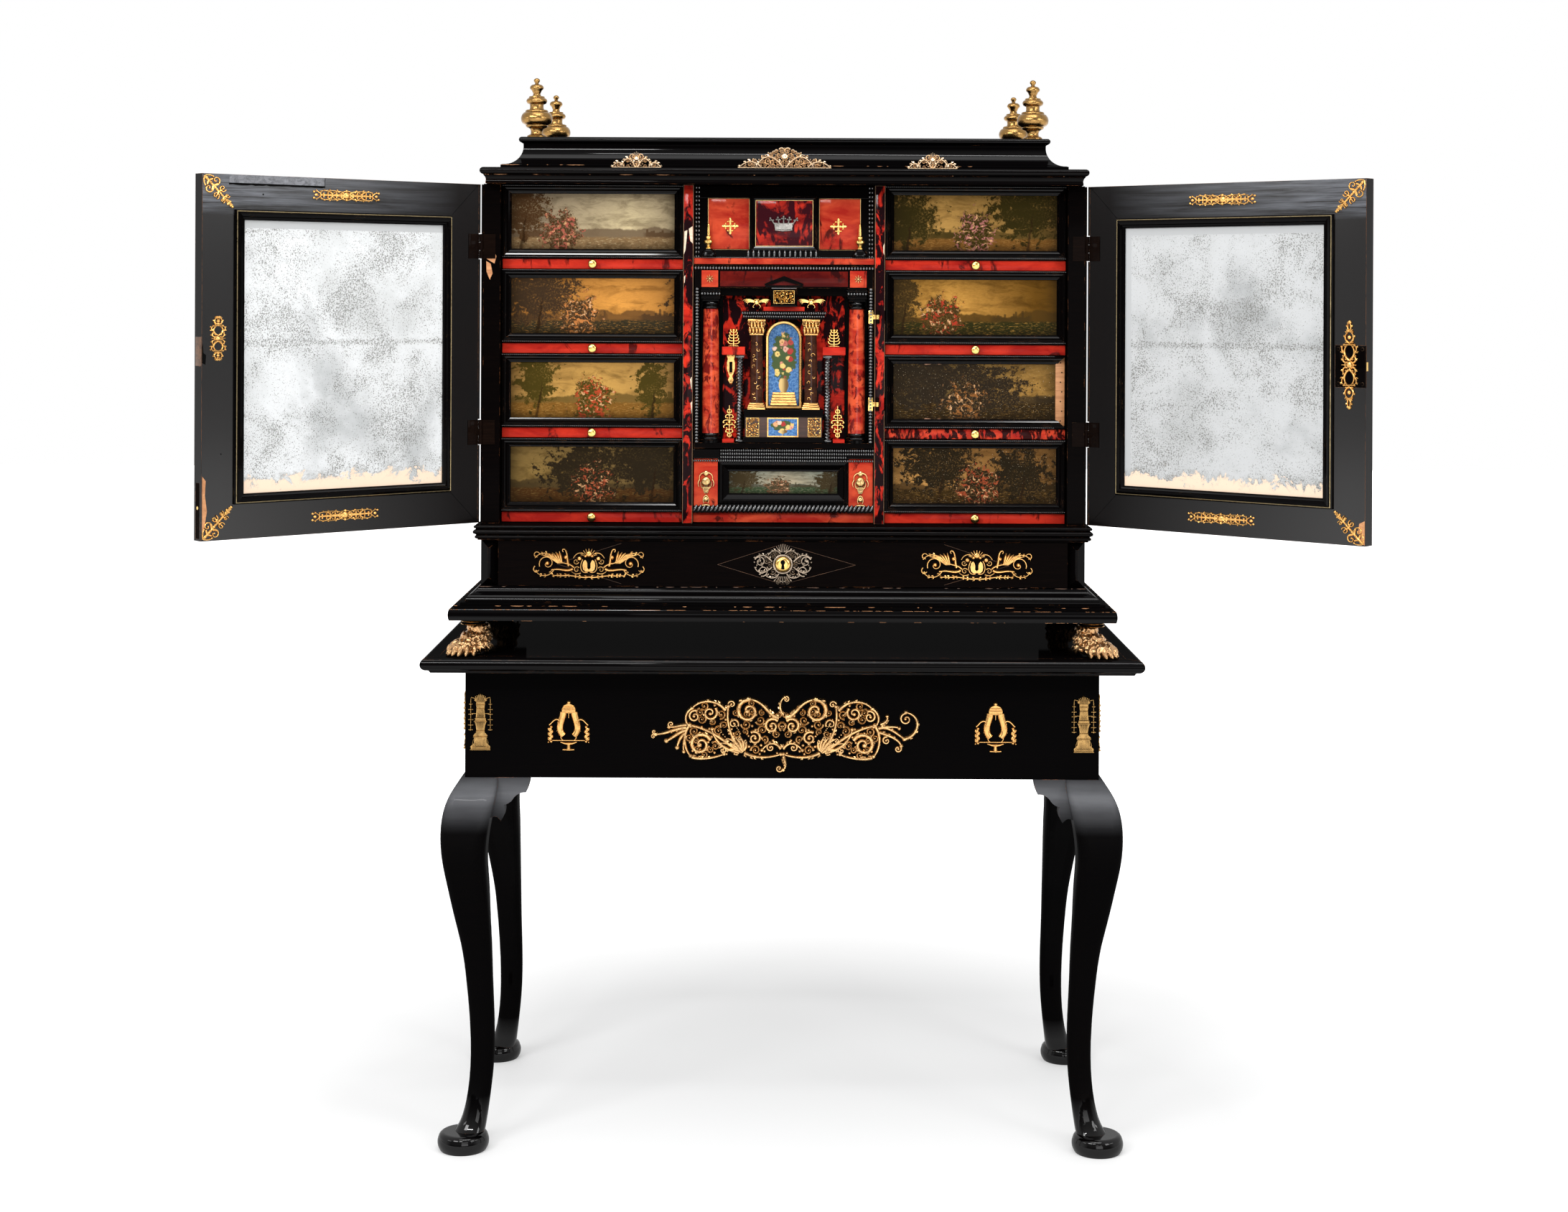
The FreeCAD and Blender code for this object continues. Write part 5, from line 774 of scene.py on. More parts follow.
def fronds(heap, points, side, reach, width, height, count, lean=1.0):
    for k in range(count):
        index = min(int((k + 0.6) / count * (len(points) - 1)), len(points) - 2)
        (x0, y0), (x1, y1) = points[index], points[index + 1]
        along = math.atan2(y1 - y0, x1 - x0)
        size = reach * (1 - 0.45 * k / count)
        a = along + side * lean
        b = along + side * lean * 0.35
        middle = (x0 + size * 0.55 * math.cos(a), y0 + size * 0.55 * math.sin(a))
        tip = (middle[0] + size * 0.5 * math.cos(b), middle[1] + size * 0.5 * math.sin(b))
        stroke(heap, [(x0, y0), middle, tip], width, height, leaf=True)


def dome(heap, x, y, radius, height, around=10, base=0.0):
    rows = []
    for i in range(4):
        a = math.pi / 2 * i / 4
        rows += [(x + radius * math.cos(a) * math.cos(2 * math.pi * j / around),
                  y + radius * math.cos(a) * math.sin(2 * math.pi * j / around), base + height * math.sin(a))
                 for j in range(around)]
    faces = ringFaces(4, around)
    heap.add(rows, faces)


def plate(heap, outline, height, base=0.0, inset=0.0):
    count = len(outline)
    cx, cy = sum(p[0] for p in outline) / count, sum(p[1] for p in outline) / count
    verts = [(x, y, base) for x, y in outline]
    verts += [(x + (cx - x) * inset, y + (cy - y) * inset, base + height) for x, y in outline]
    heap.add(verts, ringFaces(2, count))


def inside(point, outline):
    x, y = point
    hit = False
    for i in range(len(outline)):
        (x0, y0), (x1, y1) = outline[i - 1], outline[i]
        if (y0 > y) != (y1 > y) and x < (x1 - x0) * (y - y0) / (y1 - y0) + x0:
            hit = not hit
    return hit


def packCurls(heap, outline, used, sizes, seed, width, height, tries=900):
    rand = random.Random(seed)
    xs, ys = [p[0] for p in outline], [p[1] for p in outline]
    edge = [((outline[i - 1][0] * (1 - s) + outline[i][0] * s), (outline[i - 1][1] * (1 - s) + outline[i][1] * s))
            for i in range(len(outline)) for s in (0, 0.25, 0.5, 0.75)]
    taken = list(used) + edge
    for index in range(tries):
        limit = sizes[0] + (sizes[1] - sizes[0]) * (1 - index / tries)
        spot = (rand.uniform(min(xs), max(xs)), rand.uniform(min(ys), max(ys)))
        turn, way = rand.uniform(0, 2 * math.pi), rand.choice((-1, 1))
        if not inside(spot, outline):
            continue
        room = min(math.hypot(spot[0] - px, spot[1] - py) for px, py in taken)
        if room < sizes[0]:
            continue
        radius = min(room * 1.04, limit)
        if radius > sizes[0] * 1.25:
            line = spiral(spot[0], spot[1], radius, 1.35, turn, way)
            stroke(heap, line, width * min(1, radius / sizes[1] + 0.35), height, (1, 0.6), 4)
            dome(heap, spot[0], spot[1], radius * 0.3, height * 1.1, 7)
            taken += line
        else:
            dome(heap, spot[0], spot[1], radius * 0.62, height * 0.9, 7)
            taken += [(spot[0] + radius * 0.6 * math.cos(a), spot[1] + radius * 0.6 * math.sin(a))
                      for a in (0, 1.6, 3.1, 4.7)]


def both(heap):  # adds the mirror image across the middle line
    twin = Heap()
    twin.merge(heap)
    twin.merge(heap, lambda v: Vector((-v.x, v.y, v.z)))
    return twin


def volute(heap, line, width, height, side=0, reach=7.0, leaves=4):  # a scroll that ends in a small ball
    width *= 1.28
    stroke(heap, line, width, height, (1, 0.6))
    dome(heap, line[-1][0], line[-1][1], width * 0.55, height * 1.1, 9)
    if side:
        fronds(heap, line[:len(line) * 2 // 3], side, reach, width * 0.85, height * 0.9, leaves)
    return line


def friezeScroll():
    size = {"height": 4.4, "curl": (3.6, 7.6), "curlWidth": 4.2}
    heap, used = Heap(), []
    outline = [(1, 30), (10, 28), (22, 36), (40, 44), (66, 45), (90, 42), (106, 44), (124, 41), (138, 30), (143, 14),
               (138, 4), (145, -8), (145, -26), (137, -41), (118, -45), (96, -39), (76, -43), (58, -39), (40, -41),
               (20, -43), (1, -41)]
    main = [
        (bow((5, 17), (22, 20), (26, 44), (50, 44.5)), 6.6, 1), (spiral(50, 27, 17.5, 1.3, math.pi / 2, -1), 6.2, 1),
        (bow((58, -33), (76, -16), (84, 8), (80, 34)), 5.6, -1), (spiral(75, 37, 5.4, 1.1, 0.2, 1), 3.6, 0),
        (bow((84, 28), (96, 44), (120, 46), (134, 31)), 5.6, 1),
        (bow((134, 31), (146, 24), (146, 8), (136, 4)), 4.8, 0),
        (spiral(130, 19, 9, 1.3, 1.9, -1), 4.4, 0), (spiral(107, 24, 11, 1.35, 2.4, 1), 4.8, -1),
        (bow((62, -33), (84, -22), (98, -2), (138, 6)), 6.2, 1),
        (bow((64, -35), (90, -30), (102, -14), (104, 0)), 5.2, -1),
        (spiral(121, -23, 16.5, 1.5, 2.7, -1), 6.2, 1), (bow((139, 4), (147, -8), (147, -28), (136, -40)), 5.2, 0),
        (bow((134, -42), (120, -46), (100, -43), (86, -37)), 5.2, -1), (spiral(88, -31, 6, 1.2, 0.6, 1), 3.8, 0),
        (bow((56, -35), (42, -43), (22, -44), (2, -37)), 5.2, 1), (spiral(15, 5, 11.5, 1.35, 2.4, -1), 5.2, 1),
        (spiral(41, -13, 10, 1.35, 1.0, 1), 4.8, -1), (bow((2, -29), (10, -16), (22, -20), (30, -31)), 4.8, 1),
        (spiral(17, -27, 6.4, 1.2, 2.0, -1), 3.8, 0), (spiral(72, 8, 7.5, 1.2, 3.6, -1), 3.8, 0),
    ]
    for line, width, side in main:
        used += volute(heap, line, width, size["height"], side)
    for k in range(9):
        dome(heap, 96 + k * 3.6, 42.5 - abs(k - 4) * 0.9, 2.0, 4.4, 8)
        dome(heap, 68 + k * 2.8, -30 + k * 3.2, 1.8, 5.2, 8)
        dome(heap, 62 + k * 1.6, -6 + k * 2.6, 1.6, 4.0, 8)
    for angle, length in ((0.1, 26), (0.45, 33), (0.8, 30), (1.15, 27), (1.5, 24), (1.9, 20)):
        tip = (60 + length * math.cos(angle), -35 + length * math.sin(angle))
        bend = (60 + length * 0.5 * math.cos(angle + 0.4), -35 + length * 0.5 * math.sin(angle + 0.4))
        used += stroke(heap, bow((60, -35), bend, bend, tip), 6.4, size["height"], leaf=True)
        volute(heap, spiral(tip[0], tip[1] - 3, 3.2, 0.9, math.pi / 2, -1, 8), 2.6, 4.0)
    packCurls(heap, outline, used, size["curl"], 5, size["curlWidth"], 4.2, 520)
    whole = both(heap)
    tails = (
        (bow((143, 2), (156, 6), (166, -2), (182, -14)), 5.6, 1),
        (bow((182, -14), (206, -8), (208, 22), (184, 26)), 5.4, -1),
        (spiral(184, 16, 9, 1.2, 1.6, 1), 4.0, 0), (bow((146, 8), (154, 10), (158, 16), (156, 20)), 4.8, -1),
        (bow((148, 4), (160, 4), (168, 6), (174, 2)), 4.8, 0),
        (bow((144, -4), (158, -8), (174, -14), (177, -24)), 5.2, 1),
        (spiral(172, -28, 5.4, 1.1, 0.6, -1), 3.8, 0), (spiral(155, -16, 6, 1.2, 1.4, 1), 3.8, 0),
        (bow((-142, 6), (-152, 6), (-160, 2), (-168, 3)), 5.4, 0), (spiral(-165, 7, 4.6, 1.0, 4.2, -1), 3.4, 0),
        (bow((-142, 2), (-156, 2), (-172, -8), (-188, -8)), 6.2, 1), (spiral(-191, -11, 3.4, 1.0, 1.4, 1), 3.0, 0),
        (spiral(-190, -4, 3.0, 1.0, 4.8, -1), 2.8, 0), (bow((-142, -2), (-154, -4), (-162, -14), (-172, -18)), 6.0, 0),
        (bow((-143, -6), (-150, -10), (-154, -18), (-156, -28)), 5.6, 0),
        (bow((-142, -10), (-146, -16), (-147, -24), (-146, -34)), 4.8, 0),
        (bow((2, 22), (-6, 30), (-4, 44), (4, 48)), 4.8, 1), (spiral(6, 45, 4.4, 1.1, 1.6, -1), 3.4, 0),
        (bow((2, -40), (4, -50), (8, -54), (2, -60)), 5.2, -1), (spiral(-4, -58, 5.2, 1.1, -0.4, -1), 3.6, 0),
    )
    for line, width, side in tails:
        volute(whole, line, width, size["height"], side, 5.6, 3)
    return whole


def lyre():
    heap = Heap()
    stroke(heap, bow((8, 22), (9, 10), (19, -2), (8, -13)), 11.5, 4.4, (0.95, 0.85))
    stroke(heap, bow((8, -12), (13, -9), (13, -21), (5, -20)), 4.2, 3.6)
    stroke(heap, bow((14, 10), (21, 15), (25, 5), (29, 3)), 4.2, 3.6, (1, 0.8))
    stroke(heap, [(0, -20), (12, -20), (24, -20)], 2.4, 2.8, (1, 1))
    stroke(heap, bow((16, 8), (12, 3), (14, -4), (18, -6)), 2.6, 5.2)
    for k in range(7):
        dome(heap, 27 + (k % 2) * 2 - 1, 0 - k * 3.6, 3.7 if 0 < k < 6 else 2.6, 3.4, 8)
        dome(heap, 30 - (k % 2) * 2, -2 - k * 3.4, 1.7, 4.2, 7)
    stroke(heap, [(0, -25), (6, -24.5), (12, -22.5)], 6, 3.4)
    whole = both(heap)
    plate(whole, [(-11, 21), (11, 21), (11, 27), (8, 32.5), (0, 36), (-8, 32.5), (-11, 27)], 3.2, inset=0.1)
    for y, w, h in ((22, 22, 4.4), (26.5, 20, 5), (30.5, 15, 5)):
        stroke(whole, [(-w / 2, y), (0, y - 0.8), (w / 2, y)], 2.4, h, (1, 1))
    dome(whole, 0, 36.4, 3.4, 4)
    stroke(whole, [(0, 20), (0, 13)], 2.2, 2.6, (1, 0.6))
    stroke(whole, [(0, -24), (0, -33)], 6, 3.4, (0.7, 1.2))
    stroke(whole, [(-8.5, -33.4), (0, -34), (8.5, -33.4)], 3, 3.4, (1, 1))
    return whole


def urn():
    heap = Heap()
    outline = [(0, -42), (15, -42), (15.5, -38), (10, -33), (9.5, -22), (11.5, -21), (6, -15), (7, -6), (9.5, 2),
               (7.5, 6), (6, 22), (7, 30), (6, 32), (10, 35), (5, 40), (0, 43)]
    ring = outline + [(-x, y) for x, y in outline[::-1][1:-1]]
    plate(heap, ring, 2.4, inset=0.06)
    for y, w in ((-40.5, 30), (-37, 24), (-21.5, 21), (-13, 13), (1.5, 19), (6, 16), (31, 14), (26, 13), (20, 12)):
        stroke(heap, [(-w / 2, y), (0, y), (w / 2, y)], 2.4, 4.2, (1, 1))
    for k in range(7):
        stroke(heap, [((k - 3) * 1.7, 33), ((k - 3) * 2.5, 38.5 + 3 * math.cos((k - 3) * 0.5))], 2.1, 4, (0.8, 1.1))
        stroke(heap, bow(((k - 3) * 2.2, -36), ((k - 3) * 2.6, -33), ((k - 3) * 2.2, -28), ((k - 3) * 1.4, -23)), 1.5,
               3.6)
    for k in range(5):
        stroke(heap, bow(((k - 2) * 2.6, 0), ((k - 2) * 2.4, -4), ((k - 2) * 2.0, -8), ((k - 2) * 1.6, -11)), 1.9, 4.2)
        stroke(heap, bow(((k - 2) * 2.1, 8), ((k - 2) * 2.1, 11), ((k - 2) * 1.9, 15), ((k - 2) * 1.8, 18)), 1.7, 4)
    for side in (-1, 1):
        stroke(heap, [(side * 6, 35), (side * 14, 37), (side * 14.5, 33), (side * 14.5, -12)], 1.9, 2.4, (1, 1))
        stroke(heap, [(side * 6, 13), (side * 14, 13)], 1.8, 2.2, (1, 1))
        stroke(heap, bow((side * 8, -38), (side * 13, -36), (side * 12, -28), (side * 9, -24)), 2.4, 3.4)
        for y, w in ((27, 5), (19, 7), (12, 7), (4, 7.5), (-4, 7.5), (-11, 6.5)):
            stroke(heap, [(side * 14.5 - w / 2, y), (side * 14.5, y), (side * 14.5 + w / 2, y)], 2.4, 3.2, (0.8, 0.8))
            dome(heap, side * 14.5, y, 2.3, 4, 8)
    return heap


def corner():  # a leafy spray along the diagonal; the corner is at 0, 0
    heap = Heap()
    stroke(heap, bow((3, 3), (14, 14), (28, 28), (43, 43)), 4.6, 3.8, (1, 0.5))
    half = ((spiral(8.5, 19, 7.6, 1.15, -1.2, 1), 2.6), (spiral(19, 29, 5.2, 1.15, 1.2, -1), 2.4),
            (spiral(29, 36, 3.6, 1.1, 1.4, -1), 2.0), (bow((2, 2), (0.6, 8), (1, 12), (3, 15)), 2.4),
            (bow((34, 35), (36, 40), (39, 40), (41, 43)), 2.2))
    for line, width in half:
        for flip in (False, True):
            turned = [(y, x) for x, y in line] if flip else line
            stroke(heap, turned, width, 3.4, (1, 0.7))
            dome(heap, turned[-1][0], turned[-1][1], width * 0.6, 3.6, 8)
    for spot, length in ((7, 8), (14, 9), (22, 7), (30, 6), (37, 5)):
        for lean in (-1, 1):
            angle = math.pi / 4 + lean * 0.95
            tip = (spot + length * math.cos(angle), spot + length * math.sin(angle))
            stroke(heap, bow((spot, spot), (spot + 2, spot + 2), tip, tip), 3.2, 3.2, leaf=True)
    for spot, radius in ((5, 2.6), (11, 2.2), (18, 2.4), (26, 2.0), (44, 2.2)):
        dome(heap, spot, spot, radius, 4.4, 9)
    return heap


def strip():  # a long balustered strip for the rails
    heap, half = Heap(), Heap()
    stroke(half, [(0, 0), (20, 0), (44, 0)], 6.5, 3.2, (1.3, 0.5))
    for x, w, h in ((10, 5.5, 9), (18, 4, 12), (26, 5, 8), (33, 3, 12), (40, 4, 9)):
        stroke(half, [(x, -h / 2), (x, 0), (x, h / 2)], w, 4, (0.8, 0.8))
    for way in (-1, 1):
        for line, w in ((bow((4, way * 2), (12, way * 11), (20, way * 9), (24, way * 3)), 3.6),
                        (bow((24, way * 2), (32, way * 10), (42, way * 10), (46, way * 4)), 3.2),
                        (bow((44, 0), (48, way * 7), (54, way * 9), (57, way * 5)), 3.0),
                        (bow((12, way * 7), (22, way * 10), (34, way * 9), (44, way * 8)), 2.4)):
            stroke(half, line, w, 3.2)
            fronds(half, line, way, 4, 2.6, 2.8, 3)
        dome(half, 56, way * 6, 2.4, 3.2, 8)
        dome(half, 30, way * 7, 2.2, 3.4, 8)
        dome(half, 14, way * 6.4, 2.0, 3.4, 8)
    dome(half, 52, 0, 3.2, 3.6)
    heap.merge(both(half))
    dome(heap, 0, 0, 6.8, 4.8, 14)
    for way in (-1, 1):
        dome(heap, 0, way * 8.4, 3, 3.6)
        stroke(heap, bow((-8, way * 5), (-4, way * 10), (4, way * 10), (8, way * 5)), 3, 3.4, (0.8, 0.8))
    return heap


def stileMount(length=120):
    heap, half = Heap(), Heap()
    reach = length / 2
    for line, w in ((bow((0, 6), (9, 12), (10, 22), (2, 28)), 4.4), (bow((0, 30), (8, 34), (8, 42), (1, 46)), 3.8),
                    (bow((2, 4), (10, 1), (12, 10), (6, 14)), 4), (bow((0, 46), (3, 50), (3, 54), (0, reach)), 3.4),
                    (bow((8, 16), (13, 20), (11, 28), (6, 27)), 2.8)):
        stroke(half, line, w, 3.6)
        fronds(half, line, -1, 4.4, 3, 3, 3)
    for y, w in ((0, 11), (28, 9), (46, 6)):
        stroke(half, [(0, y), (w, y)], 3.2, 4, (1, 0.6))
    top = both(half)
    heap.merge(top)
    heap.merge(top, lambda v: Vector((v.x, -v.y, v.z)))
    for y, r in ((0, 5.4), (38, 3.2), (-38, 3.2), (reach - 1, 2.8), (1 - reach, 2.8)):
        dome(heap, 0, y, r, 4.4)
    return heap


def griffinPlate():
    heap, half = Heap(), Heap()
    lines = ((spiral(62, 0, 12, 1.1, -0.4, 1, 22), 3.6), (bow((24, -8), (34, -14), (42, -6), (56, -10)), 6.5),
             (bow((22, -6), (30, 2), (36, -2), (52, 6)), 4.6), (bow((30, -4), (33, 6), (31, 14), (35, 20)), 6.4),
             (bow((35, 20), (38, 23), (41, 20), (38, 17)), 4), (bow((52, 6), (58, 18), (72, 18), (80, 8)), 4.2),
             (bow((52, -10), (60, -22), (74, -20), (80, -10)), 3.4),
             (bow((80, 10), (84, 16), (76, 20), (73, 14)), 3.2), (bow((80, -4), (86, -10), (78, -16), (74, -10)), 3.4),
             (bow((0, -20), (10, -22), (20, -18), (32, -18)), 5.2),
             (bow((30, -17), (40, -20), (46, -16), (54, -19)), 4.6), (bow((9, 14), (14, 18), (20, 14), (23, 8)), 3.2))
    for line, w in lines:
        stroke(half, line, w * 0.82, 3.8, (1, 0.6))
    for line in (lines[5][0], lines[6][0], lines[9][0], lines[10][0]):
        fronds(half, line, 1, 4.6, 3.2, 3.2, 4)
        fronds(half, line, -1, 4.6, 3.2, 3.2, 4)
    for k in range(6):
        stroke(half, bow((39 + k * 1.4, 0), (42 + k * 2.4, 6), (42 + k * 3.4, 12), (44 + k * 5.4, 18 - k * 1.1)), 4.2,
               3.4, leaf=True)
    plate(half, [(0, -12), (5, -12.5), (8.6, -9), (9.6, -3), (8.4, 3), (5.6, 5.6), (3.4, 3), (2.4, 0), (2.4, -7),
                 (0, -9)], 2.4, inset=0.03)
    stroke(half, bow((2, -13), (12, -16), (15, -4), (9, 6)), 2.2, 3.6, (1, 1))
    stroke(half, spiral(18, -9, 4.6, 1.2, 2.6, -1), 2.4, 3.4)
    stroke(half, spiral(19, 3, 4.2, 1.2, 3.4, 1), 2.2, 3.4)
    stroke(half, bow((12, -14), (18, -17), (24, -15), (27, -10)), 2.6, 3.4)
    dome(half, 62, 0, 3.4, 4.2, 12)
    dome(half, 14, 7, 3.6, 3.8)
    dome(half, 34, 9, 3.6, 4.4)
    heap.merge(both(half))
    for k in range(9):
        a = math.pi * (k / 8)
        stroke(heap, [(7 * math.cos(a), 12 + 4 * math.sin(a)), (12 * math.cos(a), 13 + 9 * math.sin(a))], 4.4, 4,
               leaf=True)
    for x, y, r in ((0, 14, 5.4), (-5, 11, 3), (5, 11, 3)):
        dome(heap, x, y, r, 4.6)
    return heap


def plaque():
    heap, half = Heap(), Heap()
    outline = [(2, 24), (12, 22), (22, 18), (36, 16), (44, 8), (46, -6), (38, -16), (22, -24), (10, -30), (2, -30)]
    used = [(16 * math.cos(a), 16 * math.sin(a)) for a in (-1.4, -0.9, -0.4, 0, 0.4, 0.9, 1.4)]
    for line, w in ((bow((16, 4), (26, 16), (36, 16), (42, 8)), 4), (bow((16, -4), (28, -16), (38, -14), (42, -4)), 4),
                    (spiral(34, 4, 8, 1.4, 0.4, 1), 3.4), (spiral(30, -10, 8, 1.4, 5, -1), 3.4),
                    (bow((6, -14), (10, -22), (20, -22), (26, -16)), 3.8),
                    (bow((4, 16), (8, 22), (16, 22), (22, 14)), 3.8)):
        used += stroke(half, line, w, 3.4, (1, 0.6))
        fronds(half, line, 1, 5, 3.4, 3, 4)
    packCurls(half, outline, used, (2.4, 5), 8, 2.6, 2.8, 500)
    heap.merge(both(half))
    for k in range(-3, 4):
        stroke(heap, [(k * 1.8, 18), (k * 3.2, 27 + 3 * math.cos(k * 0.6))], 4, 3.6, leaf=True)
        stroke(heap, [(k * 2.4, -18), (k * 4.4, -28 + abs(k))], 4.4, 3.6, leaf=True)
    heap.lathe(rounded([(14.6, 0, 0), (14.6, 2.2, 0.1), (12.8, 2.6, 0), (12.6, 1.8, 0), (0.2, 1.8, 0)]), 36)
    return heap


def plaqueBoss():
    heap = Heap()
    heap.lathe(rounded([(12, 1.6, 0), (11.6, 3.4, 0.12), (8.6, 6.6, 0), (8.2, 7.6, 0), (7.2, 7.9, 0), (6.8, 7.1, 0),
                        (3, 7.2, 0), (0.2, 7.2, 0)]), 36)
    return heap


def crest(half, height, seed):  # a low pierced crest standing on its flat foot, y from 0
    heap, used = Heap(), []
    outline = [(0, 0), (half, 0), (half * 0.97, height * 0.2), (half * 0.74, height * 0.36),
               (half * 0.5, height * 0.6), (half * 0.26, height * 0.82), (0, height)]
    for line, w in ((bow((2, 2), (half * 0.3, height * 0.9), (half * 0.5, height * 0.5), (half * 0.62, 3)), 3),
                    (bow((half * 0.5, 3), (half * 0.7, height * 0.5), (half * 0.86, height * 0.3), (half * 0.98, 2)),
                     2.8), (bow((half, 1.4), (half * 0.6, 2), (half * 0.3, 1), (0, 1.6)), 2.6)):
        used += stroke(heap, line, w * 1.3, 3.4, (1, 0.6))
        fronds(heap, line, 1, 6, 4, 3, 4)
    packCurls(heap, outline, used, (2.0, 5.0), seed, 2.6, 2.8, 500)
    whole = both(heap)
    dome(whole, 0, height * 0.55, height * 0.17, 3.4, 12)
    for k in range(-3, 4):
        stroke(whole, [(k * 1.4, height * 0.7), (k * 2.6, height * (0.98 - abs(k) * 0.05))], 3.2, 2.8, leaf=True)
    return whole


def winged():  # a pair of wings around a small plain boss
    heap, half = Heap(), Heap()
    for k in range(4):
        stroke(half, bow((3, 1 - k * 0.8), (9, 4 - k), (15, 5 - k * 1.6), (21 - k * 2.4, 2 - k * 1.8)), 3, 2.6,
               leaf=True)
    stroke(half, bow((2, -3), (5, -5), (7, -8), (4, -9)), 2, 2.2)
    heap.merge(both(half))
    dome(heap, 0, -1, 4.6, 4.6, 14)
    for k in (-1, 0, 1):
        dome(heap, k * 2.4, 3.4, 1.7, 3.2, 8)
    return heap


def palmette():
    heap, half = Heap(), Heap()
    for k in range(5):
        y = -8 + k * 4.2
        r = 7.8 - k * 0.9
        stroke(half, bow((0, y), (r * 0.5, y - 1), (r, y), (r, y + 3.4)), 2.6, 2.6, (0.8, 0.9))
        dome(half, r, y + 3.2, 1.7, 2.6, 8)
    stroke(half, [(0, -11), (7, -11.5)], 3, 2.6, (1, 0.7))
    heap.merge(both(half))
    stroke(heap, [(0, -12), (0, 0), (0, 12)], 2.8, 3, (1.1, 0.9))
    dome(heap, 0, 12, 2.4, 3)
    return heap


def dropMount():
    heap, half = Heap(), Heap()
    for y, r in ((16, 3.2), (8, 6), (0, 9.5), (-7, 9), (-14, 5.5), (-20, 3)):
        stroke(half, bow((0, y + 2), (r * 0.4, y + 4), (r, y + 3), (r, y - 1)), 2.6, 2.6, (0.8, 1))
        dome(half, r * 0.9, y - 1, 1.8, 2.8, 8)
        dome(half, r * 0.45, y - 2, 1.6, 2.4, 8)
    heap.merge(both(half))
    stroke(heap, [(0, 25), (0, 0), (0, -25)], 3, 3, (0.6, 0.6))
    dome(heap, 0, 0, 3.4, 3.8)
    return heap


def keyPlate():
    heap = Heap()
    outline = [(-4, 24), (-6.5, 20), (-5, 14), (-6.5, 8), (-6.5, -2), (-4, -10), (-2, -14), (-4.5, -20), (-2, -25),
               (2, -25), (4.5, -20), (2, -14), (4, -10), (6.5, -2), (6.5, 8), (5, 14), (6.5, 20), (4, 24), (0, 26)]
    plate(heap, outline, 1.8, inset=0.08)
    for x, y, r in ((-3.4, 18, 1.8), (3.4, 18, 1.8), (0, -8, 2), (-2.6, -3, 1.4), (2.6, -3, 1.4), (0, -20, 2.2)):
        dome(heap, x, y, r, 2.8, 8)
    return heap


def cross(radius):
    heap = Heap()
    for k in range(4):
        a = math.pi / 2 * k
        c, s = math.cos(a), math.sin(a)
        stroke(heap, [(0, 0), (c * radius * 0.5, s * radius * 0.5), (c * radius, s * radius)], radius * 0.48, 1.8,
               (0.6, 0.8))
        for side in (-1, 1):
            end = (c * radius * 0.62 - s * side * radius * 0.34, s * radius * 0.62 + c * side * radius * 0.34)
            stroke(heap, bow((c * radius * 0.4, s * radius * 0.4), (c * radius * 0.7, s * radius * 0.7), end, end),
                   radius * 0.3, 1.6)
            dome(heap, end[0], end[1], radius * 0.14, 1.8, 8)
        dome(heap, c * radius, s * radius, radius * 0.16, 1.9, 8)
    dome(heap, 0, 0, radius * 0.2, 2.4)
    return heap


def crown():
    heap, half = Heap(), Heap()
    stroke(half, [(0, -11), (7, -10.6), (13, -9.6)], 3, 2.8, (1, 1))
    plate(half, [(0, -9.5), (12.5, -8.4), (14.5, 1), (0, 0)], 1.6)
    for x, y, lean in ((0, 4, 0), (7.5, 2.6, 0.25), (15.5, 1.5, 0.9)):
        stroke(half, [(x - lean * 3, y - 4), (x, y), (x + lean * 4, y + 5)], 3, 2.4, (1, 0.7))
        for dx in (-2.4, 2.4):
            dome(half, x + lean * 3 + dx, y + 3.4, 1.7, 2.4, 8)
        dome(half, x + lean * 5, y + 6.4, 1.9, 2.6, 8)
    for k in range(5):
        dome(half, 1.6 + k * 2.6, -6.4, 0.9, 2.2, 6)
    return heap.merge(both(half))


def maskMount():  # a bearded garden mask of a plain kind, on a small vase
    heap, half = Heap(), Heap()
    stroke(half, bow((0, 20), (8, 21), (12, 15), (10, 9)), 4, 3.2)
    stroke(half, bow((10, 10), (13, 6), (13, 2), (11, -1)), 3.4, 3)
    stroke(half, bow((3, -3), (7, -4), (9, 0), (8, 6)), 3, 3.2)
    stroke(half, bow((0, -8), (4, -7), (6, -3), (6, 1)), 3, 3)
    stroke(half, [(1.6, 9), (4, 9.8), (6.4, 8.6)], 1.3, 5.2, (1, 0.7))
    stroke(half, [(0, 1.8), (1.6, 1.6), (2.8, 0.9)], 1.2, 5, (1, 0.6))
    stroke(half, bow((0, -14), (4, -15), (6, -22), (3, -26)), 3.4, 3.2)
    stroke(half, [(0, -28), (6, -29)], 3, 3, (1, 1))
    dome(half, 4, 7.2, 1.0, 5, 8)
    heap.merge(both(half))
    dome(heap, 0, 6.5, 7.6, 4.4, 18)
    stroke(heap, [(0, 9), (0, 6), (0, 3.8)], 1.9, 5.8, (0.7, 1.1))
    dome(heap, 0, 19, 4.6, 3.4)
    dome(heap, 0, -20, 4.4, 3.6)
    for k in range(-3, 4):
        stroke(heap, bow((k * 1.2, -1), (k * 1.5, -4), (k * 1.3, -8), (k * 0.7, -11)), 1.8, 3.8)
    return heap


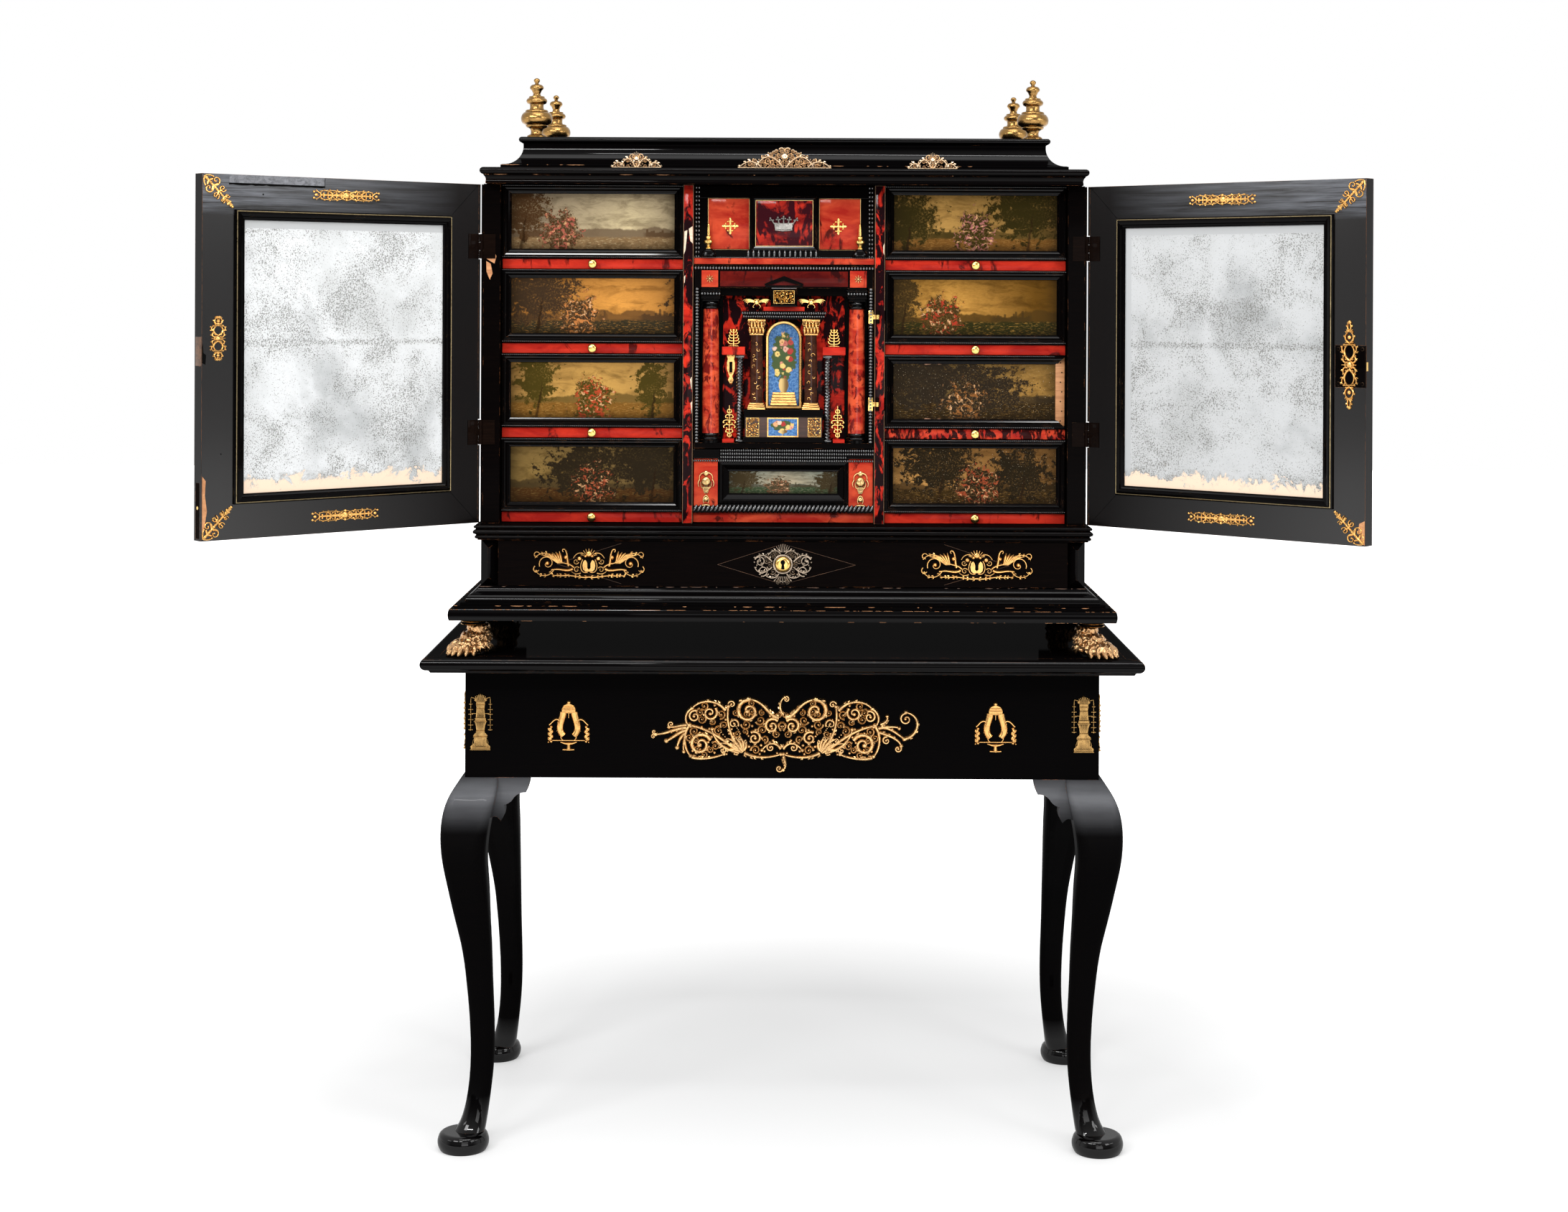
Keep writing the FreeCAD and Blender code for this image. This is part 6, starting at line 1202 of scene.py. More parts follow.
def makeRowTree():
    tree = bpy.data.node_groups.new("rippleRow", "GeometryNodeTree")
    sockets = {"Geometry": "NodeSocketGeometry", "Spacing": "NodeSocketFloat", "Size": "NodeSocketVector",
               "Lean": "NodeSocketFloat", "Material": "NodeSocketMaterial"}
    for label, kind in sockets.items():
        tree.interface.new_socket(label, in_out="INPUT", socket_type=kind)
    tree.interface.new_socket("Geometry", in_out="OUTPUT", socket_type="NodeSocketGeometry")
    given = tree.nodes.new("NodeGroupInput").outputs
    line = addNode(tree, "GeometryNodeMeshToCurve", {"Mesh": given["Geometry"]}).outputs["Curve"]
    evenly = addNode(tree, "GeometryNodeResampleCurve", {"Curve": line, "Length": given["Spacing"]}, mode="LENGTH")
    tangent = tree.nodes.new("GeometryNodeInputTangent")
    aligned = addNode(tree, "FunctionNodeAlignRotationToVector", {"Vector": tangent.outputs[0]}, axis="X",
                      pivot_axis="AUTO")
    leaning = addNode(tree, "FunctionNodeAxisAngleToRotation", {"Axis": (0, 1, 0), "Angle": given["Lean"]})
    turned = addNode(tree, "FunctionNodeRotateRotation", {0: aligned.outputs[0], 1: leaning.outputs[0]},
                     rotation_space="LOCAL")
    ball = addNode(tree, "GeometryNodeMeshUVSphere", {"Segments": 8, "Rings": 5, "Radius": 0.5})
    smooth = addNode(tree, "GeometryNodeSetShadeSmooth", {"Geometry": ball.outputs["Mesh"]})
    inputs = {"Points": evenly.outputs[0], "Instance": smooth.outputs[0], "Rotation": turned.outputs[0],
              "Scale": given["Size"]}
    placed = addNode(tree, "GeometryNodeInstanceOnPoints", inputs)
    real = addNode(tree, "GeometryNodeRealizeInstances", {0: placed.outputs[0]})
    painted = addNode(tree, "GeometryNodeSetMaterial", {"Geometry": real.outputs[0], "Material": given["Material"]})
    out = tree.nodes.new("NodeGroupOutput")
    tree.links.new(painted.outputs[0], out.inputs[0])
    return tree


rowTree = makeRowTree()


def rippleRows(name, lines, spacing, size, body, lean=0.0, put=direct):
    verts, edges = [], []
    for start, end in lines:
        edges.append((len(verts), len(verts) + 1))
        verts += [tuple(put(Vector(start))), tuple(put(Vector(end)))]
    mesh = bpy.data.meshes.new(name + "Path")
    mesh.from_pydata(verts, edges, [])
    holder = addObject(name + "Path", mesh)
    change = holder.modifiers.new("rows", "NODES")
    change.node_group = rowTree
    ids = {item.name: item.identifier for item in rowTree.interface.items_tree if item.in_out == "INPUT"}
    change[ids["Spacing"]] = spacing * mm
    change[ids["Size"]] = [side * mm for side in size]
    change[ids["Lean"]] = lean
    change[ids["Material"]] = ebonyRipple
    bpy.context.view_layer.update()
    made = bpy.data.meshes.new_from_object(holder.evaluated_get(bpy.context.evaluated_depsgraph_get()))
    bpy.data.objects.remove(holder)
    made.name = name
    made.materials.clear()
    made.materials.append(ebonyRipple)
    for polygon in made.polygons:
        polygon.material_index = 0
    piece = addObject(name, made)
    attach(piece, body)
    return piece


rootBody = "stand_and_case"


def dressStand():
    standSizes = {"scrollHeight": 624.4, "lyreSide": 317.0, "lyreHeight": 626.5, "urnHeight": 633.0,
                  "urnInset": 23.0, "endInset": 24.0}
    paint("frieze_rails", ebonyFlat)
    paint("cabriole_legs", legBlack)
    paint("knee_brackets", legBlack)
    paint("stand_top", ebonyTop)
    low, high = span("frieze_rails")
    face = low.y
    put = atFront(face)
    piece = Heap().shift(friezeScroll(), 0, standSizes["scrollHeight"])
    piece.build("friezeScroll", giltBrown, rootBody, ["stand_mounts"], put)
    pair = Heap()
    for side in (-1, 1):
        pair.shift(lyre(), side * standSizes["lyreSide"], standSizes["lyreHeight"])
    pair.build("lyreMounts", gilt, rootBody, ["stand_mounts"], put)
    corners = Heap()
    for side in (-1, 1):
        corners.merge(urn(), lambda v: Vector((side * (high.x - standSizes["urnInset"]) + v.x,
                                               v.y + standSizes["urnHeight"], v.z)))
    corners.build("urnMounts", giltUrn, rootBody, ["stand_mounts"], put)
    ends = Heap()
    for side in (-1, 1):
        ends.merge(urn(), lambda v: Vector((side * (high.x + v.z), face + standSizes["endInset"] + v.x,
                                            v.y + standSizes["urnHeight"])))
    ends.build("endMounts", giltUrn, rootBody, ["stand_mounts"])
    print("stand dressed")


def pawFoot():  # a furry paw facing local +x, standing on z = 0, about 53 mm high
    rand = random.Random(6)
    heap = Heap()
    ball = [(math.sin(math.pi * (0.02 + 0.96 * i / 9)), -math.cos(math.pi * (0.02 + 0.96 * i / 9))) for i in range(10)]
    ballVerts, ballFaces = lathe(ball, 14)

    def lump(place, size, turn=Matrix.Identity(3)):
        heap.add([Vector(place) + turn @ Vector([v[i] * size[i] for i in range(3)]) for v in ballVerts], ballFaces)

    masses = (((6, 0, 13), (36, 26, 15)), ((-5, 0, 25), (26, 23, 17)), ((-10, 0, 43), (18, 18, 13)))
    for place, size in masses:
        lump(place, [side - 2 for side in size])
    rows = ((0, 20, 0.0, 8, 2.3), (0, 19, 0.34, 9, 2.4), (0, 15, 0.7, 8, 2.3), (0, 9, 1.05, 8, 2.2),
            (1, 20, 0.1, 8, 2.3), (1, 17, 0.5, 8, 2.2), (2, 17, -0.45, 7, 2.0), (2, 17, -0.1, 7, 1.9),
            (2, 16, 0.2, 6, 1.8))
    for index, count, rise, length, girth in rows:
        place, size = Vector(masses[index][0]), masses[index][1]
        for k in range(count):
            a = 2 * math.pi * (k + rand.uniform(-0.2, 0.2)) / count + rise * 2
            e = rise + rand.uniform(-0.06, 0.06)
            out = Vector((math.cos(a) * math.cos(e), math.sin(a) * math.cos(e), math.sin(e)))
            spot = place + Vector([out[i] * size[i] for i in range(3)])
            normal = Vector([out[i] / size[i] for i in range(3)]).normalized()
            down = Vector((0.5, 0, -1))
            down = (down - normal * down.dot(normal)).normalized()
            bend = rand.choice((-1, 1)) * rand.uniform(0.3, 0.75)
            for step in range(3):  # each lock is a short curl of three shrinking beads
                down.rotate(Matrix.Rotation(bend * 0.8, 3, normal))
                turn = Matrix((down, normal.cross(down), normal)).transposed()
                lump(spot - normal * 1.5, (length * 0.52, girth * (1 - 0.2 * step), girth * 0.9), turn)
                spot = spot + down * length * 0.42
    for k in range(8):
        a = (k - 3.5) / 3.5 * 1.2
        turn = Matrix.Rotation(a * 0.8, 3, "Z")
        spot = Vector((6 + 35 * math.cos(a), 25 * math.sin(a), 0))
        lump(spot + Vector((-2.5, 0, 9.5)), (8, 4.6, 9), turn)
        lump(spot + Vector((2 * math.cos(a), 2 * math.sin(a), 4.2)), (4.6, 3.4, 4.2), turn)
        lump(spot + Vector((5 * math.cos(a), 4 * math.sin(a), 2.2)), (2.6, 1.8, 2.2), turn)
    mesh = bpy.data.meshes.new("pawBlock")
    mesh.from_pydata([tuple(v) for v in heap.verts], [], heap.faces)
    block = addObject("pawBlock", mesh)
    remesh = block.modifiers.new("skin", "REMESH")
    remesh.mode, remesh.voxel_size, remesh.use_smooth_shade = "VOXEL", 1.0, True
    ease = block.modifiers.new("ease", "SMOOTH")
    ease.iterations = 1
    bpy.context.view_layer.update()
    made = bpy.data.meshes.new_from_object(block.evaluated_get(bpy.context.evaluated_depsgraph_get()))
    verts, faces = [v.co.copy() for v in made.vertices], [list(p.vertices) for p in made.polygons]
    bpy.data.objects.remove(block)
    return verts, faces


def dressPaws():
    pawSizes = {"side": 458.0, "front": -34.5, "back": 343.0, "collar": 22.0, "shrink": 0.93}
    low, high = span("paw_feet")
    verts, faces = pawFoot()
    paws, collars, rings = Heap(), Heap(), Heap()
    neck = rounded([(15, 0, 0), (17.4, 1, 0), (17.4, 6, 0), (pawSizes["collar"], 7.4, 0), (pawSizes["collar"], 9, 0)])
    ring = [(16, 0), (18.6, 0.2), (19.0, 0.8), (18.6, 1.4), (16, 1.6)]
    scale = pawSizes["shrink"]
    for side in (-1, 1):
        for y, heading in ((pawSizes["front"], -math.pi / 4), (pawSizes["back"], math.pi / 4)):
            turn = heading if side > 0 else math.pi - heading
            c, s = math.cos(turn), math.sin(turn)
            paws.add([(side * pawSizes["side"] + scale * (v.x * c - v.y * s), y + scale * (v.x * s + v.y * c),
                       low.z + max(v.z * scale, 0)) for v in verts], faces)
            collars.latheAt(side * pawSizes["side"], y, high.z - 9, neck, 28)
            for drop in (8.6, 4.4):
                rings.latheAt(side * pawSizes["side"], y, high.z - drop, ring, 28)
    paws.build("lionPaws", giltPaw, rootBody, ["paw_feet"], weld=0)
    collars.build("pawCollars", ebonyFlat, rootBody, ["paw_feet"])
    rings.build("pawRings", gilt, rootBody, ["paw_feet"])
    print("paws made")


def paint(node, material):
    nodes[node].data.materials.clear()
    nodes[node].data.materials.append(material)


def dressCase():
    for node in ("base_carcase", "case_sides", "case_boards", "cornice", "waist_moulding"):
        paint(node, ebony)
    for node in ("base_moulding", "lid_shell"):
        paint(node, ebonyWorn)
    paint("corner_blocks", ebonyBright)
    paint("long_drawer_front", blackWood("drawerVeneer", 0.3, 0.22, 0.2))
    paint("partitions", oak)
    paint("niche_lining", walnut)
    for node in ("handle_posts", "handle_left", "handle_right", "flush_bolt", "lock_bolt"):
        paint(node, brass)
    paint("case_hinges", ebonyHinge)
    lips = Heap()
    for side in (-1, 1):
        x = flank(side, 449.8, 453.2)
        for front, low, high in ((0.1, 927, 1043), (2.4, 1043, 1082), (0.1, 1082, 1321), (2.4, 1321, 1360),
                                 (0.1, 1360, 1433)):
            lips.slab(x, (front, 12), (low, high), 0.2)
    lips.build("caseLips", ebony, rootBody, smooth=False)
    paint("lid_brass", finialBrass)
    for node in ("long_drawer_box", "attic_box", "plinth_box"):
        paint(node, oak)
    low, high = span("partitions")
    edgeY = low.y
    banks = Heap()
    for side in (-1, 1):
        banks.slab(flank(side, 137.2, 150.8), (edgeY - 1.2, edgeY), (926.5, 1433.5), 0.3)
    banks.build("partitionVeneer", shellDark, rootBody)
    print("case dressed")


def dressLongDrawer():
    low, high = span("long_drawer_front")
    middle = (low.z + high.z) / 2
    put = atFront(low.y)
    griffins = Heap()
    for side in (-1, 1):
        griffins.shift(griffinPlate(), side * 288, middle)
    griffins.build("griffinPlates", gilt, "long_drawer", ["long_drawer_mounts"], put)
    Heap().shift(plaque(), 0, middle).build("lockPlaque", silverBrass, "long_drawer", ["long_drawer_mounts"], put)
    Heap().shift(plaqueBoss(), 0, middle).build("lockBoss", brass, "long_drawer", ["long_drawer_mounts"], put)
    # keyholes as near-black domes and plates: painted shade in place of the holes' depth
    holes = Heap()
    for x, top, scale in ((0, 7.3, 1.35), (-288, 2.6, 0.75), (288, 2.6, 0.75)):
        dome(holes, x, middle + 2.4 * scale, 2.6 * scale, 0.3, 14, base=top)
        plate(holes, [(x - 1.2 * scale, middle + 1), (x + 1.2 * scale, middle + 1),
                      (x + 2 * scale, middle - 6 * scale), (x - 2 * scale, middle - 6 * scale)], 0.3, top)
    holes.build("keyholes", darkHole, "long_drawer", put=put)
    print("long drawer dressed")


def dressFinials():
    finial = {"x": 377.0, "front": 55.0, "back": 359.0, "around": 40}
    low = span("lid_brass")[0]
    foot = span("lid_shell")[1].z
    rows = [(14.4, 0, 0), (14.4, 2.4, 0.1), (9.6, 5, -0.1), (9.2, 11, 0), (10.4, 13.4, 0), (15.4, 15.6, 0.12),
            (16.6, 18.8, 0), (17.2, 19.4, 0), (21, 21.4, 0.1), (23.6, 27, 0.06), (23.6, 31, 0.06), (21, 36.4, 0.1),
            (17.2, 38.6, 0), (17.4, 39.6, 0.14), (15.6, 42, 0), (11, 42.8, 0), (10.2, 46, 0), (10.6, 50.4, 0),
            (13.6, 51.6, 0.1), (15.6, 54.4, 0.1), (15.6, 57, 0.1), (12, 60.4, 0), (11.6, 62.4, 0), (6.4, 63.4, 0),
            (5.4, 66.6, 0), (7, 70, 0), (7.2, 71, 0), (10.2, 74, 0.1), (10, 77.4, 0.14), (5.4, 80.6, 0),
            (2.8, 81.6, 0), (2.8, 83, 0), (4.6, 85.6, 0.16), (3.6, 89, 0.1), (0.3, 90.4, 0)]
    heap = Heap()
    for side in (-1, 1):
        for y in (finial["front"], finial["back"]):
            heap.latheAt(side * finial["x"], y, foot, rounded(rows, 4), finial["around"])
    back, pin = span("lid_shell")[1].y, {"side": 250, "radius": 3.1, "half": 6.5, "leaf": 18, "stand": 4.1}
    level = low.z + pin["radius"]
    for side in (-1, 1):
        x = (side * pin["side"] - pin["half"], side * pin["side"] + pin["half"])
        heap.slab(x, (back, back + pin["stand"]), (level + 1.5, level + pin["leaf"]), 0.3)
        heap.add(*turnedAlongX(x[0], back + pin["stand"], level, pin["radius"], 2 * pin["half"]))
    heap.build("turnedFinials", finialBrass, "lid", ["lid_brass"])


def turnedAlongX(x, y, z, radius, length, around=24):
    verts, faces = lathe([(radius, 0), (radius, length)], around)
    return [(x + v[2], y + v[0], z + v[1]) for v in verts], faces


def dressLid():
    low = span("lid_mounts")[0]
    base = span("lid_shell")[0]
    put = atFront(low.y + 3)
    middle = Heap()
    middle.shift(crest(70, 33, 12), 0, base.z)
    for side in (-1, 1):
        middle.shift(crest(37, 26, 21), side * 222, base.z)
    middle.build("lidMounts", giltLid, "lid", ["lid_mounts"], put)
    print("lid dressed")


pictureKeys = ("Seed", "Horizon", "Sky", "Glow", "Land", "Leaf", "Bloom", "Tree", "TreeSize", "Second", "GlowAt",
               "BloomAt", "Loss")
pictures = {
    "left_4": (1.0, 0.36, (0.28, 0.25, 0.21), (0.56, 0.52, 0.4), (0.22, 0.16, 0.1), (0.085, 0.05, 0.028),
               (0.42, 0.15, 0.13), 0.06, 0.24, 1.2, 0.72, 0.3, 0.0),
    "left_3": (2.0, 0.38, (0.3, 0.16, 0.055), (0.6, 0.34, 0.11), (0.045, 0.042, 0.03), (0.06, 0.042, 0.03),
               (0.5, 0.24, 0.1), 0.16, 0.36, 1.2, 0.66, 0.42, 0.0),
    "left_2": (3.0, 0.42, (0.3, 0.2, 0.085), (0.52, 0.36, 0.14), (0.2, 0.115, 0.035), (0.075, 0.062, 0.018),
               (0.45, 0.09, 0.05), 0.16, 0.16, 0.86, 0.5, 0.5, 0.0),
    "left_1": (4.0, 0.4, (0.16, 0.12, 0.06), (0.24, 0.18, 0.08), (0.075, 0.04, 0.018), (0.032, 0.026, 0.018),
               (0.36, 0.1, 0.06), 0.86, 0.46, 0.46, 0.12, 0.5, 0.0),
    "right_4": (5.0, 0.36, (0.22, 0.15, 0.06), (0.42, 0.29, 0.12), (0.17, 0.095, 0.032), (0.042, 0.036, 0.012),
                (0.42, 0.2, 0.22), 0.82, 0.34, 0.08, 0.3, 0.5, 0.0),
    "right_3": (6.0, 0.38, (0.14, 0.08, 0.018), (0.52, 0.33, 0.11), (0.034, 0.036, 0.014), (0.06, 0.042, 0.018),
                (0.4, 0.06, 0.04), 0.05, 0.15, 1.2, 0.34, 0.3, 0.0),
    "right_2": (7.0, 0.44, (0.13, 0.095, 0.045), (0.36, 0.24, 0.09), (0.038, 0.028, 0.016), (0.034, 0.028, 0.022),
                (0.3, 0.15, 0.06), 0.22, 0.52, 0.52, 0.88, 0.44, 1.8),
    "right_1": (8.0, 0.4, (0.2, 0.12, 0.05), (0.44, 0.28, 0.12), (0.05, 0.034, 0.014), (0.026, 0.021, 0.013),
                (0.34, 0.09, 0.05), 0.28, 0.34, 0.78, 0.16, 0.52, 1.0),
}


def panelMesh(name, x, z, y, thick):
    (x0, x1), (z0, z1) = x, z
    verts = [at(a, b, c) for b in (y, y + thick) for a, c in ((x0, z0), (x1, z0), (x1, z1), (x0, z1))]
    faces = [(0, 1, 2, 3), (7, 6, 5, 4), (0, 4, 5, 1), (1, 5, 6, 2), (2, 6, 7, 3), (3, 7, 4, 0)]
    mesh = bpy.data.meshes.new(name)
    mesh.from_pydata([tuple(v) for v in verts], [], faces)
    layer = mesh.uv_layers.new(name="picture")
    for loop in mesh.loops:
        point = mesh.vertices[loop.vertex_index].co / mm
        layer.data[loop.index].uv = ((point.x - x0) / (x1 - x0), (point.z - z0) / (z1 - z0))
    return mesh


def dressDrawers():
    drawerSizes = {"rail": 15.0, "railProud": 4.3, "gap": 2.0, "band": 13.0, "proud": 12.0, "knob": 6.8}
    knobShape = rounded([(4.6, 0, 0), (4.6, 1.2, 0), (2.4, 2.2, 0), (2.4, 4, 0), (6.2, 6.2, 0.14), (6.6, 8.2, 0.12),
                         (3.4, 10.6, 0.06), (0.2, 11, 0)])
    for place, look in pictures.items():
        node, body = f"drawer_{place}_front", f"drawer_{place}"
        broken = place == "right_2"  # the right end of this drawer's frame is lost
        low, high = span(node)
        face = high.y - 12
        x = (low.x, high.x)
        foot = low.z + drawerSizes["rail"] + drawerSizes["gap"]
        heap = Heap()
        heap.slab(x, (face, high.y), (low.z, high.z), 0.4)
        heap.slab((x[0] + 0.5, x[1] - 0.5), (face - 2.6, face), (foot - 2, foot), 0.3)
        profile = [(0, face), (0, face - 10.6), (0.8, face - 11.8), (3.4, face - 12), (4.2, face - 10.6),
                   (6.2, face - 10.2), (7.0, face - 8.2), (8.6, face - 6.4), (10.6, face - 5.2), (11.0, face - 3.6),
                   (12.4, face - 3.2), (13.0, face - 1.6), (13.0, face)]
        heap.frame(x, (foot, high.z), profile, (0, 2, 3) if broken else (0, 1, 2, 3))
        heap.build(f"frame_{body}", frameBlack, body, [node], smooth=False)
        right = x[1] - (18 if broken else 1)
        lines = [((x[0] + 1, face - 11.6, z), (right, face - 11.6, z)) for z in (foot + 0.9, high.z - 0.9)]
        rippleRows(f"frameRipples_{body}", lines, 3.0, (2.4, 1.1, 1.3), body)
        band = drawerSizes["band"]
        mesh = panelMesh(f"picture_{body}", (x[0] + band - 0.5, x[1] - band + 0.5),
                         (foot + band - 0.5, high.z - band + 0.5), face - 1.2, 1.2)
        finishObject(f"picture_{body}", mesh, painting(f"landscape_{place}", look), body, [node], smooth=False)
        if broken:
            bare, nails = Heap(), Heap()
            bare.slab((x[1] - 14.5, x[1] - 0.6), (face - 3.4, face), (foot + 3, high.z - 2), 0.8)
            # nail holes as small dark domes: painted shade in place of their depth
            for k in range(7):
                dome(nails, x[1] - 7 + (k % 2) * 2, foot + 11 + k * 14.6, 1.1, 0.5, 8)
            bare.build(f"bareEnd_{body}", bareWood, body, [node])
            nails.build(f"nailHoles_{body}", darkHole, body, [node], atFront(face - 3.4))
        piece = Heap().slab(x, (face - drawerSizes["railProud"], face - 0.05), (low.z, low.z + drawerSizes["rail"]),
                            0.7)
        piece.build(f"rail_{body}", shellSpotted if broken else shellRail, body, [node])
        knob = Heap()
        knob.lathe(knobShape, 24)
        middle = ((x[0] + x[1]) / 2, low.z + drawerSizes["rail"] / 2)
        knob.build(f"knob_{body}", brass, body, [node],
                   lambda v: at(middle[0] + v.x, face - drawerSizes["railProud"] + 0.3 - v.z * 0.95, middle[1] + v.y))
        paint(f"{body}_box", oak)
    print("drawers dressed")


def dressAttic():
    low, high = span("attic_front")
    face = 26.0
    back = Heap()
    foot = low.z + 22
    top = high.z - 18
    back.slab((low.x, high.x), (face, face + 12), (low.z, high.z), 0.4)
    back.slab((low.x, high.x), (face - 5, face), (top, high.z), 0.4)
    back.slab((-52, 52), (face - 7, face), (foot, top), 0.3)
    back.slab((low.x + 8, high.x - 8), (face - 8, face), (low.z + 11, foot), 0.4)
    back.frame((-49, 49), (foot, top + 3), [(0, face - 6), (0, face - 10), (2.4, face - 10.6), (3.2, face - 8.8),
                                            (6.6, face - 7.2), (6.6, face - 6)])
    for side in (-1, 1):
        back.slab((side * 133 - 2, side * 133 + 2), (face - 4, face), (low.z, high.z), 0.4)
        back.latheAt(side * 114, face - 8, foot - 11,
                     rounded([(13, 0, 0), (13, 2, 0), (11, 4, 0.1), (5.5, 12, 0), (4.4, 13, 0), (0.2, 13, 0)]), 24,
                     0.55)
    back.build("atticFrame", frameBlack, "attic_drawer", ["attic_front"], smooth=False)
    piece = Heap().slab((-42.4, 42.4), (face - 7.6, face - 6.4), (foot + 6.6, top - 4), 0.2)
    piece.build("atticCentrePanel", shellPanel, "attic_drawer", ["attic_front"])
    sides = Heap()
    for side in (-1, 1):
        sides.slab(flank(side, 52.5, 114), (face - 2.2, face - 0.6), (foot + 1.5, top - 1), 0.2)
    sides.build("atticSidePanels", shellBright, "attic_drawer", ["attic_front"])
    lines = Heap()
    lines.frame((-43.4, 43.4), (foot + 5.6, top - 3),
                [(0, face - 6.9), (0, face - 7.9), (0.7, face - 7.9), (0.7, face - 6.9)])
    for side in (-1, 1):
        lines.frame(flank(side, 52.5, 115), (foot + 0.2, top + 0.2),
                    [(0, face - 0.9), (0, face - 2.4), (0.6, face - 2.4), (0.6, face - 0.9)])
    lines.build("atticStringing", giltPale, "attic_drawer", ["attic_front"], smooth=False)
    put = atFront(face - 2.2)
    crosses = Heap()
    for side in (-1, 1):
        crosses.shift(cross(11.4), side * 81.5, 1373)
    crosses.build("atticCrosses", giltSmall, "attic_drawer", put=put)
    Heap().shift(crown(), -1, 1377).build("atticCrown", silver, "attic_drawer", put=atFront(face - 7.6))
    candles = Heap()
    shape = rounded([(4.4, 0, 0), (4.4, 1.4, 0), (2.6, 3, 0), (5.6, 8, 0.2), (7, 11, 0), (7, 12.4, 0), (3, 14, 0),
                     (4.4, 17, 0.2), (2.2, 20, 0), (1.8, 30, 0), (1.4, 36, 0.2), (0.3, 38, 0)])
    for side in (-1, 1):
        candles.latheAt(side * 114, face - 8, foot + 1.6, shape, 20)
    candles.build("atticFinials", brass, "attic_drawer")
    piece = Heap().slab((low.x, high.x), (face - 10, face), (low.z + 0.5, low.z + 9.5), 0.6)
    piece.build("atticRedStrip", shellBright, "attic_drawer", ["attic_front"])
    rippleRows("atticDentils", [((-54, face - 9.5, low.z + 16.5), (48, face - 9.5, low.z + 16.5))], 7.6,
               (4.6, 6.5, 12), "attic_drawer")
    rippleRows("atticBeads", [((low.x + 1, face - 9.4, low.z + 10.6), (high.x - 1, face - 9.4, low.z + 10.6))], 3.0,
               (2.8, 2.6, 2.4), "attic_drawer")
    rows = [((s * x, face - 5.2, low.z + 12), (s * x, face - 5.2, high.z - 2)) for s in (-1, 1)
            for x in (128.4, 132.6)]
    rippleRows("atticRipples", rows, 6.4, (5.2, 4, 3.6), "attic_drawer")
    print("attic dressed")


def latheAt(x, y, z, profile, around=24, squash=1.0):
    verts, faces = lathe(profile, around)
    return [(x + v[0], y + v[1] * squash, z + v[2]) for v in verts], faces


def dressPlinth():
    low, high = span("plinth_front")
    face = 26.0
    frameHeap = Heap()
    frameHeap.slab((low.x, high.x), (face, face + 12), (low.z, high.z), 0.4)
    frameHeap.frame((-97, 97), (low.z + 28, high.z - 18),
                    [(0, face), (0, face - 9), (2, face - 10.4), (5, face - 10), (7, face - 8), (13, face - 4),
                     (14.6, face - 3.6), (15.4, face - 2), (15.4, face)])
    frameHeap.slab((low.x, high.x), (face - 9, face), (high.z - 18, high.z - 12), 0.6)
    frameHeap.slab((low.x, high.x), (face - 11.5, face), (high.z - 12, high.z - 1), 0.6)
    for side in (-1, 1):
        frameHeap.slab(flank(side, 96, 135.5), (face - 14, face), (high.z - 13, high.z - 0.2), 0.6)
        frameHeap.slab(flank(side, 96, 135.5), (face - 13, face), (low.z + 15, low.z + 24), 0.6)
    frameHeap.slab((low.x, high.x), (face - 8, face), (low.z + 15, low.z + 28), 0.5)
    frameHeap.build("plinthFrame", frameBlack, "plinth_drawer", ["plinth_front"], smooth=False)
    mesh = panelMesh("plinthPicture", (-82, 82), (low.z + 43, high.z - 33), face - 1.4, 1.4)
    look = (11.0, 0.44, (0.16, 0.19, 0.17), (0.42, 0.36, 0.26), (0.04, 0.066, 0.034), (0.06, 0.044, 0.022),
            (0.3, 0.14, 0.08), 0.12, 0.24, 0.92, 0.52, 0.46, 0.0)
    finishObject("plinthPicture", mesh, painting("landscape_plinth", look, (0.86, 0.86, 0.84)), "plinth_drawer",
                 ["plinth_front"], smooth=False)
    red = Heap()
    red.slab((low.x, high.x), (face - 6, face), (low.z, low.z + 14.6), 0.7)
    for side in (-1, 1):
        red.slab(flank(side, 98.5, 134.5), (face - 10, face), (low.z + 25, high.z - 14), 0.5)
    red.build("plinthReds", shellBright, "plinth_drawer", ["plinth_front"])
    masks = Heap()
    for side in (-1, 1):
        masks.shift(maskMount(), side * 116, 982, 0.95, 1)
    masks.build("plinthMasks", giltPale, "plinth_drawer", put=atFront(face - 10))
    rows = [((low.x + 1, face - 10.4, high.z - 17 + k * 5.2),
             (high.x - 1, face - 10.4 - k * 1.4, high.z - 17 + k * 5.2)) for k in range(4)]
    rippleRows("plinthRipples", rows, 3.4, (3.2, 4.2, 4.4), "plinth_drawer")
    rippleRows("plinthRope", [((low.x + 3, face - 10.5, low.z + 20.5), (high.x - 3, face - 10.5, low.z + 20.5))], 6.2,
               (5.6, 7, 15), "plinth_drawer", lean=0.45)
    print("plinth dressed")


def ropeColumn(x, y, z0, z1, radius, twists=9, around=14, strands=3):
    rows = int((z1 - z0) / 1.6)
    verts = []
    for i in range(rows + 1):
        share = i / rows
        for j in range(around):
            a = 2 * math.pi * j / around
            swell = 1 + 0.26 * math.cos(strands * (a + share * twists * 2 * math.pi / strands * 3))
            r = radius * swell * 0.86
            verts.append((x + r * math.cos(a), y + r * math.sin(a), z0 + (z1 - z0) * share))
    return verts, ringFaces(rows + 1, around)


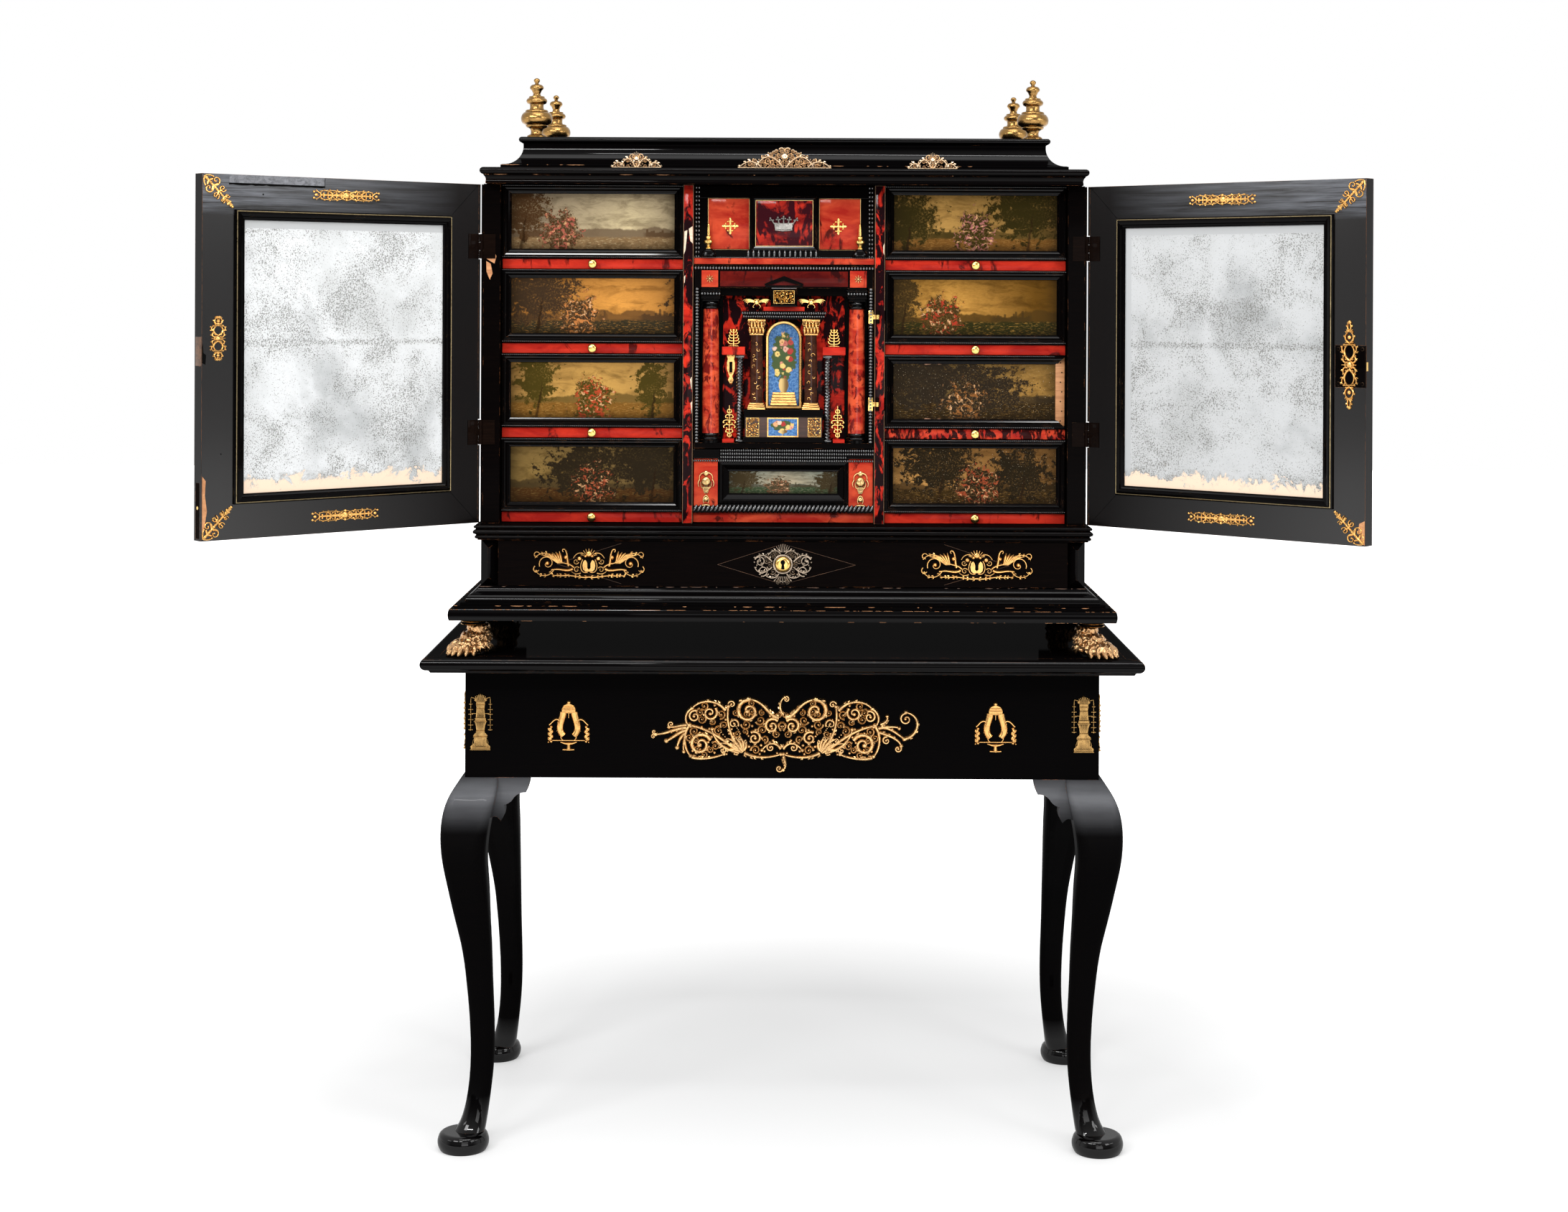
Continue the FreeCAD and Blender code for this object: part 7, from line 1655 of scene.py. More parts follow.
def enamelMaterial(name, tall):  # flowers in a small gilt vase on a blue ground
    look = {"middle": 0.60, "wide": 0.40, "high": 0.31, "blossoms": 5.2, "vaseTop": 0.34, "vaseFoot": 0.16}
    material, tree, shader, _ = newMaterial(name, Roughness=0.3, Coat_Weight=0.12, Coat_Roughness=0.08,
                                                Specular_IOR_Level=0.0)
    parts = split(tree.nodes.new("ShaderNodeTexCoord").outputs["UV"])
    across, up = less(parts[0], 0.5), parts[1]
    spot = combine(across, times(up, tall), 4.0)
    dabs = noise(spot, 14.0, 3, 0.6, 0.4)
    color = steps(dabs, [(0.35, (0.030, 0.10, 0.27)), (0.65, (0.11, 0.24, 0.46))])
    x = over(across, look["wide"])
    y = over(less(up, look["middle"]), look["high"])
    bunch = less(1.0, plus(times(x, x), times(y, y)))
    bunch = plus(bunch, times(less(noise(spot, 6.0, 4, 0.6), 0.5), 1.8))
    bunch = times(bunch, 8.0, clamp=True)
    color = blend(bunch, color, (0.055, 0.085, 0.030))
    cell = addNode(tree, "ShaderNodeTexVoronoi", {"Vector": spot, "Scale": look["blossoms"]}).outputs
    tint = addNode(tree, "ShaderNodeSeparateColor", {0: cell["Color"]}).outputs[0]
    petal = steps(tint, [(0.15, (0.36, 0.035, 0.03)), (0.4, (0.74, 0.48, 0.36)), (0.62, (0.62, 0.24, 0.16)),
                         (0.85, (0.70, 0.50, 0.16))])
    ripple = plus(cell["Distance"], times(less(dabs, 0.5), 0.5))
    bloom = times(bunch, times(less(0.52, ripple), 9.0, clamp=True))
    color = blend(bloom, color, petal)
    color = blend(times(bloom, times(less(0.16, ripple), 8.0, clamp=True)), color, (0.20, 0.05, 0.025))
    belly = sine(times(less(up, look["vaseFoot"]), 17.0))
    side = less(plus(0.09, times(belly, 0.08)), unsigned(across))
    vase = times(times(side, 60.0, clamp=True), times(less(look["vaseTop"], up), 60.0, clamp=True))
    gold = steps(plus(times(across, 3.0), 0.5), [(0.2, (0.66, 0.46, 0.18)), (0.8, (0.16, 0.09, 0.03))])
    color = blend(vase, color, gold)
    feed(shader, Base_Color=color)
    bump(shader, dabs, 0.2, 0.0003)
    return material


def archMesh(name, half, z0, z1, y, thick):
    spring = z1 - half
    outline = [(-half, z0), (half, z0)] + [(half * math.cos(math.pi * k / 20),
                                            spring + half * math.sin(math.pi * k / 20)) for k in range(21)]
    verts = [at(x, b, z) for b in (y, y + thick) for x, z in outline]
    count = len(outline)
    mesh = meshFrom(name, verts, ringFaces(2, count), 0)
    layer = mesh.uv_layers.new(name="picture")
    for loop in mesh.loops:
        point = mesh.vertices[loop.vertex_index].co / mm
        layer.data[loop.index].uv = ((point.x + half) / (2 * half), (point.z - z0) / (z1 - z0))
    return mesh


def dressPortico():
    body = "portico_door"
    low, high = span("portico_frame")
    size = {"face": 44.0, "column": (110.0, 26.5), "half": (41, 28), "twist": (66, 31), "stud": (111.5, 13.5),
            "arch": (28, 22.6)}
    face, (columnX, columnY), (halfX, halfY), (twistX, twistY), (studX, studRise), (outer, inner) = size.values()
    base, beam = low.z + 8, high.z - 33
    paint("portico_frame", ebony)
    Heap().slab((-92, 92), (face - 1.0, face), (base, beam - 12), 0.2).build("porticoField", shellDark, body)
    piece = Heap().slab((-96, 96), (face - 31.2, face - 30), (beam + 2, high.z - 8), 0.3)
    piece.build("porticoFrieze", shellFrieze, body)
    ends = Heap()
    for side in (-1, 1):
        ends.slab(flank(side, 99, 124), (face - 32.4, face - 30), (beam + 1, high.z - 7), 0.4)
    ends.build("friezeBlocks", shellBright, body)
    studs = Heap()
    for side in (-1, 1):
        for k in range(8):
            a = math.pi / 4 * k
            stroke(studs, [(side * studX, beam + studRise),
                           (side * studX + 6 * math.cos(a), beam + studRise + 6 * math.sin(a))], 4.4, 2.4, leaf=True)
        dome(studs, side * studX, beam + studRise, 3, 3.6, 12)
    studs.build("friezeStuds", giltPale, body, put=atFront(face - 32.4))
    rippleRows("friezeRipples", [((low.x + 1, face - 31, high.z - 3.4), (high.x - 1, face - 31, high.z - 3.4))], 4.4,
               (4.0, 4, 5), body)

    shafts, rings, caps = Heap(), Heap(), Heap()
    capFoot = beam - 20
    for side in (-1, 1):
        shafts.latheAt(side * columnX, columnY, base,
                       [(12.6, 14), (12.9, 60), (12.6, 110), (11.9, 160), (11.2, capFoot - base - 12)], 40)
        foot = [(16, 0, 0), (16, 4, 0), (14.4, 4.6, 0), (15.2, 6.2, 0.24), (13.6, 8.6, 0), (12.6, 9.6, 0),
                (13.4, 11, 0.2), (13.4, 13.4, 0), (12.9, 14.4, 0), (0.5, 14.4, 0)]
        rings.latheAt(side * columnX, columnY, base, rounded(foot), 40)
        neck = [(11.2, -12, 0), (12.8, -11, 0.2), (12.8, -8, 0), (11.4, -7.4, 0), (11.4, -5.4, 0), (12.2, -5, 0.2),
                (12.2, -2.4, 0), (11.4, 0, 0), (0.5, 0, 0)]
        rings.latheAt(side * columnX, columnY, capFoot, rounded(neck), 40)
        for inset, z0, z1 in ((1.4, 0, 4), (-0.6, 4, 8), (0.6, 8, 14.4), (-1.4, 14.4, 17), (-0.4, 17, 20)):
            reach = 14 - inset
            caps.slab((side * columnX - reach, side * columnX + reach), (columnY - reach, columnY + reach),
                      (capFoot + z0, capFoot + z1), 0.6)
    shafts.build("columnShafts", shellColumn, body, ["portico_columns"])
    rings.build("columnRings", ebonyBright, body, ["portico_columns"])
    caps.build("columnCapitals", frameBlack, body, ["portico_columns"], smooth=False)
    rows = [((side * columnX - 13, columnY - 14, capFoot + 11.2), (side * columnX + 13, columnY - 14, capFoot + 11.2))
            for side in (-1, 1)]
    rippleRows("capitalBeads", rows, 4.2, (3.8, 3.4, 4.4), body)
    rows = [((side * 130.5, 11.4, base + 2), (side * 130.5, 11.4, beam - 2)) for side in (-1, 1)]
    rippleRows("stileRipples", rows, 4.6, (4.2, 3, 5.4), body)

    stepTop = base + 50
    hood = low.z + 194
    black = Heap()
    black.slab((-60, 60), (face - 29, face), (base + 39, stepTop), 0.8)
    black.slab((-61, 61), (face - 29.6, face), (base, base + 8), 0.8)
    for dx, z0, z1, proud in ((0, 0, 4, 24), (3, 4, 8, 27), (5, 8, 12, 30)):
        black.slab((-59 - dx, 59 + dx), (face - proud, face), (hood + z0, hood + z1), 0.9)
    front = face - 34.5  # the tablet and the gable stand before the beam
    black.frame((-20, 20), (hood + 19, beam + 1),
                [(0, face - 30), (0, front), (1.6, front - 0.8), (3.4, front + 1), (3.4, face - 30)])
    black.slab((-19, 19), (face - 31, face - 12), (hood + 20, beam), 0.4)
    black.slab((-28, 28), (front - 1.6, face - 30), (beam + 1, beam + 4), 0.5)
    for way in (-1, 1):
        corners = [(way * 29, beam + 3.6), (way * 29, beam + 6.4), (0, beam + 18), (0, beam + 10.6)]
        black.add([(x, y, z) for y in (front - 1.4, face - 30) for x, z in corners], ringFaces(2, 4))
    black.build("aedicule", frameBlack, body, ["portico_aedicule"], smooth=False)
    rippleRows("hoodRipples", [((-62, face - 29.5, hood + 9), (62, face - 29.5, hood + 9)),
                               ((-60, face - 26.5, hood + 4), (60, face - 26.5, hood + 4))], 3.4, (3.4, 4, 4.2), body)
    piece = Heap().slab((-58, 58), (face - 27, face), (base + 8, base + 39), 0.8)
    piece.build("pedestalBody", darkWalnut, body, ["portico_aedicule"])
    reds = Heap()
    for side in (-1, 1):
        reds.slab(flank(side, 74.5, 92), (face - 28, face), (base, base + 5), 0.5)
        reds.slab(flank(side, 58.5, 93), (face - 24, face), (low.z + 140, low.z + 152), 0.7)
    reds.slab((-31, 31), (face - 24, face), (hood + 12.2, hood + 18.6), 0.6)
    piece = Heap().add([(x, y, z) for y in (front + 0.6, face - 30) for x,
                        z in ((-20, beam + 4), (20, beam + 4), (0, beam + 10.8))], ringFaces(2, 3))
    piece.build("gableField", shellFrieze, body, ["portico_aedicule"])
    reds.build("porticoBrackets", shellRail, body, ["portico_aedicule"])

    half = Heap()
    for side in (-1, 1):
        half.latheAt(side * halfX, halfY, stepTop + 10,
                     [(9.4, 0), (9.6, 30), (9.2, 70), (8.6, hood - 24 - stepTop - 10)], 32)
    half.build("halfColumns", shellAmber, body, ["portico_columns"])
    vines = Heap()
    rand = random.Random(4)
    for side in (-1, 1):
        for k in range(11):
            z = stepTop + 16 + k * 8.2
            a = rand.uniform(-0.7, 0.7)
            line = spiral(side * halfX + 9 * math.sin(a) * 0.8, z, rand.uniform(2.4, 4), 0.8, rand.uniform(0, 6),
                          rand.choice((-1, 1)), 8)
            stroke(vines, line, 1.3, 0.8)
    vines.build("columnInlay", gilt, body, ["portico_columns"],
                lambda v: at(v.x, halfY - math.sqrt(max(95 - (abs(v.x) - halfX) ** 2, 4)) - v.z * 0.6, v.y))
    blocks = Heap()
    for side in (-1, 1):
        x = side * halfX
        for z0, z1, reach in ((0, 4, 13.4), (4, 7, 12.2), (7, 10, 10.8)):
            blocks.slab((x - reach, x + reach), (halfY - reach, halfY + reach), (stepTop + z0, stepTop + z1), 0.7)
        blocks.slab((x - 13.4, x + 13.4), (14.6, 41.4), (hood - 3.4, hood), 0.7)
        blocks.slab((x - 10.4, x + 10.4), (17.6, 38.4), (hood - 24, hood - 21), 0.7)
        blocks.latheAt(x, halfY, hood - 21, rounded([(9.6, 0, 0), (10.6, 6, 0.1), (12.4, 14, 0.1), (13, 17.6, 0)]), 28)
    blocks.build("halfBases", gilt, body, ["portico_columns"])
    leaves = Heap()
    for side in (-1, 1):
        for z, count, length in ((hood - 21, 5, 9), (hood - 14, 4, 9)):
            for k in range(count):
                x = side * halfX + (k - (count - 1) / 2) * 5
                stroke(leaves, bow((x, z), (x + 0.6, z + 4), (x - 0.6, z + 7), (x, z + length)), 5, 3.4, leaf=True)
        for way in (-1, 1):
            stroke(leaves, spiral(side * halfX + way * 10.4, hood - 6, 4.4, 1.3, 1.6, way), 2, 3.2)
        dome(leaves, side * halfX, hood - 4, 2.6, 3.4)
    leaves.build("capitalLeaves", gilt, body, put=atFront(16.4))
    twists = Heap()
    for side in (-1, 1):
        twists.add(*ropeColumn(side * twistX, twistY, base + 3, low.z + 138, 5.6))
        twists.slab((side * twistX - 6.4, side * twistX + 6.4), (24.6, 37.4), (base, base + 4), 0.6)
        twists.slab((side * twistX - 6.4, side * twistX + 6.4), (24.6, 37.4), (low.z + 136, low.z + 140), 0.6)
    twists.build("twistedColumns", ebonyRipple, body, ["portico_columns"])

    z0, z1 = stepTop, stepTop + 134
    ring = Heap()
    count = 24
    profile = [(outer, face - 0.2), (outer, face - 8), (outer - 1.6, face - 9), (inner + 1.2, face - 8.6),
               (inner, face - 7), (inner, face - 4)]
    verts = []
    for r, y in profile:
        spring = z1 - outer
        verts += [(-r, y, z0 + outer - r), (r, y, z0 + outer - r)]
        verts += [(r * math.cos(math.pi * k / count), y, spring + r * math.sin(math.pi * k / count))
                  for k in range(count + 1)]
    ring.add(verts, ringFaces(len(profile), count + 3, capped=False))
    ring.build("archFrame", gilt, body, ["portico_aedicule"])
    mesh = archMesh("archPicture", inner + 0.4, z0 + outer - inner, z1 - outer + inner, face - 5, 4.8)
    finishObject("archPicture", mesh, enamelMaterial("archFlowers", 2.6), body, ["portico_aedicule"], smooth=False)
    mesh = panelMesh("pedestalPicture", (-23, 21), (base + 10.5, base + 36.5), face - 28.2, 1.2)
    finishObject("pedestalPicture", mesh, enamelMaterial("pedestalFlowers", 0.62), body, ["portico_aedicule"],
                 smooth=False)
    small = Heap()
    small.frame((-24.4, 22.4), (base + 9, base + 38),
                [(0, face - 27), (0, face - 28.8), (1.7, face - 28.8), (1.7, face - 27)])
    for k in range(5):
        small.slab((-20 + k * 0.8, 20 - k * 0.8), (face - 12 + k * 1.3, face - 4),
                   (z0 + 5.6 + k * 4, z0 + 9.4 + k * 4), 0.6)
    small.build("pedestalTrim", gilt, body, ["portico_aedicule"], smooth=False)
    fret = Heap()
    for x, z, w, h, seed in ((-46.5, base + 23.5, 19, 28, 3), (46.5, base + 23.5, 19, 28, 9),
                             (0, (hood + beam) / 2 + 10, 31, 19, 5)):
        outline = [(x - w / 2, z - h / 2), (x + w / 2, z - h / 2), (x + w / 2, z + h / 2), (x - w / 2, z + h / 2)]
        for i in range(4):
            stroke(fret, [outline[i - 1], outline[i]], 0.9, 1.2, (1, 1))
        packCurls(fret, outline, [], (1.7, 4.4), seed, 0.95, 1.0, 300)
    fret.build("filigree", giltSmall, body, ["portico_aedicule"],
               lambda v: at(v.x, (face - 27 if v.y < hood else face - 31.2) - v.z, v.y))

    wings = Heap()
    for side in (-1, 1):
        wings.shift(winged(), side * halfX, hood + 26)
    wings.build("wingedMounts", giltSmall, body, ["portico_brass"], atFront(face - 22))
    fans = Heap()
    for side in (-1, 1):
        fans.shift(palmette(), side * 76, low.z + 165, 1.1, 1.05)
        fans.shift(dropMount(), side * 82, base + 30)
    fans.build("palmettes", giltSmall, body, ["portico_brass"], atFront(face - 1))
    Heap().shift(keyPlate(), -80, 1159).build("keyPlate", gilt, body, ["portico_brass"], atFront(face - 1))
    # the key slot is a near-black plate: painted shade in place of the hole
    slot = Heap()
    plate(slot, [(-82.2, 1152), (-77.8, 1152), (-77.8, 1168), (-82.2, 1168)], 0.3, 1.9)
    slot.build("keySlot", darkHole, body, put=atFront(face - 1))
    hinges = Heap()
    pin = (140.6, 8.5)
    for z in (low.z - 1 + 58, low.z - 1 + 189):
        hinges.slab((127, 134), (10.4, 11.5), (z, z + 19.8), 0.2)
        hinges.slab((134, 140.6), (10.5, 11.5), (z + 6.7, z + 13.1), 0.1)
        hinges.latheAt(pin[0], pin[1], z + 6.7, [(3.1, 0), (3.1, 6.4)], 24)
    hinges.build("smallHinges", brass, body, ["portico_brass"])
    print("portico dressed")


def dressDoor(side):
    name = "left" if side < 0 else "right"
    body = f"door_{name}"
    place = onDoor(side)
    doorSizes = {"face": -2.5, "skin": -23.5, "x": (-450.0, -0.5), "z": (927.0, 1433.0), "border": 48.5}
    (x0, x1), (z0, z1), face = doorSizes["x"], doorSizes["z"], doorSizes["face"]
    paint(f"{body}_leaf", doorBlack)
    paint(f"{body}_mirror", mirrorLeft if side < 0 else mirrorRight)
    border = doorSizes["border"]
    rims = Heap()
    profile = [(0, face), (0, face + 3), (1.4, face + 4.2), (3, face + 4.4), (3.8, face + 6.4), (6.2, face + 8),
               (9.4, face + 7.2), (10.4, face + 4.8), (12.6, face + 4.4), (13.6, face + 3), (14.4, face + 2.6),
               (14.4, face)]
    rims.frame((x0 + border, x1 - border), (z0 + border, z1 - border), profile)
    skin = doorSizes["skin"]
    field = [(0, skin), (0, skin - 2), (2, skin - 3), (6, skin - 2.4), (9, skin - 1.6), (11, skin - 1.6), (12, skin)]
    rims.frame((x0 + 60, x1 - 60), (z0 + 60, z1 - 60), field)
    rims.build(f"mirrorMoulding_{name}", rimBlack, body, [f"{body}_mouldings"], place, smooth=False)
    # a thin bead along the glass edge in pale gilt: a painted highlight, as the real bead is black like the moulding
    bead = Heap()
    beadProfile = [(1.5, face + 4), (1.7, face + 5.2), (2.3, face + 5.7), (3.0, face + 5.3), (3.3, face + 4.2)]
    bead.frame((x0 + border, x1 - border), (z0 + border, z1 - border), beadProfile)
    bead.build(f"mirrorBeadHighlight_{name}", rimBeadHighlight, body, [f"{body}_mouldings"], place, smooth=False)

    mounts = Heap()
    margin = border / 2
    middle = (x0 + x1) / 2
    flatness = 0.62
    onFace = lambda v: place(Vector((v.x, face + v.z * flatness, v.y)))
    for level in (z0 + margin, z1 - margin):
        mounts.shift(strip(), middle, level, 0.94, 0.74)
    for level, way in ((z0, 1), (z1, -1)):
        mounts.merge(corner(), lambda v: Vector((x1 - 1 - v.x, level + way * (1 + v.y), v.z)))
    if side < 0:
        mounts.shift(stileMount(68), x1 - margin, 1206, 0.95, 0.62)
    else:
        mounts.merge(stileMount(120), lambda v: Vector((v.x + x1 - margin, v.y + 1176, v.z * 1.2 + 0.4)))
    mounts.build(f"giltMounts_{name}", giltDoor, body, [f"{body}_brass"], onFace)

    lips = Heap()
    for low, high in ((927, 1043), (1082, 1321), (1360, 1433)):
        lips.slab((-453.3, x0 + 0.2), (skin + 0.3, face - 0.3), (low, high), 0.2)
    lips.build(f"doorLip_{name}", doorBlack, body, put=place, smooth=False)
    hinges = Heap()
    for lift in (118, 396):
        z = 926 + lift
        hinges.slab((x0, x0 + 18), (face, face + 1), (z, z + 36.6), 0.1)
        hinges.slab((-pinX, x0), (face, face + 1), (z + 12.3, z + 24.3), 0.1)
        hinges.latheAt(-pinX, pinY, z + 12.3, [(3.1, 0), (3.1, 12)], 24)
    if side < 0:
        hinges.slab((x1 - 1, x1), (-18.5, -13.1), (930, 1007), 0.1)
        hinges.slab((x1 - 1, x1), (-12.9, -7.5), (930, 1007), 0.1)
    hinges.build(f"hingeHalves_{name}", ebonyHinge, body, [f"{body}_brass"], place)
    if side > 0:
        lock = Heap()
        lock.slab((x1 - 46, x1), (face - 2, face + 0.25), (1145, 1203), 0.5)
        for dx, dz in ((5, 5), (41, 5), (5, 53), (41, 53)):
            lock.add(*lockScrew(x1 - 46 + dx, face + 0.2, 1145 + dz))
        lock.build("lockPlate", blackWood("ironBlack", 0.2, 0.42, 0.5, (0.12, 0.07, 0.04)), body, [f"{body}_brass"],
                   place)
    print(name, "door dressed")


def lockScrew(x, y, z):
    verts, faces = lathe([(2.4, 0), (2.4, 0.5), (1.6, 0.9), (0.1, 1.0)], 14)
    return [(x + v[0], y + v[2], z + v[1]) for v in verts], faces


def wornArris(heap, rand, reach, y, end, z, up, share, tall):  # slivers of bare wood along a front arris
    def sliver(start, length, spot):
        count = max(3, int(length / 2.5))
        rows = []
        for k in range(count + 1):
            h = tall * (0.1 + abs(math.sin(math.pi * k / count)) ** 0.6) * rand.uniform(0.45, 1.0)
            rows += spot(start + length * k / count, h)
        heap.add(rows, ringFaces(count + 1, 3))

    def front(x, h):
        return [(x, y - 0.07, z - up * h), (x, y - 0.07, z + up * 0.07), (x, y + h, z + up * 0.07)]

    x = -reach
    while x < reach:
        length = min(rand.expovariate(1 / 7.0) + 1.5, reach - x + 0.1)
        sliver(x, length, front)
        x += length + rand.expovariate(share / 7.0)
    for side in (-1, 1):
        back = y
        while back < end:
            length = rand.expovariate(1 / 6.0) + 1.5
            sliver(back, length, lambda v, h: [(side * (reach + 0.07), v, z - up * h),
                                               (side * (reach - h), v, z + up * 0.07),
                                               (side * (reach + 0.07), v, z + up * 0.07)][::side])
            back += length + rand.expovariate(share / 14.0)


def dressWear():  # bare and broken wood where the old finish has gone
    rand = random.Random(12)
    backGap = 14  # the mouldings' back ends are left whole
    arrises = {"warm": (("base_moulding", 490.3, -66.8, 805.6, 1, 0.9, 0.9),
                        ("base_moulding", 490.3, -66.8, 789.0, -1, 0.2, 0.9),
                        ("base_moulding", 483.6, -60.1, 810.2, 1, 0.14, 0.7),
                        ("cornice", 447.7, -24.2, 1447.4, 1, 0.10, 0.7)),
               "lid": (("lid_shell", 426.0, 5.0, 1463.2, 1, 0.12, 0.6),),
               "dark": (("base_moulding", 451.7, -28.2, 835.0, 1, 0.3, 0.8),
                        ("stand_top", 527.2, -82.2, 733.6, 1, 0.25, 0.9),
                        ("stand_top", 525.0, -79.6, 717.9, -1, 0.2, 0.8))}
    for name, material, body in (("warm", bareWood, rootBody), ("lid", bareWood, "lid"),
                                 ("dark", rubbedWood, rootBody)):
        slivers = Heap()
        for node, reach, y, z, up, share, tall in arrises[name]:
            wornArris(slivers, rand, reach, y, span(node)[1].y - backGap, z, up, share, tall)
        slivers.build(f"{name}Arrises", material, body, smooth=False)
    drawn = Heap()
    low, high = span("long_drawer_front")
    for x0, x1 in ((-97, 0), (0, 108), (-336, -240), (240, 336)):
        for z0, z1 in ((-1, 30), (-1, -30)):
            ends = ((x0, z0), (x1, z1)) if x0 < 0 else ((x0, z1), (x1, z0))
            line = [(ends[0][0] + (ends[1][0] - ends[0][0]) * k / 8,
                     (low.z + high.z) / 2 + ends[0][1] + (ends[1][1] - ends[0][1]) * k / 8) for k in range(9)]
            stroke(drawn, line, 0.4, 0.12, (1, 1), 3)
    drawn.build("drawerLozenges", brokenWood, "long_drawer", put=atFront(low.y))

    def ragged(points, spread=0.8):
        return [(x + rand.uniform(-spread, spread), z + rand.uniform(-spread, spread)) for x, z in points]

    def onLeaf(side):
        return lambda v: onDoor(side)(Vector((v.x, -2.5 + v.z, v.y)))

    chips = Heap()
    plate(chips, ragged([(-449, 1340), (-444, 1344), (-436, 1336), (-430, 1326), (-433, 1314), (-440, 1318),
                         (-446, 1322)]), 0.7)
    plate(chips, ragged([(-446, 1318), (-440, 1314), (-436, 1300), (-441, 1290), (-445, 1302)]), 0.6)
    chips.build("caseChips", bareWood, rootBody, put=atFront(0.05))
    losses = Heap()
    for points in ([(-150, 1364), (-146, 1366), (-146.5, 1350), (-148, 1336), (-150.4, 1330)],
                   [(-143, 1368), (-138, 1372), (-137.6, 1346), (-141, 1350)],
                   [(-140, 1142), (-137.6, 1146), (-137.8, 1126), (-139, 1130)],
                   [(-139.6, 1106), (-137.6, 1110), (-138, 1090)],
                   [(149, 1344), (150.6, 1348), (150.2, 1330), (149.2, 1334)],
                   [(-150.6, 1296), (-148.4, 1299), (-149, 1288), (-150.4, 1286)]):
        plate(losses, ragged(points, 0.5), 0.25)
    losses.build("partitionLosses", paleGround, rootBody, put=atFront(span("partitions")[0].y - 1.2))
    left = Heap()
    plate(left, [(-2, 1016), (-7, 1010), (-6, 990), (-9, 968), (-5, 944), (-2, 938)], 0.5)
    left.build("doorChips", bareWood, "door_left", put=onLeaf(-1))
    piece = Heap().slab((-1.4, -0.45), (-21, -3.4), (1168, 1208), 0.1)
    piece.build("brokenStrike", brokenWood, "door_left", put=onDoor(-1))
    # a let-in strip on the top rail; its pale blue-grey colour is a painted sheen
    patch = Heap()
    plate(patch, [(-189.5, 1421.4), (-41, 1421.4), (-41, 1432.8), (-189.5, 1432.8)], 0.3)
    patch.build("letInStrip", plainWood("letInStripSheen", (0.22, 0.225, 0.245), (0.06, 0.062, 0.068)), "door_left",
                put=onLeaf(-1))
    cracks = Heap()
    pieces = 26
    crack = [(-190.4 + 150 * k / pieces, 1421.4) for k in range(pieces + 1)]
    crack += [(-190.4 + 150 * k / pieces, 1419.6 - rand.uniform(0, 1.6)) for k in range(pieces, -1, -1)]
    for k in range(pieces):
        plate(cracks, [crack[k], crack[k + 1], crack[-k - 2], crack[-k - 1]], 0.34)
    stroke(cracks, [(-190, 1421), (-190, 1427), (-190.4, 1432.6)], 0.9, 0.36, (1, 1))
    plate(cracks, [(-7, 1183), (-3, 1186), (-2, 1198), (-1, 1196), (-1, 1172), (-6, 1170)], 0.34)
    # two small holes as dark domes: painted shade in place of their depth
    dome(cracks, -93, 1406.5, 1.3, 0.3, 8)
    dome(cracks, -30, 1046, 1.1, 0.3, 8)
    for side, heap in ((-1, cracks), (1, Heap())):
        for x, z, dx, dz in ((-1, 1432.6, -1, -1), (-449.6, 1432.6, 1, -1), (-1, 927.4, -1, 1), (-449.6, 927.4, 1, 1)):
            stroke(heap, [(x + dx * share * 47, z + dz * share * 47) for share in (0, 0.25, 0.5, 0.75, 1)], 0.7, 0.2,
                   (1, 1))
        name = "left" if side < 0 else "right"
        heap.build(f"mitreLines_{name}", darkHole, f"door_{name}", put=onLeaf(side))
    right = Heap()
    plate(right, [(-1, 962), (-9, 958), (-11, 946), (-6, 940), (-8, 930), (-1, 929)], 0.5)
    right.build("doorNotch", bareWood, "door_right", put=onLeaf(1))
    print("wear added")


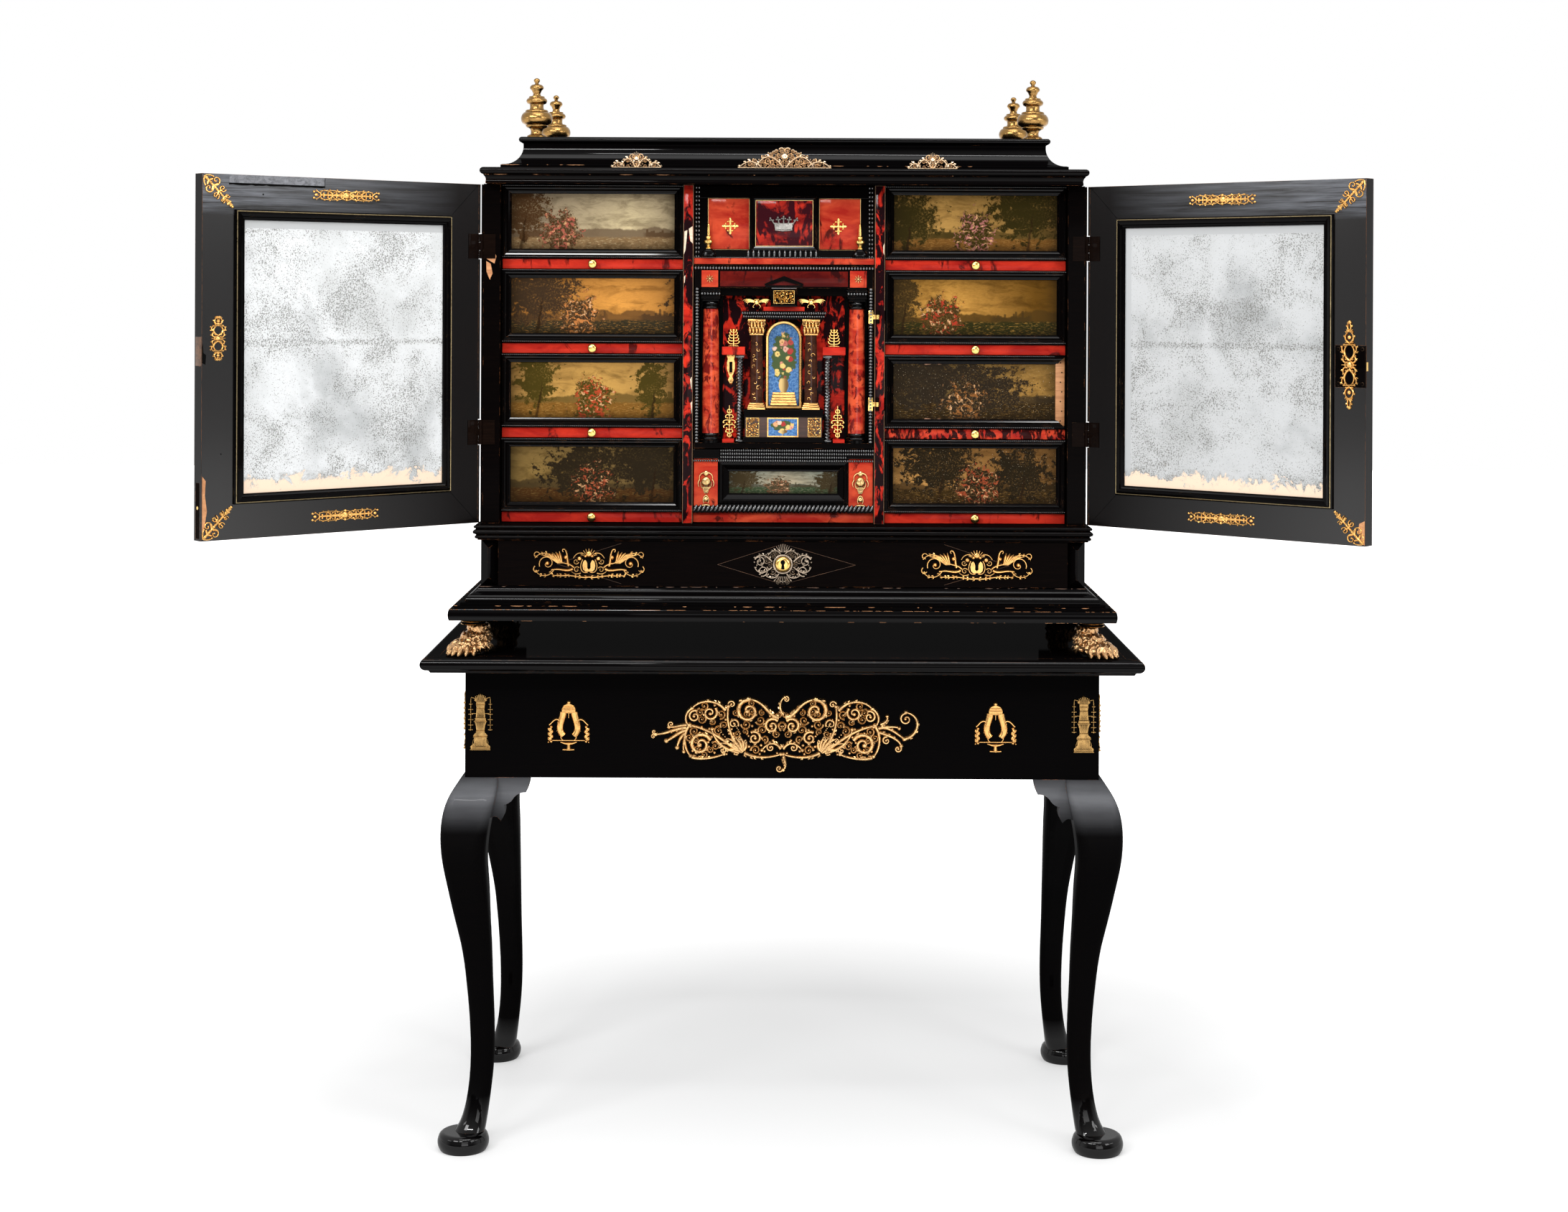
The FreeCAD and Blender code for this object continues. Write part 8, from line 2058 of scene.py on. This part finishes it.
def buildStage():
    view = {"distance": 3.54, "height": 1.265, "focalPixels": 3294, "imageWidth": 2184, "imageHeight": 1688,
            "horizonRow": 415, "roll": math.radians(0.25), "sensor": 36.0}
    camera = bpy.data.cameras.new("camera")
    camera.sensor_width = view["sensor"]
    camera.sensor_fit = "HORIZONTAL"
    camera.lens = view["focalPixels"] / view["imageWidth"] * view["sensor"]
    camera.shift_y = -(view["imageHeight"] / 2 - view["horizonRow"]) / view["imageWidth"]
    holder = addObject("camera", camera)
    holder.location = (0, caseFront - view["distance"], view["height"])
    holder.rotation_euler = (math.pi / 2, -view["roll"], 0)
    bpy.context.scene.camera = holder

    room = {"front": 0.13, "sky": 0.62, "skyFrom": 0.12, "skyRise": 1.5, "back": 0.42, "backRise": 1.2,
            "turnFrom": 0.62,
            "turnRise": 2.6}
    world = bpy.data.worlds.new("studio")
    bpy.context.scene.world = world
    world.use_nodes = True
    tree = world.node_tree
    tree.nodes.clear()
    path = tree.nodes.new("ShaderNodeLightPath")
    place = tree.nodes.new("ShaderNodeTexCoord")
    way = split(place.outputs["Generated"])
    above = times(less(way[2], room["skyFrom"]), room["skyRise"], clamp=True)
    behind = times(plus(way[1], 0.15), room["backRise"], clamp=True)
    tone = plus(times(above, room["sky"]), times(behind, room["back"]))
    tone = plus(tone, room["front"], clamp=True)
    color = combine(tone, tone, tone)
    mirrored = plus(path.outputs["Is Glossy Ray"], path.outputs["Is Transmission Ray"], clamp=True)
    beyond = times(plus(way[1], room["turnFrom"]), room["turnRise"], clamp=True)
    seen = plus(path.outputs["Is Camera Ray"], times(mirrored, beyond), clamp=True)
    ground = addNode(tree, "ShaderNodeBackground", {"Color": blend(seen, color, (1, 1, 1)), "Strength": 1.0})
    out = tree.nodes.new("ShaderNodeOutputWorld")
    tree.links.new(ground.outputs[0], out.inputs[0])

    lamps = {"key": ((-2.4, -3.0, 3.1), 80, 1.5, 1.1), "fill": ((2.9, -2.7, 2.3), 44, 1.2, 1.6),
             "top": ((0.0, -0.9, 3.9), 34, 2.4, 1.2), "low": ((0.6, -4.2, 1.0), 20, 2.2, 1.0),
             "spark": ((-0.75, -2.9, 2.6), 26, 0.8, 0.12), "sparkTop": ((0.3, -1.5, 3.3), 20, 1.6, 0.08),
             "sideRight": ((3.3, -1.35, 1.8), 9, 1.1, 0.35), "sideLeft": ((-3.3, -1.35, 1.8), 7, 1.1, 0.35)}
    for name, (spot, power, wide, tall) in lamps.items():
        lamp = bpy.data.lights.new(name, "AREA")
        lamp.shape = "RECTANGLE"
        lamp.energy, lamp.size, lamp.size_y = power, wide, tall
        holder = addObject(name, lamp)
        holder.location = spot
        holder.rotation_euler = (Vector((0, 0, 0.9)) - Vector(spot)).to_track_quat("-Z", "Y").to_euler()

    mesh = bpy.data.meshes.new("floor")
    reach = 14.0
    mesh.from_pydata([(-reach, -reach, 0), (reach, -reach, 0), (reach, reach, 0), (-reach, reach, 0)], [],
                     [(0, 1, 2, 3)])
    floor = addObject("floor", mesh)
    material, tree, shader, place = newMaterial("paleFloor", Roughness=0.6, Base_Color=(0.52, 0.52, 0.52, 1),
                                                Emission_Color=(1, 1, 1, 1), Specular_IOR_Level=0.2)
    path = tree.nodes.new("ShaderNodeLightPath").outputs
    seen = plus(path["Is Camera Ray"], path["Is Transmission Ray"])
    seen = plus(seen, path["Is Glossy Ray"], clamp=True)
    away = addNode(tree, "ShaderNodeVectorMath", {0: place}, operation="LENGTH").outputs["Value"]
    lift = plus(0.33, times(less(away, 0.7), 0.5, clamp=True))
    tree.links.new(times(seen, lift), shader.inputs["Emission Strength"])
    mesh.materials.append(material)
    print("stage ready")


dressStand()
dressPaws()
dressCase()
dressLongDrawer()
dressFinials()
dressLid()
dressDrawers()
dressAttic()
dressPlinth()
dressPortico()
dressDoor(-1)
dressDoor(1)
dressWear()
buildStage()
bpy.context.scene.view_settings.view_transform = "Standard"
